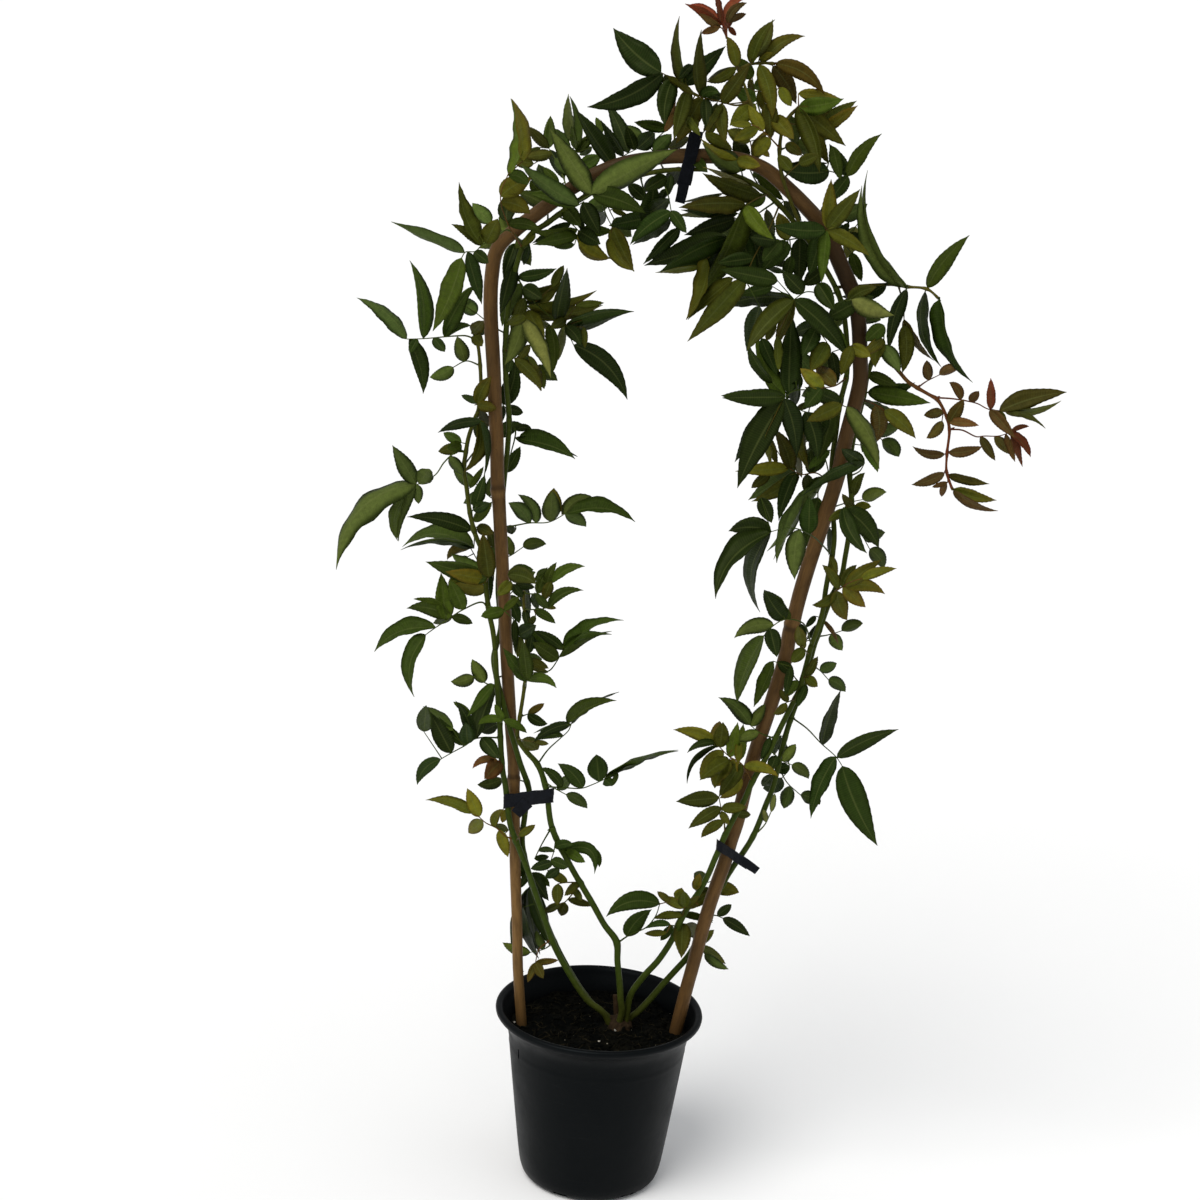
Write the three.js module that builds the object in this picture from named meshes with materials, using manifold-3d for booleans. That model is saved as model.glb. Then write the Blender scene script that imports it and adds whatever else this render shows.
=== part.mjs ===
// Potted yellow banksia rose trained round a bamboo hoop, out of flower, in a black nursery pot.
// Millimetres, +Z up, the pot's base centre at the origin, +X to the viewer's right, +Y away from the viewer.
// Plant points are read in the hoop's plane as [x, z]. A point at depth y stays on the line from the eye
// through its place in that plane, so leaves step back or forward while the outline from the front holds.
import * as THREE from 'three';
import Module from 'manifold-3d';

const wasm = await Module();
wasm.setup();

// Driving dimensions
const EYE_BACK = 2300; // distance from the hoop's plane to the eye
const EYE_HEIGHT = 1246;
const POT_RIM_R = 95;
const POT_HEIGHT = 168;
const POT_WALL = 2.2;
const POT_BASE_R = 56;
const POT_BASE_THICK = 4;
const POT_CORNER = [62.5, 5]; // [radius, z] of the rounded foot
const POT_WALL_ENDS = [[66.5, 18], [80.3, 125]]; // of the straight part of the wall
const POT_FLARE = [[82, 140], [84.4, 149], [88.5, 156]]; // and of its sweep out to the rim
const RIM_DEEP = 5;
const RIM_ROLL = 2.5; // radius of the rim's rounded top
const POT_SIDES = 24;
const DRAIN_R = 5;
const DRAIN_RING_R = 40;
const DRAIN_COUNT = 6;
const DRAIN_SIDES = 6;
const FOOT_NOTCH = [14, 10, 6]; // width, depth, height
const FOOT_NOTCHES = 6;
const NOTCH_TURN = -0.9; // of the first notch, in notches
const WALL_SLIT = [2, 10]; // width and height of the moulded slit under the rim
const SLIT_Z = 135;
const SLIT_TURN = -2.62; // bearing of the slit, in radians
const SOIL_EDGE_Z = 147;
const SOIL_RISE = 5;
const SOIL_ROUGH = 3;
const SOIL_RINGS = [0.78, 0.45, 0.12]; // rings of the surface, as shares of its radius
const SEAT_GAP = 0.3; // between pieces that touch
const CROWN = {
  x: 18, y: 1, r: 12, bottom: 128, widest: 20, outline: [[-5, 0], [-0.5, 9], [0, 20], [-1, 25], [-4, 29]],
}; // outline: [from its radius, over its bottom]
const CROWN_SIDES = 10;
const CROWN_HOLE_RISE = 12; // by which the hole for the crown passes the compost's surface
const END_GAP = 1; // under the hoop's ends
const HOOP_BURIED = 5; // points of the hoop, from each end, that cover its stretch in the compost
const TAPE = 1.1; // thickness of the tie tape
const TAPE_CLEAR = 0.5;
const TAIL_SHARE = 0.8; // width of a tie's loose end over the band's
const BAND_SIDES = 8; // corners drawn round each stem that a tie holds
const LEAF_THICK = 1.3; // at the midrib
const BLADE_SECTION = 0.42; // where along the blade its width is set
const BLADE_OUTLINE = [2.6, 0.62, 0.8]; // fullness, and how it narrows to the base and to the tip
const AHEAD = 0.05; // a short share of a blade, for the direction of its axis
const RACHIS_R = 1;
const CANE_SIDES = 5;
const HOOP_SIDES = 8;
const STATION = 2.6; // length of stalk in which a leaflet is rooted
const STATION_CLEAR = 0.3; // between one station and the next thing on the stalk
const MOST_ALONG = 0.92; // a side leaflet leans along its stalk by less than this
const LEAST_OUT = 0.2; // and away from it by more than this
const END_AHEAD = 0.35; // the end leaflet leans along its stalk by more than this
const SECTION_GAP = 0.2; // taken off each end of a cane section

// How leaves keep clear of each other and of everything else
const CELL = 2; // side of a square of the hoop's plane in which the depths in use are noted
const REACH = 4096;
const STEM_CLEAR = 0.5;
const BLADE_CLEAR = 1.5;
const ROOT_SHARE = 0.34; // leaflets of one leaf may meet in this much of their length
const STALK_ROOT = 8; // and a leaf stalk its own cane in this length
const LEAF_ROOT = 0.3;
const ROOT_INSET = 3; // leaf stalks root this far from the end of a node's cane
const STALK_STEPS = 60; // places along a stalk at which a leaflet may root
const STRAIGHT = 1.6; // a bend smaller than this is left out of a leaf stalk
const STRAIGHT_CANE = 1; // and of a cane
const STEP_BACK = [0, -9, 9, -18, 18, -28, 28, -40, 40]; // tried for a whole leaf
const TIP_SHIFT = [0, -7, 7, -14, 14, -22, 22, -32, 32]; // tried for a leaflet's tip
const FILLER = 14; // leaves set back this far fill in behind and are placed last
const DEPTH_SHARE = 1.5; // how far leaves are set forward or back, over the hand-set depths
const TIP_SCATTER = 1.2; // share of a leaflet's seen length by which its tip comes forward or back
const FULLEST = 0.42; // width of the broadest leaflet over its length
const WIDTH_SHARE = 0.24; // and of the narrowest
const LEAST_ROLL = 0.1;
const LEAN_SHARE = 0.3; // share of a leaf's depth by which its leaflets lean forward or back
const STEM_STEP = 1.5; // between the places at which a stem is noted
const BLADE_STEP = 1.8;
const BLADE_COLUMNS = [-1, -0.6, -0.2, 0.2, 0.6, 1];
const TIE_MARGIN = [1, 2, 3]; // kept clear above, beside, and before and behind a tie
const OTHER_NODE_COST = 100; // of meeting another node, beside 1 for meeting its own
const LOST_LEAFLET_COST = 3;
const OWN_NODE_COST = 0.01;

// Bamboo hoop, from the end in the compost on the left over the top to the end on the right: [x, z, radius]
const HOOP = [[-64, 80, 4.6], [-67, 112, 4.7], [-71, 150, 4.8], [-76.5, 200, 4.8], [-80, 250, 4.9],
  [-84, 300, 5], [-88.6, 372, 5.2], [-89.6, 386, 5.7], [-90.6, 400, 5.3], [-94, 430, 5.5],
  [-100, 486, 5.7], [-106, 550, 5.8], [-111, 600, 5.9], [-115, 640, 6], [-116.5, 652, 6.6],
  [-117.6, 664, 6.1], [-120, 700, 6.1], [-122.5, 725, 6.1], [-124.5, 750, 6.1], [-127, 775, 6.2],
  [-130, 805, 6.2], [-131, 828, 6.2], [-130.5, 842, 6.2], [-129, 856, 6.2], [-125, 866, 6.2],
  [-112, 880, 6.2], [-100, 890.5, 6.2], [-85, 903, 6.1], [-68, 917, 6], [-47, 931, 6], [-25, 941, 6],
  [9, 948.5, 6], [34, 951, 6.4], [56, 951.5, 6], [75, 950, 6], [95, 943, 6.2], [115, 928, 6.4],
  [130, 915, 6.6], [143, 902, 6.8], [155, 884, 7], [165, 865, 7], [172, 852, 7], [179, 838, 6.8],
  [184, 815, 6.6], [187, 790, 6.6], [189, 770, 6.6], [187, 752, 6.6], [184, 735, 6.6], [180.8, 716, 6.6],
  [178, 691, 6.6], [173, 666, 6.6], [166.4, 637, 6.6], [159.3, 607, 6.6], [153, 577, 6.6],
  [149.5, 556, 6.6], [148, 547, 7.2], [146.4, 538, 6.7], [144.6, 517, 6.6], [138.5, 487, 6.5],
  [130.5, 452, 6.4], [124.5, 426, 6.4], [120, 403, 6.4], [116.5, 380, 6.4], [113, 357, 6.3],
  [109, 340, 6.3], [104.7, 318, 6.3], [100, 300, 6.2], [93, 270, 6.2], [87.4, 240, 6.2], [82.5, 212, 6.1],
  [79, 193, 6.1], [72.5, 153, 6], [66, 110, 5.9], [61, 80, 5.8]];

// Canes and bare shoots, root to tip: [x, z, depth, radius]
const CANES = {
  middle: [[18, 149, -4, 3], [21, 165, -7, 3], [19, 178, -9, 3], [18, 188, -9, 3], [14, 215, -9, 2.9],
    [12, 234, -9, 3.2], [0, 250, -10, 2.8], [-12, 270, -11, 2.8], [-35, 307, -13, 2.7],
    [-53, 342, -15, 2.7], [-60, 378, -17, 2.6], [-69, 401, -18, 2.5], [-80, 413, -18, 2.3],
    [-88, 425, -17, 2], [-87, 445, -15, 1.8], [-85, 466, -13, 1.7], [-84, 482, -12, 1.6],
    [-85, 520, -12, 1.5], [-88, 545, -12, 1.4], [-90, 562, -12, 1.2]],
  leftFront: [[11, 150, -2, 3], [6, 160, -4, 3], [0, 166, -6, 3], [-9, 172, -7, 3], [-19, 184, -8, 3],
    [-29, 199, -9, 2.9], [-44.5, 226, -9, 2.8], [-58, 260, -10, 2.8], [-72, 297, -11, 2.7],
    [-81, 318, -12, 2.7], [-90, 340, -12, 2.7], [-94, 361, -12, 2.7], [-97, 380, -12, 2.6],
    [-100, 393, -12, 2.6], [-105, 440, -11, 2.5], [-110, 485, -12, 2.4], [-112, 506, -12, 2.3],
    [-115, 524, -8, 2.3], [-119, 540, -4, 2.3], [-123, 565, -2, 2.2], [-126, 591, -2, 2.2],
    [-135, 612, -2, 2.1], [-140, 630, -2, 2], [-144, 653, -2, 2], [-147, 669, -2, 2],
    [-146, 683, -2, 1.9], [-144, 698, -3, 1.9], [-140, 712, -4, 1.8], [-137, 721, -4, 1.8],
    [-135.5, 738, -4, 1.7], [-137, 761, -4, 1.6], [-139, 775, -3, 1.5], [-141, 784, -3, 1.4]],
  leftBack: [[13, 149, 4, 3], [9, 158, 4, 3], [2, 164, 3, 3], [-7, 171, 3, 3], [-17, 183, 3, 3],
    [-27, 198, 3, 2.9], [-45, 230, 2, 2.8], [-62, 270, 3, 2.8], [-72, 297, 5, 2.7], [-79, 325, 6, 2.7],
    [-78, 350, 3, 2.6], [-77, 362, 1, 2.6], [-75, 374, 0, 2.6], [-85, 402, -8, 2.6],
    [-89, 414, -9.5, 2.5], [-96, 435, -10.5, 2.5], [-102, 455, -8.5, 2.5], [-108, 475, -5, 2.4],
    [-112, 490, -2, 2.4], [-113, 500, 3, 2.4], [-110, 515, 8, 2.4], [-108, 530, 11, 2.4],
    [-112, 560, 11, 2.4], [-112, 600, 11, 2.4], [-112, 650, 11, 2.4], [-110, 690, 11, 2.4],
    [-110, 717, 10, 2.4], [-113, 740, 8, 2.4], [-116, 770, 5, 2.4], [-116, 800, 3, 2.4],
    [-114, 830, 0, 2.4], [-110, 850, 0, 2.4], [-106, 865, 0, 2.3], [-99, 877, 0, 2.3], [-86, 887, 0, 2.3],
    [-68, 902, 0, 2.2], [-48, 916, 0, 2.2], [-25, 927, 0, 2.1], [0, 935, 0, 2], [22, 939, 0, 2],
    [42, 940, 0, 1.8]],
  rightFront: [[24.5, 150, -1, 3], [26, 165, -1, 3], [28, 182, -2, 3], [38.5, 201, -4, 2.9],
    [51, 218, -6, 2.9], [62, 239, -8, 2.8], [68, 257, -9, 2.8], [74, 271, -9, 2.8], [84, 289, -10, 2.7],
    [91, 306, -11, 2.7], [96, 322, -11, 2.7], [99, 331, -11.5, 2.7], [102.7, 343, -12, 2.7],
    [111, 364, -13, 2.6], [117.5, 378, -13, 2.6], [123.4, 396, -13, 2.6], [130.4, 412, -12, 2.5],
    [137.7, 429, -9, 2.5], [143.6, 446, -6, 2.5], [149.7, 462, -4, 2.5], [154.4, 474, -4, 2.4],
    [159, 487, -4, 2.4], [163.5, 511, -4, 2.4], [166.5, 529, -4, 2.3], [171, 546, -4, 2.3],
    [174, 562, -3, 2.3], [174.7, 579, -2, 2.3], [176, 594, 0, 2.3], [177.6, 608, 3, 2.3],
    [178.5, 625, 7, 2.3], [177, 640, 11, 2.3], [174, 655, 12.5, 2.3], [172, 675, 13, 2.3],
    [171, 690, 12, 2.3], [171, 705, 8, 2.3], [172, 720, 3, 2.3], [173, 745, 0, 2.3], [177, 772, 0, 2.3],
    [176, 790, 0, 2.3], [173, 812, 0, 2.3], [168, 833, 0, 2.3], [161, 848, 0, 2.3], [152, 862, 0, 2.3],
    [140, 880, 0, 2.2], [126, 896, 0, 2.2], [110, 913, 0, 2.2], [92, 927, 0, 2.1], [72, 936, 0, 2],
    [58, 939, 0, 1.8]],
  rightBack: [[23, 149, 6, 3], [29, 159, 6, 3], [36, 166, 6, 3], [46, 179, 7, 3], [57, 195, 8, 2.9],
    [68, 210, 9, 2.9], [78, 224, 10, 2.9], [86, 241, 12, 2.8], [93, 255, 12.5, 2.8], [96, 268, 13, 2.8],
    [100, 286, 13, 2.8], [107, 303, 12, 2.7], [115, 319, 9, 2.7], [120.7, 329, 6, 2.7],
    [128, 344, 4, 2.6], [133.6, 361, 3, 2.6], [138, 377, 2, 2.6], [142.5, 392, 2, 2.5],
    [145.7, 412, 3, 2.5], [148.4, 432, 3.5, 2.5], [151, 447, 4, 2.5], [154, 461, 5, 2.5],
    [158, 476, 5, 2.4], [162, 489, 5, 2.4], [166, 511, 5, 2.4], [169, 529, 5, 2.4], [173, 546, 5, 2.4],
    [177, 562, 5, 2.3], [182, 579, 4, 2.3], [187.7, 595, 3, 2.3], [189.3, 611.5, 3, 2.3],
    [190.8, 630.6, 3, 2.3], [191.4, 649, 3, 2.3], [190, 667, 4, 2.3], [187.5, 681, 7, 2.3],
    [186.5, 693, 10, 2.3], [187, 712, 12.5, 2.3], [190, 735, 13, 2.3], [193, 755, 13, 2.3],
    [195, 775, 12, 2.2], [199, 788, 8, 2.2], [206, 793, 4, 2]],
  topStem: [[127.2, 897.8, -3.7, 1.7], [111, 933, -10, 1.6], [106, 950, -9, 1.6], [105, 968, -7, 1.5],
    [108, 984, -6, 1.4], [118, 997, -6, 1.2]],
  topShoot: [[104.8, 974, -9.5, 1.4], [98, 978, -12, 1.4], [88, 984, -13, 1.3], [80, 993, -13, 1.3],
    [74, 1007, -12, 1.2], [65, 1026, -11, 1.1], [58, 1042, -10, 1], [55, 1048, -10, 1]],
  topArm: [[66.3, 1025.4, -9, 1], [74, 1029, -6, 1], [85, 1031, -4, 1], [96, 1031, -3, 1]],
  redTip: [[54.5, 1049, -10, 1], [53, 1054, -10, 1], [51.5, 1059, -10, 1]],
  outerStem: [[163.2, 848, 2.85, 1.4], [168, 848.6, 8.5, 1.4], [173, 849, 11.5, 1.3], [180, 850, 14, 1.3],
    [205, 853, 16, 1.2], [222, 852, 14, 1.2], [239, 851, 12, 1.1], [250, 843, 11, 1]],
  bronze: [[208.1, 791.7, 3.6, 1.9], [214, 786, 2, 1.8], [223, 777, 0, 1.7], [229.5, 770.6, -1, 1.7],
    [238, 765.6, -2, 1.6], [250, 759.7, -3, 1.5], [256, 756.6, -3, 1.5], [265, 743, -3, 1.4],
    [269, 731, -3, 1.3], [269, 711, -3, 1.1], [270, 694, -3, 1], [274.3, 683, -3, 1],
    [277, 677.5, -3, 1]],
};

const NODES = [
  ["left_front_cane_low", "foliage_olive", ["leftFront", 0, 11], [
    [-4, "gold", [[-88, 326], [-94, 330], [-102, 337], [-113, 342], [-119, 347], [-125, 350]], [
      [-125, 350, -168, 360, 7, -5], [-119, 347, -131, 374, 11, 0], [-116, 344, -128, 331, 11, 0],
      [-104, 339, -97, 356, 7, 4], [-101, 335, -91, 310, 9, 0]]],
    [-12, "olive", [[-84, 326], [-82, 331]], [[-82, 331, -68, 343, 6, 0]]],
    [-6, "brown", [[-47, 232], [-58, 222], [-61, 208]], [
      [-60, 207, -67, 188, 6, 0], [-59, 205, -53, 193, 8, 0], [-60, 208, -40, 212, 6, 0]]],
  ]],
  ["left_back_cane_low", "foliage_dark", ["leftBack", 0, 11], [
    [-4, "dark", [[-77, 313], [-73, 292], [-70, 282]], [
      [-71, 282, -71, 198, 9, -13], [-70, 281, -57, 216, 14, -2], [-68, 282, -48, 225, 10, 0],
      [-72, 292, -86, 310, 9, 0], [-70, 292, -52, 284, 10, 3]]],
    [16, "mid", [[-45, 230], [-54, 222], [-66, 218]], [
      [-66, 218, -92, 226, 9, 2], [-55, 222, -62, 240, 8, 0]]],
  ]],
  ["middle_cane_low", "foliage_dark", ["middle", 0, 9], [
    [0, "dark", [[-43, 322], [-39, 320]], [[-41, 320, -12, 299, 10, 15]]],
    [-8, "dark", [[-48, 332], [-50, 318], [-52, 310]], [
      [-51, 309, -36, 304, 9, 0], [-50, 322, -33, 326, 8, 2]]],
    [-4, "dark", [[-54, 342], [-61, 325], [-67, 310]], [
      [-66, 308, -54, 313, 6, 0], [-64, 318, -49, 318, 5, 2]]],
    [-4, "olive", [[-24, 290], [-37, 289], [-45, 287]], [
      [-45, 288, -44, 266, 9, 0], [-36, 289, -55, 300, 8, 0]]],
    [6, "olive", [[-24, 289], [-37, 270], [-42, 267]], [
      [-34, 272, -11, 268, 6, 0], [-37, 269, -40, 256, 9, 0], [-41, 268, -57, 258, 6, 0]]],
    [-8, "dark", [[11, 232], [24, 242], [38, 250], [46, 262], [49, 274]], [
      [20, 241, 42, 268, 14, 3], [49, 275, 1, 258, 12, -9]]],
  ]],
  ["middle_cane_mid", "foliage_dark", ["middle", 9, 13], [
    [-24, "dark", [[-69, 401], [-60, 416], [-50, 427], [-43, 435], [-41, 441]], [
      [-40, 442, 0, 474, 6, 5], [-43, 443, -74, 421, 9, -4], [-49, 431, -72, 424, 5, -3]]],
    [-8, "dark", [[-61, 380], [-46, 380.5], [-28, 381], [-19, 385], [-8, 391]], [
      [-46, 381, -66, 398, 8, -3], [-28, 382, -51, 403, 13, -3], [-14, 390, -17, 414, 16, 0],
      [-9, 393, 56, 422, 7, 5], [-8, 393, -1, 385, 8, 0]]],
    [-20, "olive", [[-87, 424], [-82, 423]], [[-84, 424, -69, 415, 12, 1]]],
    [12, "mid", [[-62, 385], [-52, 379], [-42, 374]], [
      [-42, 374, -22, 362, 9, 2], [-50, 378, -38, 392, 9, 0]]],
  ]],
  ["middle_cane_side_shoot", "foliage_mid", ["middle", 13, 19], [
    [-20, "mid", [[-89, 560], [-80, 560], [-72, 563], [-65, 571]], [
      [-64, 572, -37, 588, 6, 5], [-78, 562, -70, 585, 8, 0], [-69, 565, -62, 590, 7, 2]]],
    [-28, "mid", [[-88, 545], [-76, 546], [-67, 548]], [
      [-67, 548, -37, 566, 7, 6], [-80, 546, -60, 534, 7, 1], [-68, 549, -80, 561, 7, 0]]],
    [-14, "mid", [[-84, 486], [-70, 488], [-63, 490], [-57, 499], [-52, 510]], [
      [-52, 517, 0, 541, 8, 9], [-58, 504, -10, 530, 9, 5], [-56, 501, -79, 515, 13, 0],
      [-53, 514, -79, 526, 8, -2, "dark"]]],
    [-24, "mid", [[-84, 474], [-82, 480]], [
      [-83, 479, -105, 508, 9, 0], [-82, 481, -88, 517, 11, 0], [-82, 479, -56, 474, 8, 6]]],
    [-8, "dark", [[-85, 520], [-92, 521]], [[-92, 521, -77, 531, 12, 0]]],
    [-34, "olive", [[-90, 560], [-100, 568], [-104, 576]], [
      [-104, 577, -79, 569, 13, 3], [-100, 570, -112, 556, 9, 0]]],
    [6, "dark", [[-88, 445], [-80, 448]], [
      [-80, 448, -66, 459, 6, 0, "brown"], [-79, 447, -62, 440, 8, -2]]],
  ]],
  ["left_front_cane_mid", "foliage_dark", ["leftFront", 11, 16], [
    [-10, "dark", [[-103, 424], [-120, 423], [-127, 421], [-134, 415], [-146, 407], [-156, 400]], [
      [-156, 400, -176, 374, 10, -5], [-148, 408, -168, 445, 15, 0], [-134, 416, -159, 440, 8, 3],
      [-133, 417, -135, 436, 12, 0], [-130, 423, -145, 456, 10, -3], [-127, 424, -107, 478, 13, 3],
      [-120, 422, -104, 404, 12, 0]]],
    [-16, "bright", [[-104, 438], [-101, 441]], [
      [-103, 441, -124, 435, 7, -4], [-102, 441, -110, 455, 6, 0], [-101, 440, -80, 430, 7, 2]]],
    [-4, "bronze", [[-100, 401], [-105, 402]], [
      [-105, 403, -127, 393, 6, -5], [-103, 400, -116, 384, 13, 0]]],
    [18, "mid", [[-108, 470], [-118, 474], [-130, 480]], [
      [-130, 480, -150, 474, 10, 2], [-120, 475, -132, 496, 11, 0]]],
  ]],
  ["left_front_cane_high", "foliage_dark", ["leftFront", 16, 21], [
    [-6, "mid", [[-119, 540], [-125, 549], [-141, 542], [-158, 529], [-167, 522], [-174, 516]], [
      [-174, 516, -182, 457, 12, -10], [-167, 525, -219, 497, 8, -10], [-154, 533, -192, 539, 12, -5],
      [-152, 534, -133, 529, 8, 1], [-157, 531, -163, 574, 14, 0], [-143, 543, -155, 568, 13, 0]]],
    [-24, "bright", [[-120, 546], [-106, 543]], [
      [-106, 543, -126, 536, 10, 0], [-106, 544, -93, 557, 6, 0]]],
    [-14, "olive", [[-123, 568], [-121, 572]], [
      [-120, 572, -128, 613, 14, 0], [-123, 571, -177, 583, 16, 0, "mid"],
      [-121, 569, -159, 575, 12, 0, "gold"]]],
    [14, "mid", [[-122, 558], [-124, 571], [-132, 588], [-138, 598]], [
      [-121, 572, -155, 592, 14, 0], [-119, 561, -155, 563, 12, 0, "gold"],
      [-138, 599, -158, 586, 8, -5, "brown"], [-126, 577, -111, 609, 11, 0, "dark"]]],
  ]],
  ["left_front_cane_upper", "foliage_mid", ["leftFront", 21, 28], [
    [-10, "light", [[-146, 684], [-154, 683.5], [-164, 674], [-171.5, 662], [-185, 653], [-189, 652]], [
      [-188, 653, -255, 570.5, 13.5, -19], [-188, 653, -210, 686, 13, 0], [-190, 650, -201, 600, 12, -7],
      [-186, 655, -177, 667, 13, 0], [-187, 651, -185, 635, 8, 0], [-160, 679, -147, 664, 9, 0]]],
    [-12, "dark", [[-138, 716], [-134, 712]], [
      [-137, 707, -171, 699.5, 9, -3], [-135, 714, -148, 665, 10, 8, "olive"],
      [-129, 709, -129.5, 662, 5, 4]]],
    [-16, "dark", [[-139, 630], [-134, 636]], [
      [-136, 634, -128.5, 665, 9, 0], [-135, 630, -123.5, 640, 9, 0]]],
    [6, "dark", [[-135, 612], [-138, 614]], [[-138, 616, -195, 622.5, 11.5, -4]]],
    [6, "dark", [[-131, 597], [-135, 598]], [[-135, 598, -199, 592, 9, -8]]],
    [20, "dark", [[-145, 672], [-134, 690], [-120, 700]], [
      [-120, 700, -98, 712, 11, 2], [-130, 694, -140, 716, 10, 0]]],
  ]],
  ["left_front_cane_tip", "foliage_mid", ["leftFront", 28, 32], [
    [-6, "mid", [[-141, 783], [-150, 786], [-158, 785.5], [-169, 784], [-178, 782.5], [-189, 781],
      [-201, 780]], [
      [-203, 783, -245, 813, 10, -5, "light"], [-199, 782, -185, 733, 10, 4, "dark"],
      [-187, 783, -201, 848, 11, -6], [-169, 785, -147, 829, 11, 2], [-168, 787, -146, 795, 6, 4, "dark"],
      [-178, 783, -168, 771, 8, 0, "dark"], [-192, 781, -198, 768, 7, 0, "dark"]]],
    [-14, "olive", [[-140, 783], [-145, 789]], [
      [-145, 789, -136, 800, 10, 0], [-144, 787, -136, 778, 9, 0]]],
    [-18, "olive", [[-136, 728], [-140, 726]], [
      [-138, 728, -127, 752, 11, 2], [-138, 731, -152, 734, 5, 0, "dark"],
      [-137, 724, -121, 724, 9, 0, "gold"]]],
    [18, "mid", [[-137, 761], [-150, 764], [-160, 758]], [
      [-160, 758, -180, 748, 10, 2], [-150, 764, -158, 785, 11, 0]]],
  ]],
  ["left_back_cane_mid", "foliage_dark", ["leftBack", 11, 22], [
    [26, "mid", [[-112, 545], [-104, 555], [-95, 566]], [
      [-95, 566, -80, 580, 10, 2], [-104, 555, -90, 548, 9, 0]]],
    [24, "dark", [[-109, 480], [-98, 486], [-88, 496]], [
      [-88, 496, -70, 500, 10, 2], [-98, 486, -102, 508, 11, 0]]],
    [16, "dark", [[-78, 383], [-87, 385], [-100, 385]], [
      [-100, 384, -122, 378, 10, 2], [-88, 381, -92, 400, 9, 0]]],
  ]],
  ["left_back_cane_high", "foliage_mid", ["leftBack", 22, 26], [
    [6, "dark", [[-110, 716], [-104, 706], [-104.5, 697], [-107, 685], [-109.7, 668]], [
      [-103, 699, -49, 686, 10, 3.5], [-104, 706, -90, 708, 6, 2], [-109, 667, -99, 692, 9, 0]]],
    [-6, "light", [[-112, 619], [-104, 620], [-88, 624], [-70.6, 626], [-56, 635]], [
      [-88, 625, -107, 641, 12, -3], [-82, 627, -99, 649, 10, -5], [-70, 628, -69.5, 654, 14, 0],
      [-59, 636, -28, 647, 10, 8], [-56, 635, 4.5, 631, 9, 10, "mid"], [-57, 634, -38, 624, 11, 2]]],
    [30, "dark", [[-112, 640], [-124, 646], [-136, 656]], [
      [-136, 656, -156, 670, 11, 2], [-124, 646, -118, 668, 10, 0], [-128, 648, -146, 638, 10, 0]]],
    [30, "mid", [[-112, 590], [-102, 594], [-92, 602]], [
      [-92, 602, -72, 606, 10, 2], [-102, 594, -108, 612, 9, 0]]],
  ]],
  ["left_shoulder_outer", "foliage_mid", ["leftBack", 26, 30], [
    [-14, "dark", [[-111, 722], [-116, 728]], [
      [-118, 728, -107, 766, 14, -3], [-113, 726, -98, 722, 8, 0]]],
    [-26, "mid", [[-116, 800], [-110, 806], [-103, 804]], [
      [-102, 803, -116, 763, 14, 3, "light"], [-100, 805, -76, 754, 11, 4, "pale"]]],
    [-16, "olive", [[-115, 776], [-108, 769]], [[-107, 768, -83, 742, 10, 3]]],
    [26, "dark", [[-115, 750], [-104, 756], [-92, 760]], [
      [-92, 760, -70, 752, 11, 2], [-104, 756, -98, 778, 11, 0]]],
    [30, "dark", [[-116, 790], [-128, 796], [-142, 806]], [
      [-142, 806, -160, 820, 12, 0], [-130, 797, -146, 788, 10, 0]]],
  ]],
  ["left_shoulder_inner", "foliage_olive", ["leftBack", 30, 32], [
    [-12, "mid", [[-111, 845], [-106, 834], [-102, 822], [-99, 813], [-92, 803], [-80, 800]], [
      [-99, 823, -69, 839, 10, -3, "olive"], [-98, 816, -41, 832, 10, -4, "olive"],
      [-90, 812, -35, 820, 9, -3, "olive"], [-78, 801, -75, 757, 10, 3],
      [-106, 834, -120, 796, 14, -2, "bright"], [-104, 842, -76, 849, 9, -2, "dark"]]],
    [10, "dark", [[-110, 842], [-96, 822], [-80, 808], [-66, 800]], [
      [-72, 806, -67, 850, 13, 0], [-64, 799, -8, 816, 10, 4], [-100, 834, -87, 822, 12, 0],
      [-66, 800, -52, 784, 10, 2]]],
  ]],
  ["left_shoulder_side_shoot", "foliage_olive", ["leftBack", 32, 33], [
    [-14, "light", [[-105, 867], [-120, 879], [-131, 870], [-140, 865], [-146, 859], [-154, 858],
      [-157, 853]], [
      [-155, 858, -218, 880, 12, 0], [-159, 850, -179, 788, 15, 2, "mid"],
      [-152, 856, -138, 814, 9, 0, "dark"], [-141, 867, -162, 917, 11, 4, "olive"],
      [-143, 867, -167, 881, 7, -2, "olive"], [-138, 868, -128, 888, 13, 0, "olive"],
      [-147, 861, -134, 850, 9, 0, "dark"]]],
    [-14, "gold", [[-106, 865], [-118, 882], [-126, 902], [-126, 912], [-121, 926]], [
      [-120, 926, -122, 989, 9, -8, "bright"], [-120, 925, -104, 918, 9, 3, "mid"],
      [-125, 907, -101, 924, 15, 2], [-123, 903, -101, 894, 13, 3], [-119, 884, -91, 880, 9, 3, "mid"]]],
    [8, "dark", [[-103, 868], [-118, 880], [-120, 886]], [[-120, 886, -112, 909, 14, 4]]],
    [34, "mid", [[-104, 869], [-118, 874], [-134, 884]], [
      [-134, 884, -150, 900, 12, 0], [-118, 874, -124, 898, 12, 0], [-122, 875, -142, 862, 12, 0],
      [-110, 871, -98, 850, 12, 0]]],
  ]],
  ["left_arch_cane", "foliage_mid", ["leftBack", 33, 36], [
    [-16, "mid", [[-70, 900], [-62, 903], [-56, 907]], [
      [-61, 906, -111, 935, 14, 2, "light"], [-62, 904, -104, 911, 11, -2],
      [-56, 905, -41, 880, 13, 0, "dark"]]],
    [-24, "light", [[-66, 903], [-56, 910], [-50, 914]], [
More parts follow.
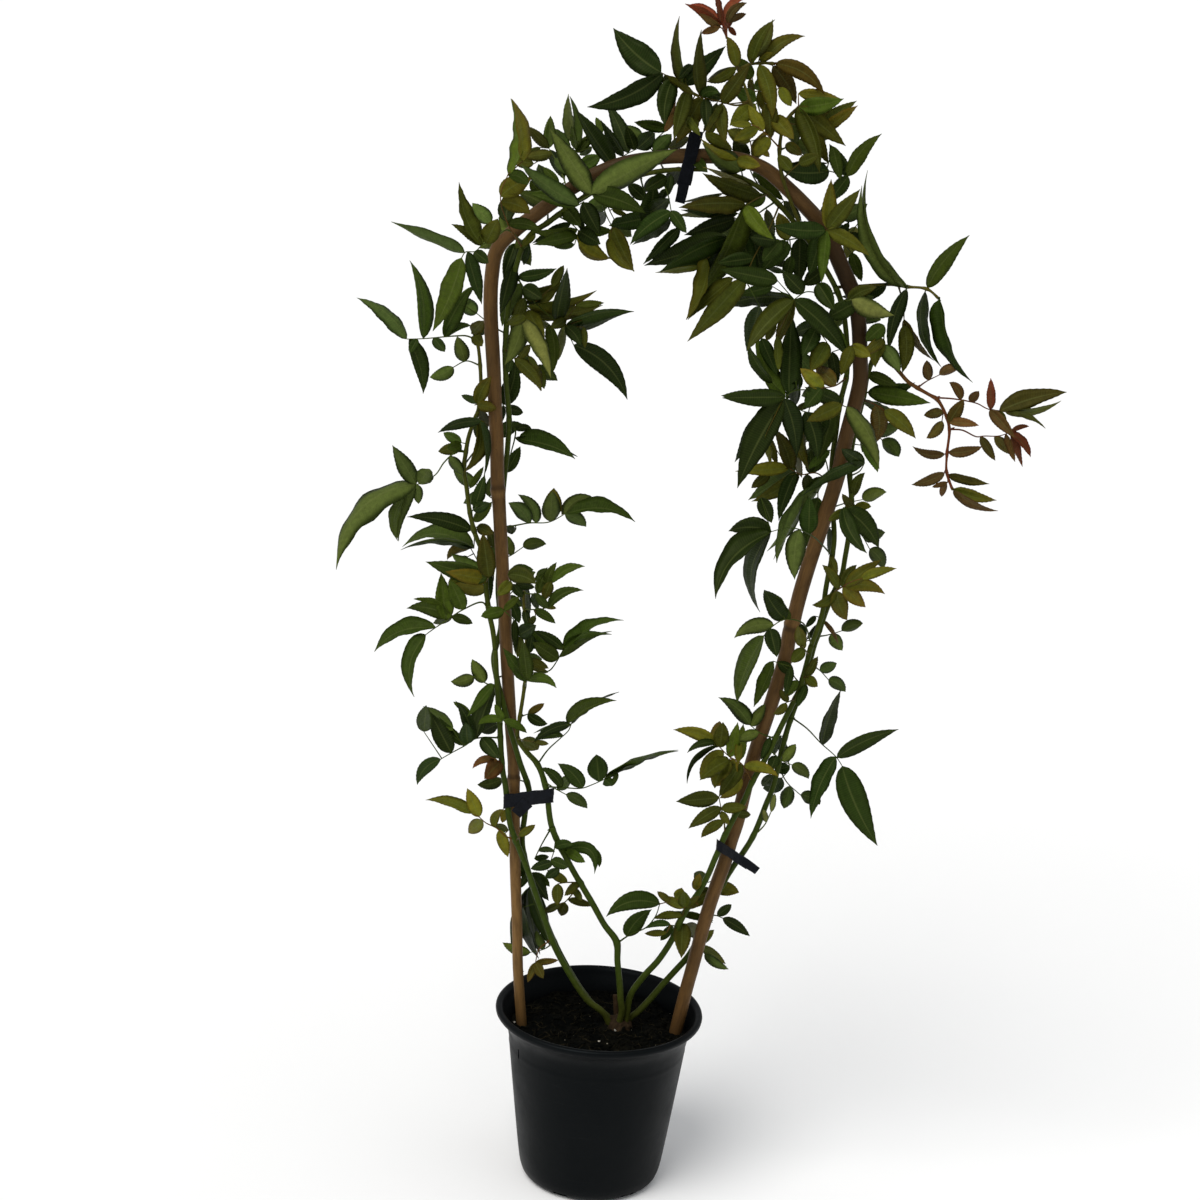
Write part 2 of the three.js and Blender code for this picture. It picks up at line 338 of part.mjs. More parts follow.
      [-50, 916, -88, 966, 16, 0], [-49, 914, 20, 956, 19, 2], [-48, 912, -3, 900, 15, 3, "mid"]]],
    [-6, "mid", [[-78, 894], [-66, 888], [-59, 882]], [
      [-59, 880, -30.5, 860, 11, -4, "gold"], [-61, 882, -100, 880, 9, 3], [-57, 884, -30, 884, 9, 0],
      [-58, 881, -40, 872, 12, 0, "dark"], [-66, 888, -98, 869, 7, 0, "dark"]]],
    [14, "pale", [[-66, 904], [-80, 938], [-88, 950]], [
      [-84, 946, -108, 941, 9, 0, "olive"], [-88, 950, -88, 977, 9, 0],
      [-87, 951, -107, 967, 8, 0, "olive"], [-82, 942, -68, 928, 11, 0, "mid"]]],
    [10, "light", [[-56, 911], [-60, 936], [-68, 956]], [
      [-68, 957, -74, 996, 9, 2, "pale"], [-64, 948, -52, 964, 8, 0, "mid"],
      [-60, 936, -44, 946, 11, 0, "mid"]]],
    [26, "dark", [[-86, 888], [-87, 918]], [
      [-84, 918, -96, 936, 12, 0], [-88, 908, -70, 920, 12, 0], [-90, 902, -112, 912, 12, 0]]],
  ]],
  ["middle_arch_cane", "foliage_dark", ["leftBack", 36, 40], [
    [10, "dark", [[-36, 922], [-33, 938], [-24, 948], [-14, 954]], [
      [-36, 941, -68, 984, 13, 0], [-22, 951, -42, 990, 12, -2], [-26, 948, -46, 976, 8, 0],
      [-14, 954, 0, 968, 13, 0], [-16, 953, -24, 972, 9, 0]]],
    [8, "dark", [[-10, 931], [-5, 915], [-2, 902], [1, 889]], [
      [2, 886, 2, 926, 18, 0], [-4, 896, -34, 888, 13, 0], [-4, 912, -20, 925, 10, 0],
      [-1, 900, 16, 914, 12, 0]]],
    [-8, "mid", [[-42, 918], [-38, 900], [-31, 887]], [
      [-30, 886, -10, 850, 13, -1, "olive"], [-38, 899, -52, 884, 11, 0, "dark"]]],
    [-12, "dark", [[4, 936], [14, 918], [18, 903]], [
      [17, 900, -15, 873, 12, -3], [18, 904, 32, 886, 9, 0]]],
    [26, "mid", [[-30, 925], [-36, 906], [-30, 894]], [
      [-30, 894, -14, 880, 12, 0], [-35, 908, -56, 900, 12, 0]]],
    [26, "dark", [[10, 937], [0, 952], [-10, 962]], [
      [-10, 962, -30, 972, 11, 0], [0, 952, 14, 968, 12, 0]]],
  ]],
  ["right_front_cane_low", "foliage_olive", ["rightFront", 0, 11], [
    [-8, "olive", [[69, 262], [72, 272]], [
      [70, 272, 49, 280, 8, -1], [72, 273, 70, 288, 10, 0], [74, 271, 84, 284, 6, 0],
      [69, 264, 44, 259, 6, -2]]],
    [6, "olive", [[68, 256], [74, 256]], [[71, 256, 72, 222, 14, 0], [74, 256, 92, 241, 9, 0]]],
    [-4, "dark", [[66, 253], [60, 254]], [[60, 254, 38, 249, 5, -3], [62, 253, 52, 238, 7, 0]]],
  ]],
  ["right_back_cane_low", "foliage_olive", ["rightBack", 0, 13], [
    [0, "bright", [[95, 262], [98, 259]], [[96, 260, 51, 264, 9, -4]]],
    [4, "olive", [[85, 238], [90, 235]], [[89, 235, 113, 219, 8, 0], [87, 237, 100, 252, 7, 0]]],
    [-6, "mid", [[105, 298], [97, 300], [91, 298]], [[91, 298, 78, 306, 11, 0]]],
    [2, "olive", [[104, 298], [98, 294], [93, 287]], [
      [98, 293, 120, 290, 12, 1], [94, 292, 82, 283, 12, 0], [93, 287, 78, 272, 8, 0]]],
    [10, "dark", [[96, 266], [102, 266], [107, 264]], [
      [107, 263, 133, 248, 9, 1], [102, 266, 114, 278, 8, 0]]],
  ]],
  ["right_front_cane_mid", "foliage_gold", ["rightFront", 11, 18], [
    [-6, "olive", [[103, 345], [101, 361], [97, 374], [95, 382]], [
      [94, 380, 57, 374, 13, 0], [97, 371, 70, 349, 11, -1], [99, 358, 82, 341, 9, -2],
      [100, 371, 121, 373, 9, 0]]],
    [-8, "gold", [[123, 398], [113, 414], [102, 420], [94, 427], [88, 433]], [
      [88, 433, 50, 442, 11, -3], [93, 428, 94, 452, 12, 0, "olive"],
      [104, 422, 107, 453, 10, 0, "bright"], [111, 418, 112, 452, 10, 0, "bright"],
      [96, 424, 77, 398, 12, -3], [106, 418, 92, 391, 14, 2], [112, 413, 95, 381, 13, 0, "olive"],
      [116, 412, 147, 404, 9, 4], [91, 430, 66, 392, 7, -9, "dark"], [89, 432, 64, 421, 5, -4, "dark"]]],
    [14, "dark", [[141, 440], [128, 444], [118, 451]], [
      [118, 452, 88, 475, 13, -4], [120, 451, 130, 472, 9, 0], [126, 445, 108, 436, 10, 0, "mid"]]],
    [16, "mid", [[137, 429], [148, 420], [158, 416]], [
      [158, 416, 174, 404, 10, 2], [150, 420, 160, 436, 9, 0]]],
  ]],
  ["right_back_cane_mid", "foliage_dark", ["rightBack", 13, 21], [
    [-12, "dark", [[155, 467], [169, 451], [182, 438.5], [197, 426], [203, 418]], [
      [187, 440, 196, 490, 12.5, 2], [198, 426, 250, 456, 14, 3], [194, 424, 179, 366, 13, -4],
      [204, 418, 241, 344, 21, -3]]],
    [4, "dark", [[150, 441], [154, 421], [156, 412], [150, 403]], [
      [149, 403, 134, 392, 12, 3], [154, 418, 146, 438, 9, 0], [155, 414, 144, 410, 10, 0]]],
    [-4, "pale", [[129, 345], [138, 357], [143, 370]], [
      [143, 370, 145, 388, 4, 0], [139, 360, 136, 372, 5, 0]]],
    [20, "dark", [[146, 414], [156, 398], [168, 388]], [
      [168, 388, 186, 380, 11, 2], [158, 396, 154, 374, 11, 0]]],
  ]],
  ["right_front_cane_high", "foliage_mid", ["rightFront", 18, 23], [
    [-16, "mid", [[170, 542], [157, 549], [141, 551], [132, 545], [124, 535]], [
      [141, 553, 123, 574, 14, 1, "dark"], [132, 545, 98, 531, 12, -5, "light"],
      [122, 532, 105, 470, 10, -5], [130, 541, 137, 516, 12, 0, "dark"], [146, 552, 131, 568, 7, 0]]],
    [-6, "olive", [[165, 520], [158, 528]], [[158, 527, 153, 546, 9, 0], [160, 525, 150, 512, 9, 0]]],
    [-6, "olive", [[161, 498], [166, 500]], [[164, 499, 175, 491, 8, 0], [164, 500, 173, 519, 7, 0]]],
    [10, "dark", [[160, 492], [153, 500], [150, 508]], [
      [150, 508, 147, 480, 7, 0], [152, 502, 138, 512, 9, 0]]],
    [-14, "olive", [[156, 478], [148, 474]], [[148, 474, 138, 463, 7, 2], [150, 475, 142, 486, 6, 0]]],
  ]],
  ["right_back_cane_high", "foliage_gold", ["rightBack", 21, 28], [
    [-6, "gold", [[180, 574], [186, 582], [192, 585]], [
      [192, 585, 221, 611, 11, 1], [191, 584, 227, 580, 11, 5], [190, 583, 211, 567, 11, 0],
      [185, 580, 196, 554, 13, -2], [189, 584, 200, 605, 8, 2, "olive"],
      [184, 579, 164, 566, 8, 4, "olive"], [186, 582, 170, 603, 8, -2, "olive"]]],
    [-4, "gold", [[190, 585], [198, 590], [206, 593]], [[205, 592, 235, 604, 8, 2]]],
    [-8, "bronze", [[172, 543], [175, 554]], [
      [175, 553, 190, 531, 5, 2], [174, 550, 162, 534, 6, 0, "dark"]]],
    [18, "mid", [[171, 537], [182, 540], [192, 544]], [
      [192, 544, 210, 552, 10, 2], [183, 540, 194, 526, 10, 0]]],
    [18, "dark", [[166, 511], [176, 506], [184, 498]], [
      [184, 498, 200, 488, 10, 2], [176, 506, 190, 514, 9, 0]]],
  ]],
  ["right_front_cane_upper", "foliage_dark", ["rightFront", 23, 32], [
    [-20, "dark", [[177, 612], [160, 628], [146, 634], [135, 634], [123, 630]], [
      [120, 628, 119, 556, 11, -13], [117, 627, 79, 566, 9, -13], [118, 630, 86, 628, 15, -4],
      [148, 636, 147, 588, 15, -2, "light"], [156, 631, 154, 664, 14, 0]]],
    [-10, "light", [[174, 656], [163, 660], [161, 668], [165, 677]], [
      [165, 677, 130, 602, 13, -9], [163, 664, 154, 617, 15, 0, "dark"]]],
    [-10, "gold", [[171, 686], [158, 685], [145, 683], [134, 688]], [
      [143, 683, 104, 656, 12, 3], [132, 689, 88, 682, 10, 0], [136, 687, 118, 722, 12, -3, "olive"],
      [140, 684, 129, 640, 11, -2, "dark"], [150, 684, 154, 664, 9, 0, "olive"],
      [152, 686, 152, 706, 8, 0, "dark"]]],
    [28, "dark", [[172, 700], [160, 706], [150, 714]], [
      [150, 714, 134, 728, 12, 0], [160, 706, 146, 696, 12, 0]]],
    [30, "mid", [[174, 655], [186, 660], [200, 664]], [
      [200, 664, 220, 672, 11, 2], [188, 661, 196, 640, 11, 0]]],
  ]],
  ["right_back_cane_upper", "foliage_dark", ["rightBack", 28, 36], [
    [-14, "dark", [[191, 642], [188, 652], [184, 656]], [
      [186, 654, 218, 621, 17, 4], [183, 656, 208, 616, 12, -4], [186, 654, 172, 643, 7, 0, "olive"]]],
    [-4, "olive", [[190, 652], [195, 655]], [[194, 655, 208, 658, 7, 2], [191, 656, 182, 668, 6, 0]]],
    [0, "olive", [[190, 662], [193, 668]], [[192, 667, 200, 688, 8, 3]]],
    [-14, "dark", [[187, 684], [196, 690], [199, 697]], [
      [198, 698, 147, 663, 12, -5], [197, 696, 178, 708, 11, 0]]],
    [20, "dark", [[191, 640], [202, 632], [210, 620]], [
      [210, 620, 224, 604, 12, 2], [203, 630, 222, 636, 11, 0]]],
  ]],
  ["right_front_cane_shoulder", "foliage_dark", ["rightFront", 32, 37], [
    [-24, "dark", [[173, 747], [150, 757], [133, 756], [124, 748]], [
      [123, 743, 91, 667, 20, -3], [125, 751, 72, 746, 14, 0], [127, 756, 126, 823, 17, 0],
      [129, 745, 140, 698, 15, 3], [118, 757, 97, 802, 12, 3, "mid"]]],
    [-14, "mid", [[173, 742], [158, 738], [142, 739], [134, 744]], [
      [132, 740, 152, 686, 12, -3, "olive"], [144, 739, 158, 697, 14, 3, "dark"],
      [162, 740, 150, 705, 12, 0, "dark"], [168, 741, 160, 697, 13, 0]]],
    [-28, "olive", [[173, 750], [176, 746], [179, 745]], [
      [179, 745, 212, 692, 13, 5, "light"], [172, 744, 146, 730, 12, 0],
      [174, 748, 142, 760, 12, 0, "dark"]]],
    [-6, "brown", [[177, 770], [166, 762], [156, 760]], [
      [156, 760, 144, 742, 12, 0, "dark"], [168, 764, 150, 780, 12, 0],
      [158, 761, 137, 776, 11, 0, "gold"]]],
    [28, "dark", [[173, 750], [160, 760], [148, 774]], [
      [148, 774, 130, 790, 13, 0], [160, 760, 140, 752, 13, 0], [156, 764, 162, 788, 13, 0]]],
  ]],
  ["right_back_cane_shoulder", "foliage_dark", ["rightBack", 36, 41], [
    [-22, "brown", [[193, 752], [205, 748], [212, 744]], [
      [212, 743, 241, 721, 12, 2, "olive"], [204, 748, 207, 715, 13, 3]]],
    [-16, "dark", [[193, 757], [198, 760]], [
      [197, 759, 251, 753, 14, 0, "mid"], [196, 759, 236, 770, 13, -3]]],
    [-8, "olive", [[198, 787], [203, 797], [206, 806]], [
      [206, 812, 201, 781, 10, -3], [205, 806, 190, 792, 9, 0, "gold"],
      [204, 800, 222, 778, 12, 2, "light"]]],
    [24, "dark", [[190, 735], [202, 728], [212, 718]], [
      [212, 718, 228, 704, 12, 2], [203, 727, 196, 706, 12, 0], [205, 725, 226, 730, 11, 0]]],
  ]],
  ["bronze_shoot", "foliage_bronze", ["bronze", 0, 12], [
    [-4, "bronze", [[268, 711], [272, 710]], [[270, 710, 299, 718, 8, -2]]],
    [2, "bronze", [[269, 709], [266, 709]], [[267, 709, 239, 714, 6, 4]]],
    [-3, "bronze", [[270, 694], [268, 692]], [[269, 692, 241, 680, 8, 2]]],
    [3, "brown", [[271, 692], [273, 691]], [[272, 691, 308, 685, 8, -1]]],
    [-3, "olive", [[276, 679], [278, 677]], [
      [277, 678, 316, 671, 9, -2], [277, 677, 318, 661.5, 8, -4, "bronze"]]],
    [4, "bronze", [[273, 686], [271, 683]], [[272, 684, 259, 679, 4, 0], [272, 683, 268, 671, 5, -1]]],
    [-4, "brown", [[266, 741], [268, 737]], [
      [267, 736, 279, 758, 10, 0], [269, 736, 294, 736, 6, 1, "bronze"]]],
    [4, "bronze", [[269, 731], [280, 731], [293, 726], [299, 727], [312, 728], [322, 732]], [
      [296, 727, 311, 706, 7, 0, "brown"], [308, 728, 326, 712, 8, 0, "brown"],
      [321, 731, 341, 711, 6, 3, "red"], [322, 731, 335, 702, 6, 0, "red"],
      [318, 730, 328, 706, 5, 0, "bronze"], [322, 732, 337, 738, 4, 2, "red"]]],
    [-4, "bronze", [[254, 758], [268, 758], [280, 757], [291, 755], [300, 751], [311, 750], [319, 749]], [
      [276, 757, 265, 772, 7, -3], [284, 756, 291, 766, 7, 0], [303, 751, 300, 778, 7, 0, "red"],
      [310, 750, 366, 770, 12, 3, "brown"], [315, 749, 362, 762, 8, -4, "olive"],
      [318, 749, 351, 737, 6, 4, "olive"], [309, 750, 317, 738, 6, 0, "olive"],
      [302, 750, 326, 727, 9, 0]]],
    [14, "bronze", [[238, 765], [246, 772], [256, 778]], [
      [256, 778, 274, 786, 8, 2], [247, 773, 244, 790, 8, 0]]],
    [16, "brown", [[256, 756], [262, 748], [262, 738]], [
      [262, 738, 250, 722, 8, 2], [262, 746, 246, 742, 8, 0]]],
  ]],
  ["right_arch_cane_outer", "foliage_dark", ["rightFront", 37, 41], [
    [-22, "dark", [[164, 843], [148, 842], [136, 842], [127, 835]], [
      [127, 833, 62, 823, 13, -5], [128, 833, 178, 787, 16, 4], [126, 834, 90, 788, 11, -4, "olive"],
      [128, 833, 114, 792, 10, 0, "olive"], [134, 842, 116, 858, 12, 0]]],
    [-10, "dark", [[170, 826], [158, 822], [148, 812]], [
      [148, 812, 138, 786, 13, 0], [158, 822, 186, 840, 14, 0], [154, 819, 178, 790, 12, 0, "mid"],
      [150, 815, 128, 806, 12, 0]]],
    [-16, "olive", [[175, 797], [182, 799]], [
      [178, 798, 196, 790, 10, 0, "gold"], [179, 799, 172, 772, 10, 0]]],
    [-12, "pale", [[167, 836], [176, 838]], [
      [176, 838, 213, 827, 14, -2], [173, 837, 196, 850, 10, 2, "olive"]]],
    [28, "dark", [[160, 850], [168, 838], [180, 828]], [
      [180, 828, 202, 822, 13, 0], [170, 836, 164, 812, 13, 0], [174, 832, 194, 842, 12, 0]]],
  ]],
  ["right_outer_side_shoot", "foliage_dark", ["outerStem", 0, 7], [
    [-4, "dark", [[205, 853], [203, 852]], [[204, 853, 166, 840, 11, 3]]],
    [-6, "light", [[221, 852], [223, 853]], [[222, 852, 176, 935, 12, 14]]],
    [-2, "dark", [[222, 852], [221, 849]], [[222, 850, 211, 796, 11, -3]]],
    [4, "olive", [[214, 852], [220, 836], [222, 819]], [
      [222, 818, 224, 777, 12, 3], [221, 824, 250, 790, 8, -3, "brown"]]],
    [4, "bright", [[238, 851], [240, 853]], [[239, 852, 270, 899, 13, 3]]],
    [8, "dark", [[238, 851], [237, 848]], [[237, 849, 257, 785, 11, -9]]],
    [-6, "dark", [[249, 844], [251, 842]], [[250, 843, 285, 773, 12.5, -9]]],
  ]],
  ["right_arch_cane_middle", "foliage_olive", ["rightFront", 41, 44], [
    [-12, "olive", [[137, 882], [144, 892], [151, 897]], [
      [150, 897, 175, 932, 12, 0], [150, 898, 150, 939, 11, 0], [151, 894, 188, 876, 11, 2],
      [149, 896, 104, 897, 13, 2, "dark"], [147, 893, 138, 856, 14, 0, "dark"],
      [151, 893, 149, 850, 9, 0, "mid"]]],
    [-22, "dark", [[132, 889], [120, 886], [108, 884]], [
      [108, 884, 86, 886, 12, 0], [112, 884, 98, 866, 13, 0], [118, 885, 108, 908, 12, 0, "olive"],
      [128, 888, 130, 848, 14, 0]]],
    [8, "dark", [[145, 873], [160, 886], [172, 898], [177, 905]], [
      [158, 884, 168, 904, 8, 0], [174, 900, 168, 872, 12, 0, "pale"], [166, 891, 190, 886, 11, 0]]],
    [30, "dark", [[140, 880], [150, 892], [162, 906]], [
      [162, 906, 182, 920, 12, 0], [152, 894, 146, 918, 12, 0], [154, 897, 176, 890, 12, 0]]],
  ]],
  ["right_arch_cane_inner", "foliage_olive", ["rightFront", 44, 48], [
    [-18, "dark", [[104, 916], [90, 905], [78, 892], [68, 884]], [
      [62, 886, -2, 856, 17, 0], [68, 872, 11, 851, 15, -2], [66, 880, 37, 812, 13, 0],
      [84, 898, 100, 850, 14, 0], [76, 890, 96, 846, 13, 0]]],
    [-26, "olive", [[98, 922], [88, 918], [80, 912]], [
      [80, 913, 24, 907, 13, -2], [80, 912, 106, 885, 12, -2, "bright"],
      [78, 906, 44, 832, 15, 6, "bright"], [90, 928, 42, 937, 14, 2]]],
    [-14, "olive", [[108, 914], [100, 890], [90, 868], [84, 850]], [
      [84, 842, 39, 793, 17, 0], [90, 868, 60, 862, 12, 0, "dark"], [96, 880, 118, 862, 13, 0, "dark"]]],
    [-16, "light", [[76, 934], [74, 942], [70, 950]], [
      [72, 940, 40, 962, 16, 0], [72, 952, 38, 966, 7, 2, "gold"], [70, 950, 90, 946, 10, 0, "gold"]]],
    [12, "mid", [[92, 927], [84, 938], [78, 950]], [
      [78, 950, 66, 968, 12, 0], [84, 938, 104, 944, 12, 0], [80, 946, 58, 948, 12, 0]]],
    [26, "dark", [[82, 931], [78, 912], [72, 896]], [
      [72, 896, 56, 880, 13, 0], [76, 906, 96, 896, 13, 0], [78, 912, 58, 914, 13, 0]]],
  ]],
  ["top_stem", "foliage_olive", ["topStem", 0, 5], [
    [-4, "olive", [[114, 991], [118, 997]], [
      [118, 998, 155, 1006, 13, -2, "bright"], [118, 996, 140, 943, 12, 3], [118, 997, 160, 967, 14, 0]]],
    [-6, "olive", [[106, 981], [96, 990], [92, 1004]], [
      [93, 1000, 97, 968, 12, 0], [98, 988, 116, 970, 12, 0, "gold"]]],
    [8, "olive", [[108, 983], [124, 982], [136, 984]], [
      [136, 984, 166, 1005, 9, 0], [126, 983, 144, 996, 6, 0], [128, 982, 147, 951, 11, 0, "gold"]]],
    [-10, "gold", [[105, 962], [94, 972], [86, 978]], [
      [86, 978, 66, 966, 9, 0], [90, 975, 76, 996, 9, 0], [96, 970, 84, 954, 10, 0]]],
    [4, "dark", [[107, 948], [128, 948], [150, 945], [164, 942]], [
      [148, 946, 108, 944, 17, 2], [166, 942, 146, 968, 10, 0], [167, 943, 189, 979, 11, 4, "bright"],
      [166, 941, 150, 920, 11, 0], [112, 948, 147, 952, 7, 0, "olive"], [158, 944, 174, 958, 7, 0]]],
    [-8, "olive", [[110, 936], [116, 944], [122, 950]], [
      [122, 950, 138, 958, 9, 0], [116, 944, 104, 956, 9, 0]]],
    [22, "mid", [[105, 960], [116, 966], [126, 972]], [
      [126, 972, 148, 978, 12, 0], [117, 967, 112, 990, 11, 0], [118, 968, 138, 960, 12, 0]]],
  ]],
  ["top_shoot", "foliage_olive", ["topShoot", 0, 7], [
    [-6, "olive", [[77, 998], [66, 995], [55, 997], [38, 1000], [25, 1006], [20, 1010], [2, 1018]], [
      [3, 1021, -40, 1052, 20, 3, "dark"], [2, 1014, -58, 986, 16, 6, "dark"], [5, 1016, 13, 1001, 9, 0],
      [23, 1006, 14, 1065, 9, 4.5], [37, 1001, 33, 1055, 10, 3], [22, 1010, 54, 1043, 13, 0, "dark"],
      [37, 1002, 51, 1004, 8, 3, "dark"], [12, 1013, 8, 974, 14, -3, "dark"], [24, 1004, 16, 963, 11, 0],
      [37, 998, 18, 960, 14, 0], [40, 998, 44, 972, 9, 0, "dark"]]],
    [-12, "olive", [[70, 996], [60, 996], [54, 996]], [
      [54, 996, 75, 1030, 12, 0], [53, 995, 60, 963, 10, -2], [52, 994, 42, 970, 6, 0]]],
    [-4, "olive", [[65, 1025], [63, 1027]], [[63, 1026, 40, 1013, 7, 3], [64, 1027, 54, 1051, 9, -2]]],
    [12, "mid", [[90, 983], [82, 1002], [78, 1018]], [
      [78, 1018, 62, 1034, 11, 0], [80, 1010, 98, 1020, 11, 0], [83, 1000, 64, 1008, 11, 0]]],
    [18, "olive", [[98, 978], [90, 970], [80, 966]], [
      [80, 966, 60, 974, 11, 0], [90, 970, 84, 950, 11, 0]]],
  ]],
  ["top_arm", "foliage_olive", ["topArm", 0, 3], [
    [-2, "olive", [[75, 1029], [77, 1030]], [[76, 1030, 93, 1067, 9, 4]]],
    [2, "olive", [[85, 1031], [87, 1032]], [[86, 1031, 119, 1055, 9, 6]]],
    [-3, "brown", [[95, 1031], [97, 1031]], [[96, 1031, 139, 1008, 12, 6]]],
    [-6, "olive", [[82, 1031], [83, 1029]], [[82, 1029, 97, 985, 12, 3]]],
    [3, "brown", [[93, 1031], [94, 1029]], [[94, 1029, 116, 999, 13, 2]]],
  ]],
  ["red_shoot_tip", "foliage_red", ["redTip", 0, 2], [
    [-3, "red", [[52, 1057], [49, 1061]], [[50, 1060, 18, 1075, 6, -2], [50, 1061, 44, 1083, 5, 0]]],
    [3, "bronze", [[52, 1057], [55, 1063]], [[53, 1062, 69, 1079, 6, 4], [55, 1062, 69, 1070, 5, 1]]],
    [-5, "bronze", [[52, 1056], [48, 1058]], [[49, 1058, 30, 1068, 5, 0], [48, 1058, 33, 1052, 5, 0]]],
    [4, "red", [[52, 1056], [56, 1059]], [[55, 1059, 62, 1052, 4, 0], [53, 1058, 54, 1072, 8, 0]]],
  ]],
];

// An old cane cut off above the crown: [x, z, depth]
const STUB = [[16.5, 144, 9.5], [16, 160, 11], [14, 181, 12]];
const STUB_R = 2.4;

// Colour and roughness
const LOOKS = {
  pot: [0x1b1e20, 0.5],
  compost: [0x1c1712, 0.95],
  bamboo: [0x82643f, 0.6],
  crown: [0x4a3a28, 0.9],
  tie: [0x10141b, 0.8],
  foliage_olive: [0x5a5f28, 0.55],
  foliage_dark: [0x33491f, 0.55],
  foliage_mid: [0x4b6430, 0.55],
  foliage_gold: [0x7b7a38, 0.55],
  foliage_bronze: [0x5d4026, 0.55],
  foliage_red: [0x7d3220, 0.55],
};

// Placing in space
const span = (...sides) => Math.sqrt(sides.reduce((t, v) => t + v * v, 0));
const place = ([x, z, y]) => {
  const k = 1 + y / EYE_BACK;
  return new THREE.Vector3(x * k, y, EYE_HEIGHT + (z - EYE_HEIGHT) * k);
};

let seed = 20260;
const draw = () => {
  seed = (seed * 1664525 + 1013904223) % 4294967296;
  return seed / 4294967296;
};

// Solids
function solid(points, faces) {
  return new wasm.Manifold(new wasm.Mesh({
    numProp: 3,
    vertProperties: Float32Array.from(points.flatMap((p) => [p.x, p.y, p.z])),
    triVerts: Uint32Array.from(faces.flat()),
  }));
}

// A solid whose faces all point out, whichever way round they were given
function outward(points, faces) {
  const body = solid(points, faces);
  return body.volume() > 0 ? body : solid(points, faces.map(([a, b, c]) => [a, c, b]));
}

function fromGeometry(geometry) {
  const p = geometry.attributes.position;
  const index = geometry.index ? geometry.index.array : Array.from({ length: p.count }, (_, i) => i);
  const seen = new Map();
  const points = [];
  const ids = [];
  for (let i = 0; i < p.count; i += 1) {
    const key = [p.getX(i), p.getY(i), p.getZ(i)].map((v) => Math.round(v * 1e4)).join();
    if (!seen.has(key)) {
      seen.set(key, points.length);
      points.push(new THREE.Vector3(p.getX(i), p.getY(i), p.getZ(i)));
    }
    ids.push(seen.get(key));
  }
  const faces = [];
  for (let i = 0; i < index.length; i += 3) {
    const f = [ids[index[i]], ids[index[i + 1]], ids[index[i + 2]]];
    if (new Set(f).size === 3) faces.push(f);
  }
  return solid(points, faces);
}

// Solids joined in pairs, then the pairs in pairs, until one is left
function join(list) {
  let level = list;
  while (level.length > 1) {
    const next = [];
    for (let i = 0; i < level.length; i += 2) {
      next.push(i + 1 < level.length ? level[i].add(level[i + 1]) : level[i]);
    }
    level = next;
  }
  return level[0];
}

const largest = (body) => body.decompose().sort((a, b) => b.volume() - a.volume())[0];

// Rings of equal count skinned into one closed body, the first and last ring capped
function skin(rings) {
  const n = rings[0].length;
  const points = rings.flat();
  const faces = [];
  for (let i = 1; i < n - 1; i += 1) faces.push([0, i + 1, i]);
  for (let k = 0; k + 1 < rings.length; k += 1) {
    for (let i = 0; i < n; i += 1) {
      const a = k * n + i;
      const b = k * n + ((i + 1) % n);
      faces.push([a, b, b + n], [a, b + n, a + n]);
    }
  }
  const last = (rings.length - 1) * n;
  for (let i = 1; i < n - 1; i += 1) faces.push([last, last + i, last + i + 1]);
  return outward(points, faces);
}

// The places in a list of points that it needs to keep within tolerance of its shape
function needed(points, first, last, tolerance) {
  const along = points[last].clone().sub(points[first]).normalize();
  let worst = tolerance;
  let at = 0;
  for (let i = first + 1; i < last; i += 1) {
    const off = points[i].clone().sub(points[first]).cross(along).length();
    if (off > worst) [worst, at] = [off, i];
  }
  if (!at) return [first, last];
  return [...needed(points, first, at, tolerance), ...needed(points, at, last, tolerance).slice(1)];
}

// A round stem along spine points; first and last cut a stretch out of it, with the joints left open
function stem(spine, radii, sides, first = 0, last = spine.length - 1, open = 0) {
  const rings = needed(spine, first, last, STRAIGHT_CANE).map((i) => {
    const next = spine[Math.min(i + 1, spine.length - 1)];
    const tangent = next.clone().sub(spine[Math.max(i - 1, 0)]).normalize();
    const side = new THREE.Vector3(0, 1, 0).cross(tangent).normalize();
    const up = tangent.clone().cross(side);
    const centre = spine[i].clone();
    if (i === first && first > 0) centre.addScaledVector(tangent, open);
    if (i === last && last < spine.length - 1) centre.addScaledVector(tangent, -open);
    return Array.from({ length: sides }, (_, k) => {
      const a = (k * 2 * Math.PI) / sides;
      const [out, over] = [radii[i] * Math.cos(a), radii[i] * Math.sin(a)];
      return centre.clone().addScaledVector(side, out).addScaledVector(up, over);
    });
  });
  return skin(rings);
}

// Where things already are: for each small square of the hoop's plane, the depths in use
const used = new Map();
const cellKey = (x, z) => (Math.floor(x / CELL) + REACH / 2) * REACH + Math.floor(z / CELL);

function cellsOf(samples) {
  const cells = new Map();
  for (const [x, z, near, far, s] of samples) {
    const key = cellKey(x, z);
    const c = cells.get(key);
    if (!c) cells.set(key, [near, far, s]);
    else {
      c[0] = Math.min(c[0], near);
      c[1] = Math.max(c[1], far);
      c[2] = Math.max(c[2], s);
    }
  }
  return cells;
}

function occupy(samples, node, spray) {
  const wide = new Map();
  for (const [key, [near, far]] of cellsOf(samples)) {
    for (let i = -1; i <= 1; i += 1) {
      for (let j = -1; j <= 1; j += 1) {
        const k = key + i * REACH + j;
        const c = wide.get(k);
        if (!c) wide.set(k, [near, far]);
        else {
          c[0] = Math.min(c[0], near);
          c[1] = Math.max(c[1], far);
        }
      }
    }
  }
  for (const [key, [near, far]] of wide) {
    if (!used.has(key)) used.set(key, []);
    used.get(key).push([near, far, node, spray]);
  }
}

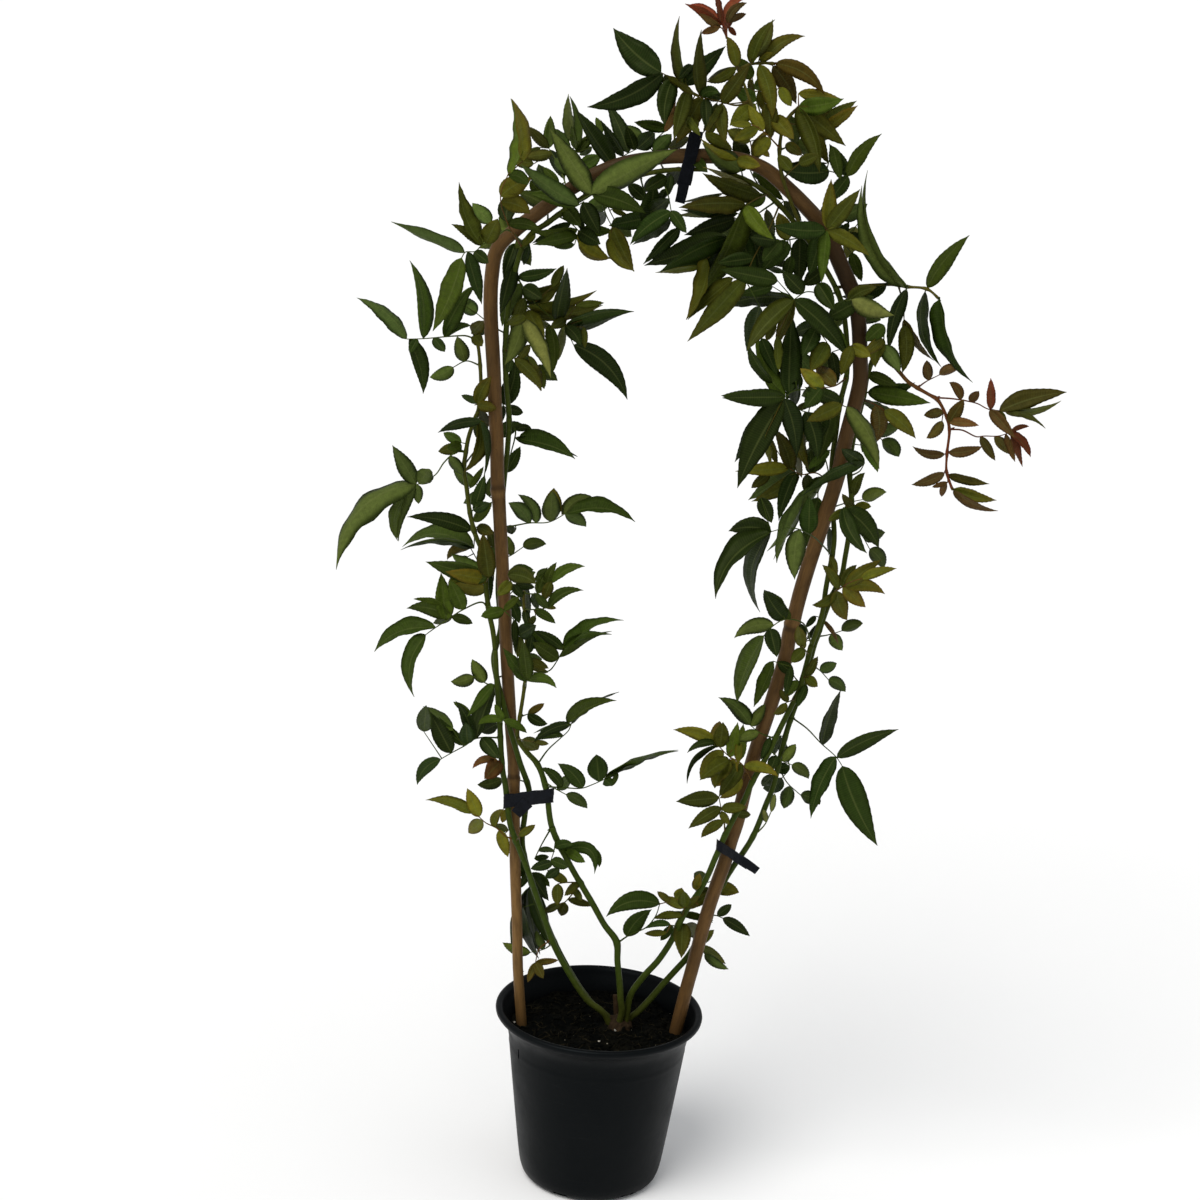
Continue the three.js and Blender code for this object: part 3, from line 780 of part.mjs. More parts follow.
// Squares in which a new piece meets what is there: of other nodes, and of its own
function clashes(samples, node, spray, rootSpan) {
  let others = 0;
  let own = 0;
  for (const [key, [near, far, s]] of cellsOf(samples)) {
    for (const [n2, f2, node2, spray2] of used.get(key) || []) {
      if (near > f2 || far < n2) continue;
      if (spray2 === spray && s < ROOT_SHARE) continue;
      if (node2 === node && spray2 < 0 && s < rootSpan) continue;
      if (node2 === node) own += 1;
      else others += 1;
    }
  }
  return [others, own];
}

function stemSamples(points, radii) {
  const out = [];
  for (let i = 0; i + 1 < points.length; i += 1) {
    const [ax, az, ay] = points[i];
    const [bx, bz, by] = points[i + 1];
    const length = span(bx - ax, bz - az, by - ay);
    const flat = span(bx - ax, bz - az) || 1;
    const steps = Math.max(1, Math.ceil(length / STEM_STEP));
    for (let k = 0; k <= steps; k += 1) {
      const s = k / steps;
      const r = radii[i] + (radii[i + 1] - radii[i]) * s;
      const y = ay + (by - ay) * s;
      for (const v of [-1, 0, 1]) {
        const x = ax + (bx - ax) * s - ((bz - az) / flat) * v * r;
        const z = az + (bz - az) * s + ((bx - ax) / flat) * v * r;
        out.push([x, z, y - r - STEM_CLEAR, y + r + STEM_CLEAR, (i + s) / (points.length - 1)]);
      }
    }
  }
  return out;
}

// Leaflets
// A leaflet from base to tip: bow lifts its axis to the left of that line, and roll turns it towards edge on
function leaflet(base, row, luck, dip) {
  const [, , tx, tz, seen, bow] = row;
  const [bx, bz, by] = base;
  const flat = span(tx - bx, tz - bz);
  const width = Math.max(seen / Math.cos(LEAST_ROLL), WIDTH_SHARE * span(flat, dip));
  const roll = Math.acos(Math.min(1, seen / width)) * (luck[1] < 0.5 ? -1 : 1);
  return { bx, bz, by, tx, tz, flat, dip, width, bow, roll };
}

// A point of the blade: s runs base to tip, v across from -1 to 1
function bladePoint(leaf, s, v, half) {
  const ux = (leaf.tx - leaf.bx) / leaf.flat;
  const uz = (leaf.tz - leaf.bz) / leaf.flat;
  const lift = leaf.bow * 4 * s * (1 - s);
  const slope = (leaf.bow * 4 * (1 - 2 * s)) / leaf.flat;
  const norm = span(1, slope);
  const nx = (-uz - ux * slope) / norm;
  const nz = (ux - uz * slope) / norm;
  const across = v * half * Math.cos(leaf.roll);
  const x = leaf.bx + ux * s * leaf.flat - uz * lift + nx * across;
  const z = leaf.bz + uz * s * leaf.flat + ux * lift + nz * across;
  return [x, z, leaf.by + leaf.dip * s + v * half * Math.sin(leaf.roll)];
}

const [FULLNESS, TO_BASE, TO_TIP] = BLADE_OUTLINE;
const bladeHalf = (leaf, s) => (leaf.width / 2) * (FULLNESS * s ** TO_BASE * (1 - s) ** TO_TIP);

function bladeSamples(leaf) {
  const out = [];
  const steps = Math.max(4, Math.ceil(span(leaf.flat, leaf.dip) / BLADE_STEP));
  for (let k = 0; k <= steps; k += 1) {
    const s = k / steps;
    for (const v of BLADE_COLUMNS) {
      const [x, z, y] = bladePoint(leaf, s, v, bladeHalf(leaf, s));
      out.push([x, z, y - BLADE_CLEAR, y + BLADE_CLEAR, s]);
    }
  }
  return out;
}

// The blade where it is broadest, as its left edge, its ridge and its right edge, and its tip
function bladeCorners(leaf) {
  const half = bladeHalf(leaf, BLADE_SECTION);
  const [left, middle, right] = [1, 0, -1].map((v) => place(bladePoint(leaf, BLADE_SECTION, v, half)));
  const along = place(bladePoint(leaf, BLADE_SECTION + AHEAD, 0, half)).sub(middle);
  const face = left.clone().sub(right).cross(along).normalize();
  const tip = place(bladePoint(leaf, 1, 0, 0));
  return { section: [left, middle.addScaledVector(face, LEAF_THICK), right], tip };
}

// A blade by itself, its root at a distance along its axis from the middle of the stalk
function bladeSolid(leaf, rootAt) {
  const { section, tip } = bladeCorners(leaf);
  const root = place(bladePoint(leaf, 0, 0, 0));
  root.addScaledVector(place(bladePoint(leaf, AHEAD, 0, 0)).sub(root).normalize(), rootAt);
  const faces = [0, 1, 2].flatMap((i) => {
    const j = (i + 1) % 3;
    return [[0, 1 + j, 1 + i], [1 + i, 1 + j, 4]];
  });
  return outward([root, ...section, tip], faces);
}

// Plant
// The point of a line that lies nearest to a place in the plane
function nearest(points, x, z) {
  let best = null;
  for (let i = 0; i + 1 < points.length; i += 1) {
    const [ax, az, ay] = points[i];
    const [bx, bz, by] = points[i + 1];
    const length = (bx - ax) ** 2 + (bz - az) ** 2 || 1;
    const s = Math.min(1, Math.max(0, ((x - ax) * (bx - ax) + (z - az) * (bz - az)) / length));
    const p = [ax + (bx - ax) * s, az + (bz - az) * s, ay + (by - ay) * s];
    const d = span(p[0] - x, p[1] - z);
    if (!best || d < best.d) best = { p, d };
  }
  return best.p;
}

// The points of a line that it needs to keep within STRAIGHT of its shape
function simpler(line) {
  const last = line.length - 1;
  const ends = [line[0], line[last]].map(([x, z]) => [x, z, 0]);
  let worst = 0;
  let at = 0;
  for (let i = 1; i < last; i += 1) {
    const foot = nearest(ends, line[i][0], line[i][1]);
    const off = span(foot[0] - line[i][0], foot[1] - line[i][1]);
    if (off > worst) [worst, at] = [off, i];
  }
  if (worst < STRAIGHT) return [line[0], line[last]];
  return [...simpler(line.slice(0, at + 1)), ...simpler(line.slice(at)).slice(1)];
}

// The leaf stalk leaves its cane at the cane's depth and eases towards its own
function stalkPath(spans, row, depth) {
  const root = nearest(spans, row[0][0], row[0][1]);
  const run = [0];
  const line = simpler([root, ...row.slice(1)]);
  for (let i = 1; i < line.length; i += 1) {
    run.push(run[i - 1] + span(line[i][0] - line[i - 1][0], line[i][1] - line[i - 1][1]));
  }
  const total = run[run.length - 1];
  return line.map(([x, z], i) => {
    const s = run[i] / total;
    return [x, z, root[2] + depth * s * (2 - s)];
  });
}

// Squares in which a blade meets an earlier blade of the same leaf, past the roots that they share
function meeting(samples, cells) {
  let count = 0;
  for (const [key, [near, far, s]] of cellsOf(samples)) {
    const c = cells.get(key);
    if (c && s > ROOT_SHARE && c[2] > ROOT_SHARE && near <= c[1] && far >= c[0]) count += 1;
  }
  return count;
}

// A whole leaf at a depth, its leaflets tilted to where they meet least, and what it still meets as a cost
function trySpray(spans, { row: [wanted, , stalk, leaves], lucks, node, id }, depth) {
  const path = stalkPath(spans, stalk, depth);
  const stalkLength = path.slice(1).reduce((t, p, i) => t + span(p[0] - path[i][0], p[1] - path[i][1]), 0);
  const stalkSamples = stemSamples(path, path.map(() => RACHIS_R));
  let [cost] = clashes(stalkSamples, node, id, Math.min(1, STALK_ROOT / stalkLength));
  const blades = [];
  const mine = [];
  leaves.forEach((row, i) => {
    const base = nearest(path, row[0], row[1]);
    const flat = span(row[2] - base[0], row[3] - base[1]);
    const free = LEAN_SHARE * wanted + (lucks[i][0] - 0.5) * TIP_SCATTER * flat;
    const least = Math.sqrt(Math.max(0, (row[4] / FULLEST) ** 2 - flat * flat));
    const lean = Math.max(Math.abs(free), least) * (free < 0 ? -1 : 1);
    let best = null;
    for (const shift of TIP_SHIFT) {
      const leaf = leaflet(base, row, lucks[i], lean + shift);
      const samples = bladeSamples(leaf);
      const [others, own] = clashes(samples, node, id, LEAF_ROOT);
      const near = mine.reduce((t, cells) => t + meeting(samples, cells), 0);
      const score = others * OTHER_NODE_COST + own + near;
      if (!best || score < best.score) best = { score, others, leaf, samples };
      if (score === 0) break;
    }
    if (best.others > 0) cost += LOST_LEAFLET_COST;
    else {
      blades.push(best);
      mine.push(cellsOf(best.samples));
      cost += best.score * OWN_NODE_COST;
    }
  });
  return { cost, path, stalkSamples, blades };
}

// A leaf in one closed body: a three-sided stalk whose side faces are drawn out into leaflets
const normalOf = (loop) => loop.reduce(
  (t, p, i) => t.add(p.clone().cross(loop[(i + 1) % loop.length])),
  new THREE.Vector3(),
).normalize();

// Triangles that join a loop to the next loop out, by the set of edges between them with the least twist
function bridge(inner, outer, at) {
  const middle = (loop) => loop.reduce((t, p) => t.add(at[p]), new THREE.Vector3()).divideScalar(loop.length);
  const axis = middle(outer).sub(middle(inner)).normalize();
  const bearing = new Map([inner, outer].flatMap((loop) => loop.map((p) => (
    [p, at[p].clone().sub(middle(loop)).projectOnPlane(axis).normalize()]))));
  const twist = (p, q) => bearing.get(p).distanceTo(bearing.get(q)) ** 2;
  let best = null;
  const walk = (start, i, j, total, faces) => {
    if (best && total >= best.total) return;
    if (i === inner.length && j === outer.length) {
      if (new Set(faces.map(([p, , q]) => `${p},${q}`)).size === faces.length) best = { total, faces };
      return;
    }
    const p = inner[i % inner.length];
    const q = outer[(j + start) % outer.length];
    if (i < inner.length) {
      const next = inner[(i + 1) % inner.length];
      walk(start, i + 1, j, total + twist(next, q), [...faces, [p, next, q]]);
    }
    if (j < outer.length) {
      const next = outer[(j + start + 1) % outer.length];
      walk(start, i, j + 1, total + twist(p, next), [...faces, [p, next, q]]);
    }
  };
  outer.forEach((_, start) => walk(start, 0, 0, 0, []));
  return best.faces;
}

// Which of a body's own parts cross: for the first two faces that do, the later part, or null
function firstCrossing(points, faces, owner) {
  const ray = new THREE.Ray();
  const at = new THREE.Vector3();
  const pierces = (f, g) => f.some((a, i) => {
    const b = f[(i + 1) % 3];
    ray.set(points[a], points[b].clone().sub(points[a]).normalize());
    return ray.intersectTriangle(...g.map((v) => points[v]), false, at)
      && at.distanceTo(points[a]) < points[b].distanceTo(points[a]);
  });
  for (let i = 0; i < faces.length; i += 1) {
    for (let j = i + 1; j < faces.length; j += 1) {
      const apart = owner[i] !== owner[j] && !faces[i].some((v) => faces[j].includes(v));
      if (apart && (pierces(faces[i], faces[j]) || pierces(faces[j], faces[i]))) return owner[j] || owner[i];
    }
  }
  return null;
}

// Leaflets that would cross are set apart, and joined to the body afterwards
function sprayBody(path, blades, left = []) {
  const run = [0];
  for (let i = 1; i < path.length; i += 1) {
    run.push(run[i - 1] + span(...path[i].map((v, k) => v - path[i - 1][k])));
  }
  const total = run[run.length - 1];
  const at = (t) => {
    const past = run.findIndex((r) => r >= t);
    const i = past < 0 ? path.length - 1 : Math.max(1, past);
    const s = (t - run[i - 1]) / (run[i] - run[i - 1]);
    return path[i].map((v, k) => path[i - 1][k] + (v - path[i - 1][k]) * s);
  };
  const tangent = (t) => place(at(t + 0.5)).sub(place(at(t - 0.5))).normalize();
  const placed = blades.map(({ leaf }) => {
    let t = 0;
    let least = Infinity;
    for (let k = 0; k <= STALK_STEPS; k += 1) {
      const here = (total * k) / STALK_STEPS;
      const [x, z] = at(here);
      const d = span(x - leaf.bx, z - leaf.bz);
      if (d < least) [least, t] = [d, here];
    }
    const axis = bladeCorners(leaf).tip.sub(place(at(t))).normalize();
    return { leaf, t, axis, ahead: axis.dot(tangent(t)) };
  }).sort((a, b) => a.t - b.t);
  const last = placed.filter(({ t }) => t > total - STATION).sort((a, b) => b.ahead - a.ahead)[0];
  const end = last && last.ahead > END_AHEAD && !left.includes(last.leaf) ? last : null;
  const apex = placed.reduce((t, { leaf }) => t + leaf.dip, 0) > 0 ? -1 : 1;

  const built = end ? [bladeSolid(end.leaf, 2 * RACHIS_R)] : [];
  const apart = [];
  const stations = [];
  for (const item of placed.filter((p) => p !== end)) {
    const t = Math.min(Math.max(item.t, STATION), total - STATION / 2 - STATION_CLEAR);
    const along = tangent(t);
    const right = along.clone().cross(new THREE.Vector3(0, -1, 0)).normalize();
    const front = right.clone().cross(along);
    const hand = item.axis.dot(right) < 0 ? -1 : 1;
    const side = hand * apex < 0 ? 0 : 1;
    const out = right.clone().multiplyScalar(hand * Math.cos(Math.PI / 6)).addScaledVector(front, apex / 2);
    const alone = bladeSolid(item.leaf, 2 * RACHIS_R);
    const near = stations.filter((s) => Math.abs(s.t - t) < STATION);
    const home = near.length ? near[0] : { t, sides: [null, null] };
    const free = !left.includes(item.leaf) && near.length < 2 && !home.sides[side];
    const leans = out.dot(item.axis) > LEAST_OUT && Math.abs(item.ahead) < MOST_ALONG;
    const fits = free && leans && t > STATION / 2 + STATION_CLEAR;
    if (!fits || built.some((b) => !b.intersect(alone).isEmpty())) apart.push(item.leaf);
    else {
      if (!near.length) stations.push(home);
      home.sides[side] = item.leaf;
      built.push(alone);
    }
  }
  stations.sort((a, b) => a.t - b.t);

  const stops = [{ t: 0 }];
  for (const s of stations) stops.push({ t: s.t - STATION / 2, sides: s.sides }, { t: s.t + STATION / 2 });
  run.slice(1, -1).forEach((t) => {
    if (stations.every((s) => Math.abs(s.t - t) > STATION / 2 + STATION_CLEAR)) stops.push({ t });
  });
  stops.push({ t: total });
  stops.sort((a, b) => a.t - b.t);
  const points = [];
  const faces = [[0, 2, 1]];
  const owner = [null];
  const grow = (loop, leaf) => {
    const { section, tip } = bladeCorners(leaf);
    const ahead = normalOf(section).dot(tip.clone().sub(points[loop[0]])) > 0;
    const first = points.length;
    const edge = [first, first + 1, first + 2];
    points.push(...(ahead ? section : [...section].reverse()), tip);
    faces.push(...bridge(loop, edge, points));
    edge.forEach((p, i) => faces.push([p, edge[(i + 1) % edge.length], points.length - 1]));
    while (owner.length < faces.length) owner.push(leaf);
  };
  const rings = stops.map(({ t }) => {
    const along = tangent(t);
    const right = along.clone().cross(new THREE.Vector3(0, -1, 0)).normalize().multiplyScalar(RACHIS_R);
    const ridge = right.clone().cross(along).multiplyScalar(apex);
    const middle = place(at(t));
    const corner = (hand) => middle.clone().addScaledVector(right, hand * apex * Math.cos(Math.PI / 6))
      .addScaledVector(ridge, -0.5);
    const ring = [corner(-1), middle.clone().add(ridge), corner(1)];
    const first = points.length;
    points.push(...ring);
    return [first, first + 1, first + 2];
  });
  for (let k = 0; k + 1 < rings.length; k += 1) {
    for (let i = 0; i < 3; i += 1) {
      const [a, b] = [rings[k][i], rings[k][(i + 1) % 3]];
      const [c, d] = [rings[k + 1][(i + 1) % 3], rings[k + 1][i]];
      const leaf = stops[k].sides && stops[k].sides[i];
      if (leaf) grow([a, b, c, d], leaf);
      else {
        faces.push([a, b, c], [a, c, d]);
        owner.push(null, null);
      }
    }
  }
  const top = rings[rings.length - 1];
  if (end) grow(top, end.leaf);
  else faces.push(top);
  const crossed = firstCrossing(points, faces, owner);
  if (crossed) return sprayBody(path, blades, [...left, crossed]);
  return [solid(points, faces), ...apart.map((leaf) => bladeSolid(leaf, -RACHIS_R))];
}

// Pot, compost, hoop, ties and crown
// A body turned from a profile of [radius, z] that starts and ends on the axis
function turned(profile, sides) {
  const geometry = new THREE.LatheGeometry(profile.map(([r, z]) => new THREE.Vector2(r, z)), sides);
  return fromGeometry(geometry.rotateX(Math.PI / 2));
}

// A box that stands across the ray at an angle round the axis, its middle at a radius along it
const box = ([deep, wide, high], radius, z, turn) => fromGeometry(
  new THREE.BoxGeometry(deep, wide, high).translate(radius, 0, z).rotateZ(turn),
);

const POT_SIDE = [POT_CORNER, ...POT_WALL_ENDS, ...POT_FLARE, [POT_RIM_R, POT_HEIGHT - RIM_DEEP]];

// The radius of the pot's outside at a height, between two points of its outline
function outerR(z) {
  const above = Math.max(1, POT_SIDE.findIndex((p) => p[1] >= z));
  const [[r0, z0], [r1, z1]] = [POT_SIDE[above - 1], POT_SIDE[above]];
  return r0 + ((r1 - r0) * (z - z0)) / (z1 - z0);
}
const innerR = (z) => outerR(z) - POT_WALL;

function makePot() {
  const lip = POT_HEIGHT - RIM_ROLL;
  const outside = [[0, 0], [POT_BASE_R, 0], ...POT_SIDE];
  const rim = [[POT_RIM_R, lip], [POT_RIM_R - RIM_ROLL, POT_HEIGHT], [POT_RIM_R - 2 * RIM_ROLL, lip]];
  const inside = [...POT_WALL_ENDS, ...POT_FLARE].reverse().map(([, z]) => [innerR(z), z]);
  const floor = [[POT_BASE_R + POT_WALL, POT_BASE_THICK], [0, POT_BASE_THICK]];
  let pot = turned([...outside, ...rim, ...inside, ...floor], POT_SIDES);
  for (let i = 0; i < DRAIN_COUNT; i += 1) {
    const a = ((i + 0.5) * 2 * Math.PI) / DRAIN_COUNT;
    const hole = new THREE.CylinderGeometry(DRAIN_R, DRAIN_R, 3 * POT_BASE_THICK, DRAIN_SIDES);
    hole.rotateX(Math.PI / 2).translate(DRAIN_RING_R * Math.cos(a), DRAIN_RING_R * Math.sin(a), 0);
    pot = pot.subtract(fromGeometry(hole));
  }
  const [wide, deep, high] = FOOT_NOTCH;
  for (let i = 0; i < FOOT_NOTCHES; i += 1) {
    const turn = ((i + NOTCH_TURN) * 2 * Math.PI) / FOOT_NOTCHES;
    pot = pot.subtract(box([deep, wide, 2 * high], POT_BASE_R + 1 + deep / 2, 0, turn));
  }
  const [slitWide, slitHigh] = WALL_SLIT;
  return pot.subtract(box([10 * POT_WALL, slitWide, slitHigh], innerR(SLIT_Z), SLIT_Z, SLIT_TURN));
}

// The crown's body grown all round by an amount, and its top drawn up by another
function crownBody(grow, rise = 0) {
  const { x, y, r, bottom, widest, outline } = CROWN;
  const side = outline.map(([out, up]) => (
    [r + out + grow, bottom + up + (up < widest ? -grow : grow) + (up > widest ? rise : 0)]));
  const profile = [[0, side[0][1]], ...side, [0, side[side.length - 1][1]]];
  return turned(profile, CROWN_SIDES).translate([x, y, 0]);
}

function caneSolid(name, grow, first, last, open) {
  const cane = CANES[name];
  return stem(cane.map(place), cane.map((p) => p[3] + grow), CANE_SIDES, first, last, open);
}

const MAIN_CANES = ['middle', 'leftFront', 'leftBack', 'rightFront', 'rightBack'];
const mainStretches = NODES.map(([, , own]) => own).filter(([cane]) => MAIN_CANES.includes(cane));
const cutCanes = (body) => mainStretches.reduce((rest, [cane, first, last]) => (
  rest.subtract(caneSolid(cane, SEAT_GAP, first, last, 0))), body);
const stubSolid = (grow) => stem(STUB.map(place), STUB.map(() => STUB_R + grow), CANE_SIDES);

function makeCrown() {
  const knob = crownBody(0).add(stubSolid(0)).translate([0, 0, SEAT_GAP]);
  return cutCanes(cutCanes(knob).translate([0, 0, -SEAT_GAP]));
}

const hoopSpine = HOOP.map(([x, z]) => place([x, z, 0]));
const hoopSolid = (grow) => stem(hoopSpine, HOOP.map((p) => p[2] + grow), HOOP_SIDES);

function makeCompost() {
  const ring = (r, z, rough) => Array.from({ length: POT_SIDES }, (_, i) => {
    const a = (i * 2 * Math.PI) / POT_SIDES;
    return new THREE.Vector3(r * Math.cos(a), r * Math.sin(a), z + (draw() - 0.5) * rough);
  });
  const edge = innerR(POT_FLARE[0][1]) - SEAT_GAP;
  const rings = [ring(POT_BASE_R + POT_WALL - SEAT_GAP, POT_BASE_THICK + SEAT_GAP, 0)];
  for (const [, z] of POT_WALL_ENDS) rings.push(ring(innerR(z) - SEAT_GAP, z + SEAT_GAP, 0));
  rings.push(ring(edge, SOIL_EDGE_Z, 0));
  for (const share of SOIL_RINGS) {
    rings.push(ring(edge * share, SOIL_EDGE_Z + SOIL_RISE * (1 - share * share), SOIL_ROUGH));
  }
  let compost = skin(rings).subtract(crownBody(SEAT_GAP, CROWN_HOLE_RISE));
  for (const end of [HOOP.slice(0, HOOP_BURIED), HOOP.slice(-HOOP_BURIED)]) {
    const hole = stem(end.map(([x, z]) => place([x, z, 0])), end.map((p) => p[2] + SEAT_GAP), HOOP_SIDES);
    compost = compost.subtract(hole).subtract(hole.translate([0, 0, -END_GAP]));
  }
  return cutCanes(compost.subtract(stubSolid(SEAT_GAP)));
}

// The outline of a band drawn tight round some circles of [x, y, r], all grown by the same amount
function bandOutline(circles, grow) {
  const points = circles.flatMap(([x, y, r]) => Array.from({ length: BAND_SIDES }, (_, i) => {
    const a = (i * 2 * Math.PI) / BAND_SIDES;
    return [x + (r + grow) * Math.cos(a), y + (r + grow) * Math.sin(a)];
  })).sort((a, b) => a[0] - b[0] || a[1] - b[1]);
  const half = (list) => {
    const hull = [];
    for (const p of list) {
      while (hull.length > 1) {
        const [a, b] = hull.slice(-2);
        if ((b[0] - a[0]) * (p[1] - a[1]) - (b[1] - a[1]) * (p[0] - a[0]) > 1e-6) break;
        hull.pop();
      }
      hull.push(p);
    }
    return hull.slice(0, -1);
  };
  return [...half(points), ...half([...points].reverse())];
}

// Two bands lie level round the bamboo and its canes, and one stands on edge round the arch. Each goes round
// circles of [place along it, depth, radius]. Its middle line runs at middle, and tail is its loose end.
const TIES = {
  tie_left: {
    level: true,
    width: 13.5,
    circles: [[-88, 0, 5.3], [-94, -12, 2.7], [-77, 1, 2.7], [-57.6, -16, 3.7]],
    middle: (x) => 363.5 + 0.2 * (x + 97),
    tail: [[-76, 364, -18.7], [-81, 358, -18.4], [-86, 352, -17.9]],
  },
  tie_right: {
    level: true,
    width: 10,
    circles: [[100, -12, 2.8], [107, 0, 6.3], [121, 6, 2.8]],
    middle: (x) => 335 - 0.6 * (x - 97),
    tail: [[118, 323, 1.6], [126, 318, -1], [135, 312, -2]],
  },
  tie_top: {
    level: false,
    width: 11,
    circles: [[951.5, 0, 6.4], [939.6, 0, 2.2], [969.4, 0, 0.8], [928, 0, 0.8]],
    middle: (z) => 27 + (z - 926) * 0.17,
    tail: [[27, 928, -1], [26, 919, -2.6], [24.5, 911, -2]],
  },
};

function strap(points, width, thick) {
  const spine = points.map(place);
  const rings = spine.map((p, i) => {
    const t = spine[Math.min(i + 1, spine.length - 1)].clone().sub(spine[Math.max(i - 1, 0)]).normalize();
    const side = new THREE.Vector3(0, 1, 0).cross(t).normalize().multiplyScalar(width / 2);
    const out = t.clone().cross(side).normalize().multiplyScalar(thick / 2);
    return [[1, 1], [-1, 1], [-1, -1], [1, -1]].map(([a, b]) => p.clone().addScaledVector(side, a)
      .addScaledVector(out, b));
  });
  return skin(rings);
}

function makeTie({ level, width, circles, middle, tail }) {
  const band = (grow, half) => skin([-half, half].map((t) => bandOutline(circles, grow).map(([a, y]) => (
    place(level ? [a, middle(a) + t, y] : [middle(a) + t, a, y])))));
  const tie = band(TAPE_CLEAR + TAPE, width / 2).subtract(band(TAPE_CLEAR, width))
    .add(strap(tail, width * TAIL_SHARE, TAPE)).subtract(hoopSolid(SEAT_GAP));
  return largest(cutCanes(tie));
}

// Putting it together
const part = new THREE.Group();

function add(name, body, look) {
  const { vertProperties, triVerts } = body.getMesh();
  const geometry = new THREE.BufferGeometry();
  geometry.setAttribute('position', new THREE.BufferAttribute(Float32Array.from(vertProperties), 3));
  geometry.setIndex(new THREE.BufferAttribute(Uint32Array.from(triVerts), 1));
  geometry.computeVertexNormals();
  const [color, roughness] = LOOKS[look];
  const mesh = new THREE.Mesh(geometry, new THREE.MeshStandardMaterial({ color, roughness, metalness: 0 }));
  mesh.name = name;
  part.add(mesh);
}

const compost = makeCompost();
add('pot', makePot(), 'pot');
add('compost', compost, 'compost');
add('bamboo_hoop', hoopSolid(0), 'bamboo');
add('crown', makeCrown(), 'crown');
for (const [name, tie] of Object.entries(TIES)) add(name, makeTie(tie), 'tie');

function tieSamples({ level, width, circles, middle, tail }) {
  const [above, beside, before] = TIE_MARGIN;
  const low = Math.min(...circles.map(([a, , r]) => a - r)) - beside;
  const high = Math.max(...circles.map(([a, , r]) => a + r)) + beside;
  const near = Math.min(...circles.map(([, y, r]) => y - r)) - before;
  const far = Math.max(...circles.map(([, y, r]) => y + r)) + before;
  const out = [];
  for (let a = low; a <= high; a += STEM_STEP) {
    for (let t = -width / 2 - above; t <= width / 2 + above; t += STEM_STEP) {
      out.push(level ? [a, middle(a) + t, near, far, 1] : [middle(a) + t, a, near, far, 1]);
    }
  }
  return out.concat(stemSamples(tail, tail.map(() => width / 2)));
}

// A node's own stretch of cane, and the part of it in which leaf stalks may root
const stretchOf = ([cane, first, last]) => CANES[cane].slice(first, last + 1);
function rootsOf(own) {
  const points = stretchOf(own);
  const inset = (a, b) => {
    const share = Math.min(0.5, ROOT_INSET / span(a[0] - b[0], a[1] - b[1]));
    return a.map((v, k) => v + (b[k] - v) * share);
  };
  const [last, before] = [points[points.length - 1], points[points.length - 2]];
  return [inset(points[0], points[1]), ...points.slice(1, -1), inset(last, before)];
}

// What is there before the leaves: the hoop, the stub, the ties and every cane
const FIXED = -1;
occupy(stemSamples(HOOP.map(([x, z]) => [x, z, 0]), HOOP.map((p) => p[2])), FIXED, FIXED);
occupy(stemSamples(STUB, STUB.map(() => STUB_R)), FIXED, FIXED);
for (const tie of Object.values(TIES)) occupy(tieSamples(tie), FIXED, FIXED);
NODES.forEach(([, , own], node) => {
  const points = stretchOf(own);
  occupy(stemSamples(points, points.map((p) => p[3])), node, FIXED);
});

// Leaves are placed one by one, those that fill in behind last, each at the depth where it meets least
const sprays = NODES.flatMap(([, , , rows], node) => rows.map((row) => (
  { node, row, lucks: row[3].map(() => [draw(), draw()]) })));
sprays.forEach((spray, id) => { spray.id = id; });
const grown = NODES.map(() => []);
const isFiller = (spray) => spray.row[0] >= FILLER;
for (const spray of [...sprays.filter((s) => !isFiller(s)), ...sprays.filter(isFiller)]) {
  const { node, row, id } = spray;
  let best = null;
  for (const step of STEP_BACK) {
    const tried = trySpray(rootsOf(NODES[node][2]), spray, row[0] * DEPTH_SHARE + step);
    if (!best || tried.cost < best.cost) best = tried;
    if (best.cost === 0) break;
  }
  occupy(best.stalkSamples, node, id);
  for (const blade of best.blades) occupy(blade.samples, node, id);
  grown[node].push(best);
}

NODES.forEach(([name, slot, [cane, first, last]], node) => {
  const pieces = [caneSolid(cane, 0, first, last, SECTION_GAP)];
  for (const { path, blades } of grown[node]) pieces.push(...sprayBody(path, blades));
  add(name, largest(join(pieces)), slot);
});

export default part;
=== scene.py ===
"""Looks for a potted yellow banksia rose, out of flower, trained round a bamboo hoop.

Lengths are millimetres in the tables and in the growing rules, and metres once they reach a mesh.
Plant points are [x, z] in the hoop's plane. A point at depth y stays on the line from the eye through
its place in that plane, as in the solids that the pieces here replace.
"""
import math
import random

import bpy
import numpy as np
from mathutils import Matrix, Vector, noise


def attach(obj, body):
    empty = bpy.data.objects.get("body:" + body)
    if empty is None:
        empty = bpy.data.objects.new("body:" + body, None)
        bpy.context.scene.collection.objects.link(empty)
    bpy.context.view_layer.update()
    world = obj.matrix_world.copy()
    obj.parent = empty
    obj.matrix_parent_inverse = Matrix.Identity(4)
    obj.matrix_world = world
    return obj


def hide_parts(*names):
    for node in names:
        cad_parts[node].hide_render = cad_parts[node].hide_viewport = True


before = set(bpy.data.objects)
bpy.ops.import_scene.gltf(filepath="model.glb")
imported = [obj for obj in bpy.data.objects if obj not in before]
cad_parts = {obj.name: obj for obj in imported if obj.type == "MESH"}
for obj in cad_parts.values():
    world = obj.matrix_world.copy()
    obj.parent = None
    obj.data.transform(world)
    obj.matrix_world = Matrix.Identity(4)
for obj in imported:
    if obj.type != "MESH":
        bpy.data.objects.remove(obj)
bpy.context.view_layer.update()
MM = 0.001
TURN = 2 * math.pi

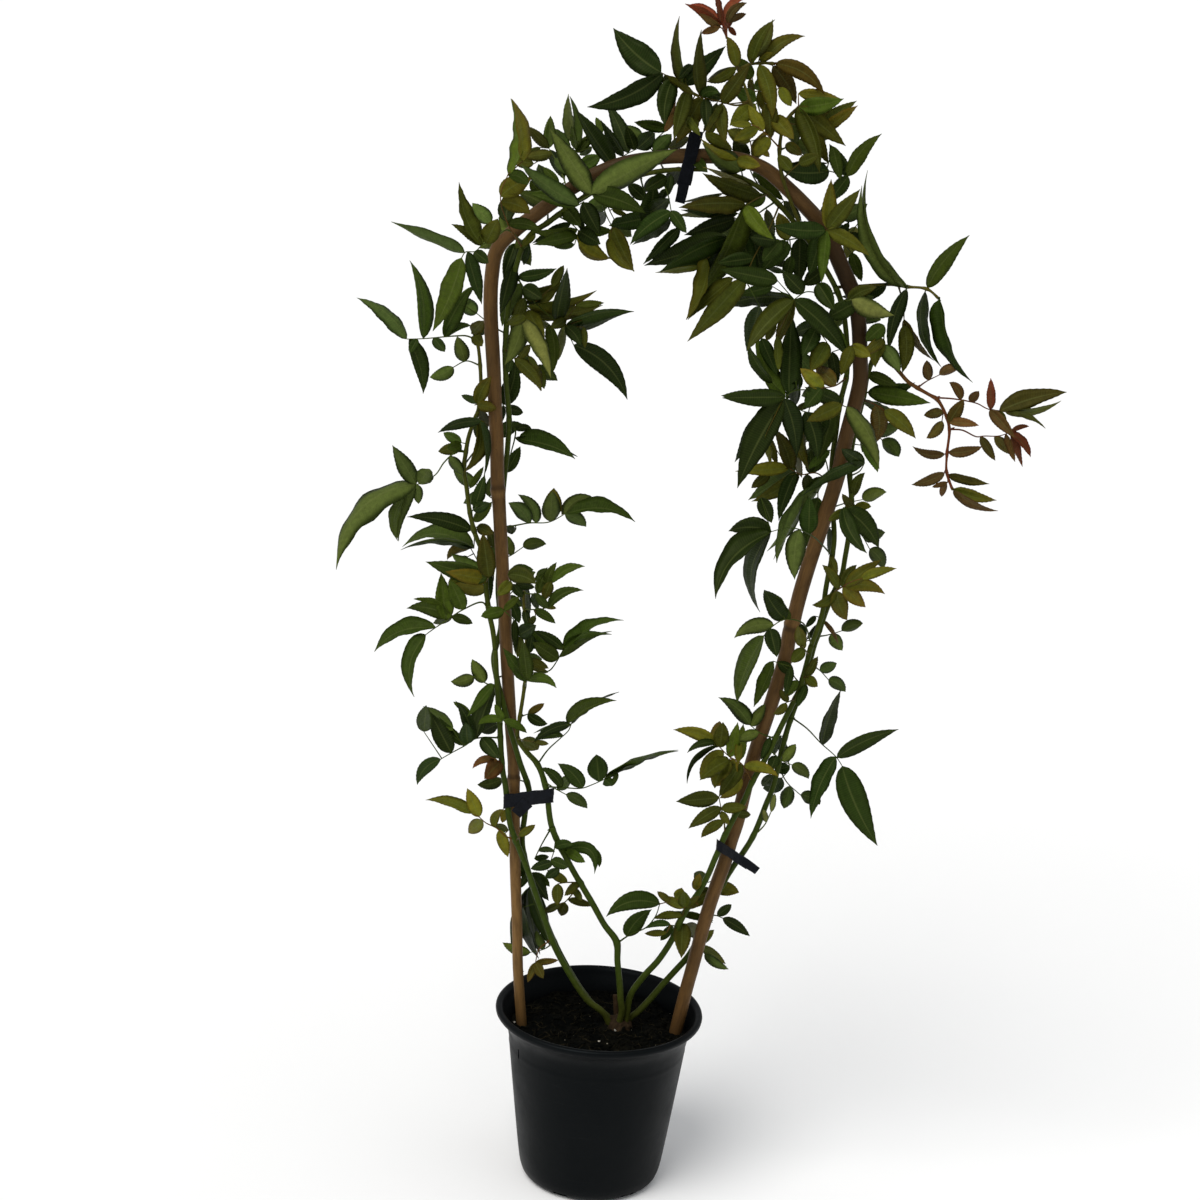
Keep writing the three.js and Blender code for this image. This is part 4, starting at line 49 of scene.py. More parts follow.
# How leaves keep clear of each other and of everything else, by the solids' own rules and values
EYE_BACK = 2300  # distance from the hoop's plane to the eye
EYE_HEIGHT = 1246
CELL = 2  # side of a square of the hoop's plane in which the depths in use are noted
REACH = 4096
NEIGHBOURS = [row * REACH + column for row in (-1, 0, 1) for column in (-1, 0, 1)]
STEM_CLEAR, BLADE_CLEAR = 0.5, 1.5
STEM_STEP, BLADE_STEP = 1.5, 1.8  # between the places at which a stem and a blade are noted
BLADE_COLUMNS = (-1, -0.6, -0.2, 0.2, 0.6, 1)
FULLNESS, TO_BASE, TO_TIP = 2.6, 0.62, 0.8  # of a solid's blade, and how it narrows to its ends
ROOT_SHARE = 0.34  # leaflets of one leaf may meet in this much of their length
STALK_ROOT = 8  # and a leaf stalk its own cane in this length
LEAF_ROOT = 0.3
ROOT_INSET = 3  # leaf stalks root this far from the end of a node's cane
STRAIGHT = 1.6  # a bend smaller than this is left out of a leaf stalk
STEP_BACK = (0, -9, 9, -18, 18, -28, 28, -40, 40)  # tried for a whole leaf
TIP_SHIFT = (0, -7, 7, -14, 14, -22, 22, -32, 32)  # tried for a leaflet's tip
FILLER = 14  # leaves set back this far fill in behind and are placed last
DEPTH_SHARE = 1.5  # how far leaves are set forward or back, over the depths in the table
TIP_SCATTER = 1.2  # share of a leaflet's seen length by which its tip comes forward or back
FULLEST = 0.42  # width of the broadest leaflet over its length
WIDTH_SHARE = 0.24  # and of the narrowest
LEAST_ROLL = 0.1
LEAN_SHARE = 0.3  # share of a leaf's depth by which its leaflets lean forward or back
OTHER_NODE_COST = 100  # of meeting another node, beside 1 for meeting its own
LOST_LEAFLET_COST = 3
OWN_NODE_COST = 0.01
RACHIS_R = 1
TIE_MARGIN = (1, 2, 3)  # kept clear above, beside, and before and behind a tie
FIRST_SEED = 20260
EARLIER_DRAWS = 168  # taken by the compost's surface before the leaves take theirs
FIXED = -1  # the number of what isn't a leaf

# How the smaller leaflets, which only the looks have, are placed
LONG_LEAF = 36  # a shorter leaflet tips less out of the plane
CANE_LAST = 3  # a smaller leaflet sits on a stalk unless a cane is this much nearer
SMALL_OTHER_COST = 4  # of meeting another node, beside 1 for meeting its own

# An old cane cut off above the crown: [x, z, depth]
STUB = [[16.5, 144, 9.5], [16, 160, 11], [14, 181, 12]]
STUB_R = 2.4

# Bamboo hoop, from the end in the compost on the left over the top to the end on the right: [x, z, radius]
HOOP = [[-64, 80, 4.6], [-67, 112, 4.7], [-71, 150, 4.8], [-76.5, 200, 4.8], [-80, 250, 4.9],
    [-84, 300, 5], [-88.6, 372, 5.2], [-89.6, 386, 5.7], [-90.6, 400, 5.3], [-94, 430, 5.5],
    [-100, 486, 5.7], [-106, 550, 5.8], [-111, 600, 5.9], [-115, 640, 6], [-116.5, 652, 6.6],
    [-117.6, 664, 6.1], [-120, 700, 6.1], [-122.5, 725, 6.1], [-124.5, 750, 6.1], [-127, 775, 6.2],
    [-130, 805, 6.2], [-131, 828, 6.2], [-130.5, 842, 6.2], [-129, 856, 6.2], [-125, 866, 6.2],
    [-112, 880, 6.2], [-100, 890.5, 6.2], [-85, 903, 6.1], [-68, 917, 6], [-47, 931, 6], [-25, 941, 6],
    [9, 948.5, 6], [34, 951, 6.4], [56, 951.5, 6], [75, 950, 6], [95, 943, 6.2], [115, 928, 6.4],
    [130, 915, 6.6], [143, 902, 6.8], [155, 884, 7], [165, 865, 7], [172, 852, 7], [179, 838, 6.8],
    [184, 815, 6.6], [187, 790, 6.6], [189, 770, 6.6], [187, 752, 6.6], [184, 735, 6.6], [180.8, 716, 6.6],
    [178, 691, 6.6], [173, 666, 6.6], [166.4, 637, 6.6], [159.3, 607, 6.6], [153, 577, 6.6],
    [149.5, 556, 6.6], [148, 547, 7.2], [146.4, 538, 6.7], [144.6, 517, 6.6], [138.5, 487, 6.5],
    [130.5, 452, 6.4], [124.5, 426, 6.4], [120, 403, 6.4], [116.5, 380, 6.4], [113, 357, 6.3],
    [109, 340, 6.3], [104.7, 318, 6.3], [100, 300, 6.2], [93, 270, 6.2], [87.4, 240, 6.2], [82.5, 212, 6.1],
    [79, 193, 6.1], [72.5, 153, 6], [66, 110, 5.9], [61, 80, 5.8]]

# Canes and bare shoots, root to tip: [x, z, depth, radius]
CANES = {
  "middle": [[18, 149, -4, 3], [21, 165, -7, 3], [19, 178, -9, 3], [18, 188, -9, 3], [14, 215, -9, 2.9],
    [12, 234, -9, 3.2], [0, 250, -10, 2.8], [-12, 270, -11, 2.8], [-35, 307, -13, 2.7],
    [-53, 342, -15, 2.7], [-60, 378, -17, 2.6], [-69, 401, -18, 2.5], [-80, 413, -18, 2.3],
    [-88, 425, -17, 2], [-87, 445, -15, 1.8], [-85, 466, -13, 1.7], [-84, 482, -12, 1.6],
    [-85, 520, -12, 1.5], [-88, 545, -12, 1.4], [-90, 562, -12, 1.2]],
  "leftFront": [[11, 150, -2, 3], [6, 160, -4, 3], [0, 166, -6, 3], [-9, 172, -7, 3], [-19, 184, -8, 3],
    [-29, 199, -9, 2.9], [-44.5, 226, -9, 2.8], [-58, 260, -10, 2.8], [-72, 297, -11, 2.7],
    [-81, 318, -12, 2.7], [-90, 340, -12, 2.7], [-94, 361, -12, 2.7], [-97, 380, -12, 2.6],
    [-100, 393, -12, 2.6], [-105, 440, -11, 2.5], [-110, 485, -12, 2.4], [-112, 506, -12, 2.3],
    [-115, 524, -8, 2.3], [-119, 540, -4, 2.3], [-123, 565, -2, 2.2], [-126, 591, -2, 2.2],
    [-135, 612, -2, 2.1], [-140, 630, -2, 2], [-144, 653, -2, 2], [-147, 669, -2, 2],
    [-146, 683, -2, 1.9], [-144, 698, -3, 1.9], [-140, 712, -4, 1.8], [-137, 721, -4, 1.8],
    [-135.5, 738, -4, 1.7], [-137, 761, -4, 1.6], [-139, 775, -3, 1.5], [-141, 784, -3, 1.4]],
  "leftBack": [[13, 149, 4, 3], [9, 158, 4, 3], [2, 164, 3, 3], [-7, 171, 3, 3], [-17, 183, 3, 3],
    [-27, 198, 3, 2.9], [-45, 230, 2, 2.8], [-62, 270, 3, 2.8], [-72, 297, 5, 2.7], [-79, 325, 6, 2.7],
    [-78, 350, 3, 2.6], [-77, 362, 1, 2.6], [-75, 374, 0, 2.6], [-85, 402, -8, 2.6],
    [-89, 414, -9.5, 2.5], [-96, 435, -10.5, 2.5], [-102, 455, -8.5, 2.5], [-108, 475, -5, 2.4],
    [-112, 490, -2, 2.4], [-113, 500, 3, 2.4], [-110, 515, 8, 2.4], [-108, 530, 11, 2.4],
    [-112, 560, 11, 2.4], [-112, 600, 11, 2.4], [-112, 650, 11, 2.4], [-110, 690, 11, 2.4],
    [-110, 717, 10, 2.4], [-113, 740, 8, 2.4], [-116, 770, 5, 2.4], [-116, 800, 3, 2.4],
    [-114, 830, 0, 2.4], [-110, 850, 0, 2.4], [-106, 865, 0, 2.3], [-99, 877, 0, 2.3], [-86, 887, 0, 2.3],
    [-68, 902, 0, 2.2], [-48, 916, 0, 2.2], [-25, 927, 0, 2.1], [0, 935, 0, 2], [22, 939, 0, 2],
    [42, 940, 0, 1.8]],
  "rightFront": [[24.5, 150, -1, 3], [26, 165, -1, 3], [28, 182, -2, 3], [38.5, 201, -4, 2.9],
    [51, 218, -6, 2.9], [62, 239, -8, 2.8], [68, 257, -9, 2.8], [74, 271, -9, 2.8], [84, 289, -10, 2.7],
    [91, 306, -11, 2.7], [96, 322, -11, 2.7], [99, 331, -11.5, 2.7], [102.7, 343, -12, 2.7],
    [111, 364, -13, 2.6], [117.5, 378, -13, 2.6], [123.4, 396, -13, 2.6], [130.4, 412, -12, 2.5],
    [137.7, 429, -9, 2.5], [143.6, 446, -6, 2.5], [149.7, 462, -4, 2.5], [154.4, 474, -4, 2.4],
    [159, 487, -4, 2.4], [163.5, 511, -4, 2.4], [166.5, 529, -4, 2.3], [171, 546, -4, 2.3],
    [174, 562, -3, 2.3], [174.7, 579, -2, 2.3], [176, 594, 0, 2.3], [177.6, 608, 3, 2.3],
    [178.5, 625, 7, 2.3], [177, 640, 11, 2.3], [174, 655, 12.5, 2.3], [172, 675, 13, 2.3],
    [171, 690, 12, 2.3], [171, 705, 8, 2.3], [172, 720, 3, 2.3], [173, 745, 0, 2.3], [177, 772, 0, 2.3],
    [176, 790, 0, 2.3], [173, 812, 0, 2.3], [168, 833, 0, 2.3], [161, 848, 0, 2.3], [152, 862, 0, 2.3],
    [140, 880, 0, 2.2], [126, 896, 0, 2.2], [110, 913, 0, 2.2], [92, 927, 0, 2.1], [72, 936, 0, 2],
    [58, 939, 0, 1.8]],
  "rightBack": [[23, 149, 6, 3], [29, 159, 6, 3], [36, 166, 6, 3], [46, 179, 7, 3], [57, 195, 8, 2.9],
    [68, 210, 9, 2.9], [78, 224, 10, 2.9], [86, 241, 12, 2.8], [93, 255, 12.5, 2.8], [96, 268, 13, 2.8],
    [100, 286, 13, 2.8], [107, 303, 12, 2.7], [115, 319, 9, 2.7], [120.7, 329, 6, 2.7],
    [128, 344, 4, 2.6], [133.6, 361, 3, 2.6], [138, 377, 2, 2.6], [142.5, 392, 2, 2.5],
    [145.7, 412, 3, 2.5], [148.4, 432, 3.5, 2.5], [151, 447, 4, 2.5], [154, 461, 5, 2.5],
    [158, 476, 5, 2.4], [162, 489, 5, 2.4], [166, 511, 5, 2.4], [169, 529, 5, 2.4], [173, 546, 5, 2.4],
    [177, 562, 5, 2.3], [182, 579, 4, 2.3], [187.7, 595, 3, 2.3], [189.3, 611.5, 3, 2.3],
    [190.8, 630.6, 3, 2.3], [191.4, 649, 3, 2.3], [190, 667, 4, 2.3], [187.5, 681, 7, 2.3],
    [186.5, 693, 10, 2.3], [187, 712, 12.5, 2.3], [190, 735, 13, 2.3], [193, 755, 13, 2.3],
    [195, 775, 12, 2.2], [199, 788, 8, 2.2], [206, 793, 4, 2]],
  "topStem": [[127.2, 897.8, -3.7, 1.7], [111, 933, -10, 1.6], [106, 950, -9, 1.6], [105, 968, -7, 1.5],
    [108, 984, -6, 1.4], [118, 997, -6, 1.2]],
  "topShoot": [[104.8, 974, -9.5, 1.4], [98, 978, -12, 1.4], [88, 984, -13, 1.3], [80, 993, -13, 1.3],
    [74, 1007, -12, 1.2], [65, 1026, -11, 1.1], [58, 1042, -10, 1], [55, 1048, -10, 1]],
  "topArm": [[66.3, 1025.4, -9, 1], [74, 1029, -6, 1], [85, 1031, -4, 1], [96, 1031, -3, 1]],
  "redTip": [[54.5, 1049, -10, 1], [53, 1054, -10, 1], [51.5, 1059, -10, 1]],
  "outerStem": [[163.2, 848, 2.85, 1.4], [168, 848.6, 8.5, 1.4], [173, 849, 11.5, 1.3], [180, 850, 14, 1.3],
    [205, 853, 16, 1.2], [222, 852, 14, 1.2], [239, 851, 12, 1.1], [250, 843, 11, 1]],
  "bronze": [[208.1, 791.7, 3.6, 1.9], [214, 786, 2, 1.8], [223, 777, 0, 1.7], [229.5, 770.6, -1, 1.7],
    [238, 765.6, -2, 1.6], [250, 759.7, -3, 1.5], [256, 756.6, -3, 1.5], [265, 743, -3, 1.4],
    [269, 731, -3, 1.3], [269, 711, -3, 1.1], [270, 694, -3, 1], [274.3, 683, -3, 1],
    [277, 677.5, -3, 1]],
}

# Pieces of foliage: the solid's name, its kind of leaf, its stretch of cane as [cane, first point, last
# point], and its leaves. A leaf is [depth, tone, its stalk's points, leaflets], and a leaflet is x and z at
# its base and at its tip, its width as seen, its bow and, where it has one of its own, its tone.
NODES = [
  ["left_front_cane_low", "foliage_olive", ["leftFront", 0, 11], [
    [-4, "gold", [[-88, 326], [-94, 330], [-102, 337], [-113, 342], [-119, 347], [-125, 350]], [
      [-125, 350, -168, 360, 7, -5], [-119, 347, -131, 374, 11, 0], [-116, 344, -128, 331, 11, 0],
      [-104, 339, -97, 356, 7, 4], [-101, 335, -91, 310, 9, 0]]],
    [-12, "olive", [[-84, 326], [-82, 331]], [[-82, 331, -68, 343, 6, 0]]],
    [-6, "brown", [[-47, 232], [-58, 222], [-61, 208]], [
      [-60, 207, -67, 188, 6, 0], [-59, 205, -53, 193, 8, 0], [-60, 208, -40, 212, 6, 0]]],
  ]],
  ["left_back_cane_low", "foliage_dark", ["leftBack", 0, 11], [
    [-4, "dark", [[-77, 313], [-73, 292], [-70, 282]], [
      [-71, 282, -71, 198, 9, -13], [-70, 281, -57, 216, 14, -2], [-68, 282, -48, 225, 10, 0],
      [-72, 292, -86, 310, 9, 0], [-70, 292, -52, 284, 10, 3]]],
    [16, "mid", [[-45, 230], [-54, 222], [-66, 218]], [
      [-66, 218, -92, 226, 9, 2], [-55, 222, -62, 240, 8, 0]]],
  ]],
  ["middle_cane_low", "foliage_dark", ["middle", 0, 9], [
    [0, "dark", [[-43, 322], [-39, 320]], [[-41, 320, -12, 299, 10, 15]]],
    [-8, "dark", [[-48, 332], [-50, 318], [-52, 310]], [
      [-51, 309, -36, 304, 9, 0], [-50, 322, -33, 326, 8, 2]]],
    [-4, "dark", [[-54, 342], [-61, 325], [-67, 310]], [
      [-66, 308, -54, 313, 6, 0], [-64, 318, -49, 318, 5, 2]]],
    [-4, "olive", [[-24, 290], [-37, 289], [-45, 287]], [
      [-45, 288, -44, 266, 9, 0], [-36, 289, -55, 300, 8, 0]]],
    [6, "olive", [[-24, 289], [-37, 270], [-42, 267]], [
      [-34, 272, -11, 268, 6, 0], [-37, 269, -40, 256, 9, 0], [-41, 268, -57, 258, 6, 0]]],
    [-8, "dark", [[11, 232], [24, 242], [38, 250], [46, 262], [49, 274]], [
      [20, 241, 42, 268, 14, 3], [49, 275, 1, 258, 12, -9]]],
  ]],
  ["middle_cane_mid", "foliage_dark", ["middle", 9, 13], [
    [-24, "dark", [[-69, 401], [-60, 416], [-50, 427], [-43, 435], [-41, 441]], [
      [-40, 442, 0, 474, 6, 5], [-43, 443, -74, 421, 9, -4], [-49, 431, -72, 424, 5, -3]]],
    [-8, "dark", [[-61, 380], [-46, 380.5], [-28, 381], [-19, 385], [-8, 391]], [
      [-46, 381, -66, 398, 8, -3], [-28, 382, -51, 403, 13, -3], [-14, 390, -17, 414, 16, 0],
      [-9, 393, 56, 422, 7, 5], [-8, 393, -1, 385, 8, 0]]],
    [-20, "olive", [[-87, 424], [-82, 423]], [[-84, 424, -69, 415, 12, 1]]],
    [12, "mid", [[-62, 385], [-52, 379], [-42, 374]], [
      [-42, 374, -22, 362, 9, 2], [-50, 378, -38, 392, 9, 0]]],
  ]],
  ["middle_cane_side_shoot", "foliage_mid", ["middle", 13, 19], [
    [-20, "mid", [[-89, 560], [-80, 560], [-72, 563], [-65, 571]], [
      [-64, 572, -37, 588, 6, 5], [-78, 562, -70, 585, 8, 0], [-69, 565, -62, 590, 7, 2]]],
    [-28, "mid", [[-88, 545], [-76, 546], [-67, 548]], [
      [-67, 548, -37, 566, 7, 6], [-80, 546, -60, 534, 7, 1], [-68, 549, -80, 561, 7, 0]]],
    [-14, "mid", [[-84, 486], [-70, 488], [-63, 490], [-57, 499], [-52, 510]], [
      [-52, 517, 0, 541, 8, 9], [-58, 504, -10, 530, 9, 5], [-56, 501, -79, 515, 13, 0],
      [-53, 514, -79, 526, 8, -2, "dark"]]],
    [-24, "mid", [[-84, 474], [-82, 480]], [
      [-83, 479, -105, 508, 9, 0], [-82, 481, -88, 517, 11, 0], [-82, 479, -56, 474, 8, 6]]],
    [-8, "dark", [[-85, 520], [-92, 521]], [[-92, 521, -77, 531, 12, 0]]],
    [-34, "olive", [[-90, 560], [-100, 568], [-104, 576]], [
      [-104, 577, -79, 569, 13, 3], [-100, 570, -112, 556, 9, 0]]],
    [6, "dark", [[-88, 445], [-80, 448]], [
      [-80, 448, -66, 459, 6, 0, "brown"], [-79, 447, -62, 440, 8, -2]]],
  ]],
  ["left_front_cane_mid", "foliage_dark", ["leftFront", 11, 16], [
    [-10, "dark", [[-103, 424], [-120, 423], [-127, 421], [-134, 415], [-146, 407], [-156, 400]], [
      [-156, 400, -176, 374, 10, -5], [-148, 408, -168, 445, 15, 0], [-134, 416, -159, 440, 8, 3],
      [-133, 417, -135, 436, 12, 0], [-130, 423, -145, 456, 10, -3], [-127, 424, -107, 478, 13, 3],
      [-120, 422, -104, 404, 12, 0]]],
    [-16, "bright", [[-104, 438], [-101, 441]], [
      [-103, 441, -124, 435, 7, -4], [-102, 441, -110, 455, 6, 0], [-101, 440, -80, 430, 7, 2]]],
    [-4, "bronze", [[-100, 401], [-105, 402]], [
      [-105, 403, -127, 393, 6, -5], [-103, 400, -116, 384, 13, 0]]],
    [18, "mid", [[-108, 470], [-118, 474], [-130, 480]], [
      [-130, 480, -150, 474, 10, 2], [-120, 475, -132, 496, 11, 0]]],
  ]],
  ["left_front_cane_high", "foliage_dark", ["leftFront", 16, 21], [
    [-6, "mid", [[-119, 540], [-125, 549], [-141, 542], [-158, 529], [-167, 522], [-174, 516]], [
      [-174, 516, -182, 457, 12, -10], [-167, 525, -219, 497, 8, -10], [-154, 533, -192, 539, 12, -5],
      [-152, 534, -133, 529, 8, 1], [-157, 531, -163, 574, 14, 0], [-143, 543, -155, 568, 13, 0]]],
    [-24, "bright", [[-120, 546], [-106, 543]], [
      [-106, 543, -126, 536, 10, 0], [-106, 544, -93, 557, 6, 0]]],
    [-14, "olive", [[-123, 568], [-121, 572]], [
      [-120, 572, -128, 613, 14, 0], [-123, 571, -177, 583, 16, 0, "mid"],
      [-121, 569, -159, 575, 12, 0, "gold"]]],
    [14, "mid", [[-122, 558], [-124, 571], [-132, 588], [-138, 598]], [
      [-121, 572, -155, 592, 14, 0], [-119, 561, -155, 563, 12, 0, "gold"],
      [-138, 599, -158, 586, 8, -5, "brown"], [-126, 577, -111, 609, 11, 0, "dark"]]],
  ]],
  ["left_front_cane_upper", "foliage_mid", ["leftFront", 21, 28], [
    [-10, "light", [[-146, 684], [-154, 683.5], [-164, 674], [-171.5, 662], [-185, 653], [-189, 652]], [
      [-188, 653, -255, 570.5, 13.5, -19], [-188, 653, -210, 686, 13, 0], [-190, 650, -201, 600, 12, -7],
      [-186, 655, -177, 667, 13, 0], [-187, 651, -185, 635, 8, 0], [-160, 679, -147, 664, 9, 0]]],
    [-12, "dark", [[-138, 716], [-134, 712]], [
      [-137, 707, -171, 699.5, 9, -3], [-135, 714, -148, 665, 10, 8, "olive"],
      [-129, 709, -129.5, 662, 5, 4]]],
    [-16, "dark", [[-139, 630], [-134, 636]], [
      [-136, 634, -128.5, 665, 9, 0], [-135, 630, -123.5, 640, 9, 0]]],
    [6, "dark", [[-135, 612], [-138, 614]], [[-138, 616, -195, 622.5, 11.5, -4]]],
    [6, "dark", [[-131, 597], [-135, 598]], [[-135, 598, -199, 592, 9, -8]]],
    [20, "dark", [[-145, 672], [-134, 690], [-120, 700]], [
      [-120, 700, -98, 712, 11, 2], [-130, 694, -140, 716, 10, 0]]],
  ]],
  ["left_front_cane_tip", "foliage_mid", ["leftFront", 28, 32], [
    [-6, "mid", [[-141, 783], [-150, 786], [-158, 785.5], [-169, 784], [-178, 782.5], [-189, 781],
      [-201, 780]], [
      [-203, 783, -245, 813, 10, -5, "light"], [-199, 782, -185, 733, 10, 4, "dark"],
      [-187, 783, -201, 848, 11, -6], [-169, 785, -147, 829, 11, 2], [-168, 787, -146, 795, 6, 4, "dark"],
      [-178, 783, -168, 771, 8, 0, "dark"], [-192, 781, -198, 768, 7, 0, "dark"]]],
    [-14, "olive", [[-140, 783], [-145, 789]], [
      [-145, 789, -136, 800, 10, 0], [-144, 787, -136, 778, 9, 0]]],
    [-18, "olive", [[-136, 728], [-140, 726]], [
      [-138, 728, -127, 752, 11, 2], [-138, 731, -152, 734, 5, 0, "dark"],
      [-137, 724, -121, 724, 9, 0, "gold"]]],
    [18, "mid", [[-137, 761], [-150, 764], [-160, 758]], [
      [-160, 758, -180, 748, 10, 2], [-150, 764, -158, 785, 11, 0]]],
  ]],
  ["left_back_cane_mid", "foliage_dark", ["leftBack", 11, 22], [
    [26, "mid", [[-112, 545], [-104, 555], [-95, 566]], [
      [-95, 566, -80, 580, 10, 2], [-104, 555, -90, 548, 9, 0]]],
    [24, "dark", [[-109, 480], [-98, 486], [-88, 496]], [
      [-88, 496, -70, 500, 10, 2], [-98, 486, -102, 508, 11, 0]]],
    [16, "dark", [[-78, 383], [-87, 385], [-100, 385]], [
      [-100, 384, -122, 378, 10, 2], [-88, 381, -92, 400, 9, 0]]],
  ]],
  ["left_back_cane_high", "foliage_mid", ["leftBack", 22, 26], [
    [6, "dark", [[-110, 716], [-104, 706], [-104.5, 697], [-107, 685], [-109.7, 668]], [
      [-103, 699, -49, 686, 10, 3.5], [-104, 706, -90, 708, 6, 2], [-109, 667, -99, 692, 9, 0]]],
    [-6, "light", [[-112, 619], [-104, 620], [-88, 624], [-70.6, 626], [-56, 635]], [
      [-88, 625, -107, 641, 12, -3], [-82, 627, -99, 649, 10, -5], [-70, 628, -69.5, 654, 14, 0],
      [-59, 636, -28, 647, 10, 8], [-56, 635, 4.5, 631, 9, 10, "mid"], [-57, 634, -38, 624, 11, 2]]],
    [30, "dark", [[-112, 640], [-124, 646], [-136, 656]], [
      [-136, 656, -156, 670, 11, 2], [-124, 646, -118, 668, 10, 0], [-128, 648, -146, 638, 10, 0]]],
    [30, "mid", [[-112, 590], [-102, 594], [-92, 602]], [
      [-92, 602, -72, 606, 10, 2], [-102, 594, -108, 612, 9, 0]]],
  ]],
  ["left_shoulder_outer", "foliage_mid", ["leftBack", 26, 30], [
    [-14, "dark", [[-111, 722], [-116, 728]], [
      [-118, 728, -107, 766, 14, -3], [-113, 726, -98, 722, 8, 0]]],
    [-26, "mid", [[-116, 800], [-110, 806], [-103, 804]], [
      [-102, 803, -116, 763, 14, 3, "light"], [-100, 805, -76, 754, 11, 4, "pale"]]],
    [-16, "olive", [[-115, 776], [-108, 769]], [[-107, 768, -83, 742, 10, 3]]],
    [26, "dark", [[-115, 750], [-104, 756], [-92, 760]], [
      [-92, 760, -70, 752, 11, 2], [-104, 756, -98, 778, 11, 0]]],
    [30, "dark", [[-116, 790], [-128, 796], [-142, 806]], [
      [-142, 806, -160, 820, 12, 0], [-130, 797, -146, 788, 10, 0]]],
  ]],
  ["left_shoulder_inner", "foliage_olive", ["leftBack", 30, 32], [
    [-12, "mid", [[-111, 845], [-106, 834], [-102, 822], [-99, 813], [-92, 803], [-80, 800]], [
      [-99, 823, -69, 839, 10, -3, "olive"], [-98, 816, -41, 832, 10, -4, "olive"],
      [-90, 812, -35, 820, 9, -3, "olive"], [-78, 801, -75, 757, 10, 3],
      [-106, 834, -120, 796, 14, -2, "bright"], [-104, 842, -76, 849, 9, -2, "dark"]]],
    [10, "dark", [[-110, 842], [-96, 822], [-80, 808], [-66, 800]], [
      [-72, 806, -67, 850, 13, 0], [-64, 799, -8, 816, 10, 4], [-100, 834, -87, 822, 12, 0],
      [-66, 800, -52, 784, 10, 2]]],
  ]],
  ["left_shoulder_side_shoot", "foliage_olive", ["leftBack", 32, 33], [
    [-14, "light", [[-105, 867], [-120, 879], [-131, 870], [-140, 865], [-146, 859], [-154, 858],
      [-157, 853]], [
      [-155, 858, -218, 880, 12, 0], [-159, 850, -179, 788, 15, 2, "mid"],
      [-152, 856, -138, 814, 9, 0, "dark"], [-141, 867, -162, 917, 11, 4, "olive"],
      [-143, 867, -167, 881, 7, -2, "olive"], [-138, 868, -128, 888, 13, 0, "olive"],
      [-147, 861, -134, 850, 9, 0, "dark"]]],
    [-14, "gold", [[-106, 865], [-118, 882], [-126, 902], [-126, 912], [-121, 926]], [
      [-120, 926, -122, 989, 9, -8, "bright"], [-120, 925, -104, 918, 9, 3, "mid"],
      [-125, 907, -101, 924, 15, 2], [-123, 903, -101, 894, 13, 3], [-119, 884, -91, 880, 9, 3, "mid"]]],
    [8, "dark", [[-103, 868], [-118, 880], [-120, 886]], [[-120, 886, -112, 909, 14, 4]]],
    [34, "mid", [[-104, 869], [-118, 874], [-134, 884]], [
      [-134, 884, -150, 900, 12, 0], [-118, 874, -124, 898, 12, 0], [-122, 875, -142, 862, 12, 0],
      [-110, 871, -98, 850, 12, 0]]],
  ]],
  ["left_arch_cane", "foliage_mid", ["leftBack", 33, 36], [
    [-16, "mid", [[-70, 900], [-62, 903], [-56, 907]], [
      [-61, 906, -111, 935, 14, 2, "light"], [-62, 904, -104, 911, 11, -2],
      [-56, 905, -41, 880, 13, 0, "dark"]]],
    [-24, "light", [[-66, 903], [-56, 910], [-50, 914]], [
      [-50, 916, -88, 966, 16, 0], [-49, 914, 20, 956, 19, 2], [-48, 912, -3, 900, 15, 3, "mid"]]],
    [-6, "mid", [[-78, 894], [-66, 888], [-59, 882]], [
      [-59, 880, -30.5, 860, 11, -4, "gold"], [-61, 882, -100, 880, 9, 3], [-57, 884, -30, 884, 9, 0],
      [-58, 881, -40, 872, 12, 0, "dark"], [-66, 888, -98, 869, 7, 0, "dark"]]],
    [14, "pale", [[-66, 904], [-80, 938], [-88, 950]], [
      [-84, 946, -108, 941, 9, 0, "olive"], [-88, 950, -88, 977, 9, 0],
      [-87, 951, -107, 967, 8, 0, "olive"], [-82, 942, -68, 928, 11, 0, "mid"]]],
    [10, "light", [[-56, 911], [-60, 936], [-68, 956]], [
      [-68, 957, -74, 996, 9, 2, "pale"], [-64, 948, -52, 964, 8, 0, "mid"],
      [-60, 936, -44, 946, 11, 0, "mid"]]],
    [26, "dark", [[-86, 888], [-87, 918]], [
      [-84, 918, -96, 936, 12, 0], [-88, 908, -70, 920, 12, 0], [-90, 902, -112, 912, 12, 0]]],
  ]],
  ["middle_arch_cane", "foliage_dark", ["leftBack", 36, 40], [
    [10, "dark", [[-36, 922], [-33, 938], [-24, 948], [-14, 954]], [
      [-36, 941, -68, 984, 13, 0], [-22, 951, -42, 990, 12, -2], [-26, 948, -46, 976, 8, 0],
      [-14, 954, 0, 968, 13, 0], [-16, 953, -24, 972, 9, 0]]],
    [8, "dark", [[-10, 931], [-5, 915], [-2, 902], [1, 889]], [
      [2, 886, 2, 926, 18, 0], [-4, 896, -34, 888, 13, 0], [-4, 912, -20, 925, 10, 0],
      [-1, 900, 16, 914, 12, 0]]],
    [-8, "mid", [[-42, 918], [-38, 900], [-31, 887]], [
      [-30, 886, -10, 850, 13, -1, "olive"], [-38, 899, -52, 884, 11, 0, "dark"]]],
    [-12, "dark", [[4, 936], [14, 918], [18, 903]], [
      [17, 900, -15, 873, 12, -3], [18, 904, 32, 886, 9, 0]]],
    [26, "mid", [[-30, 925], [-36, 906], [-30, 894]], [
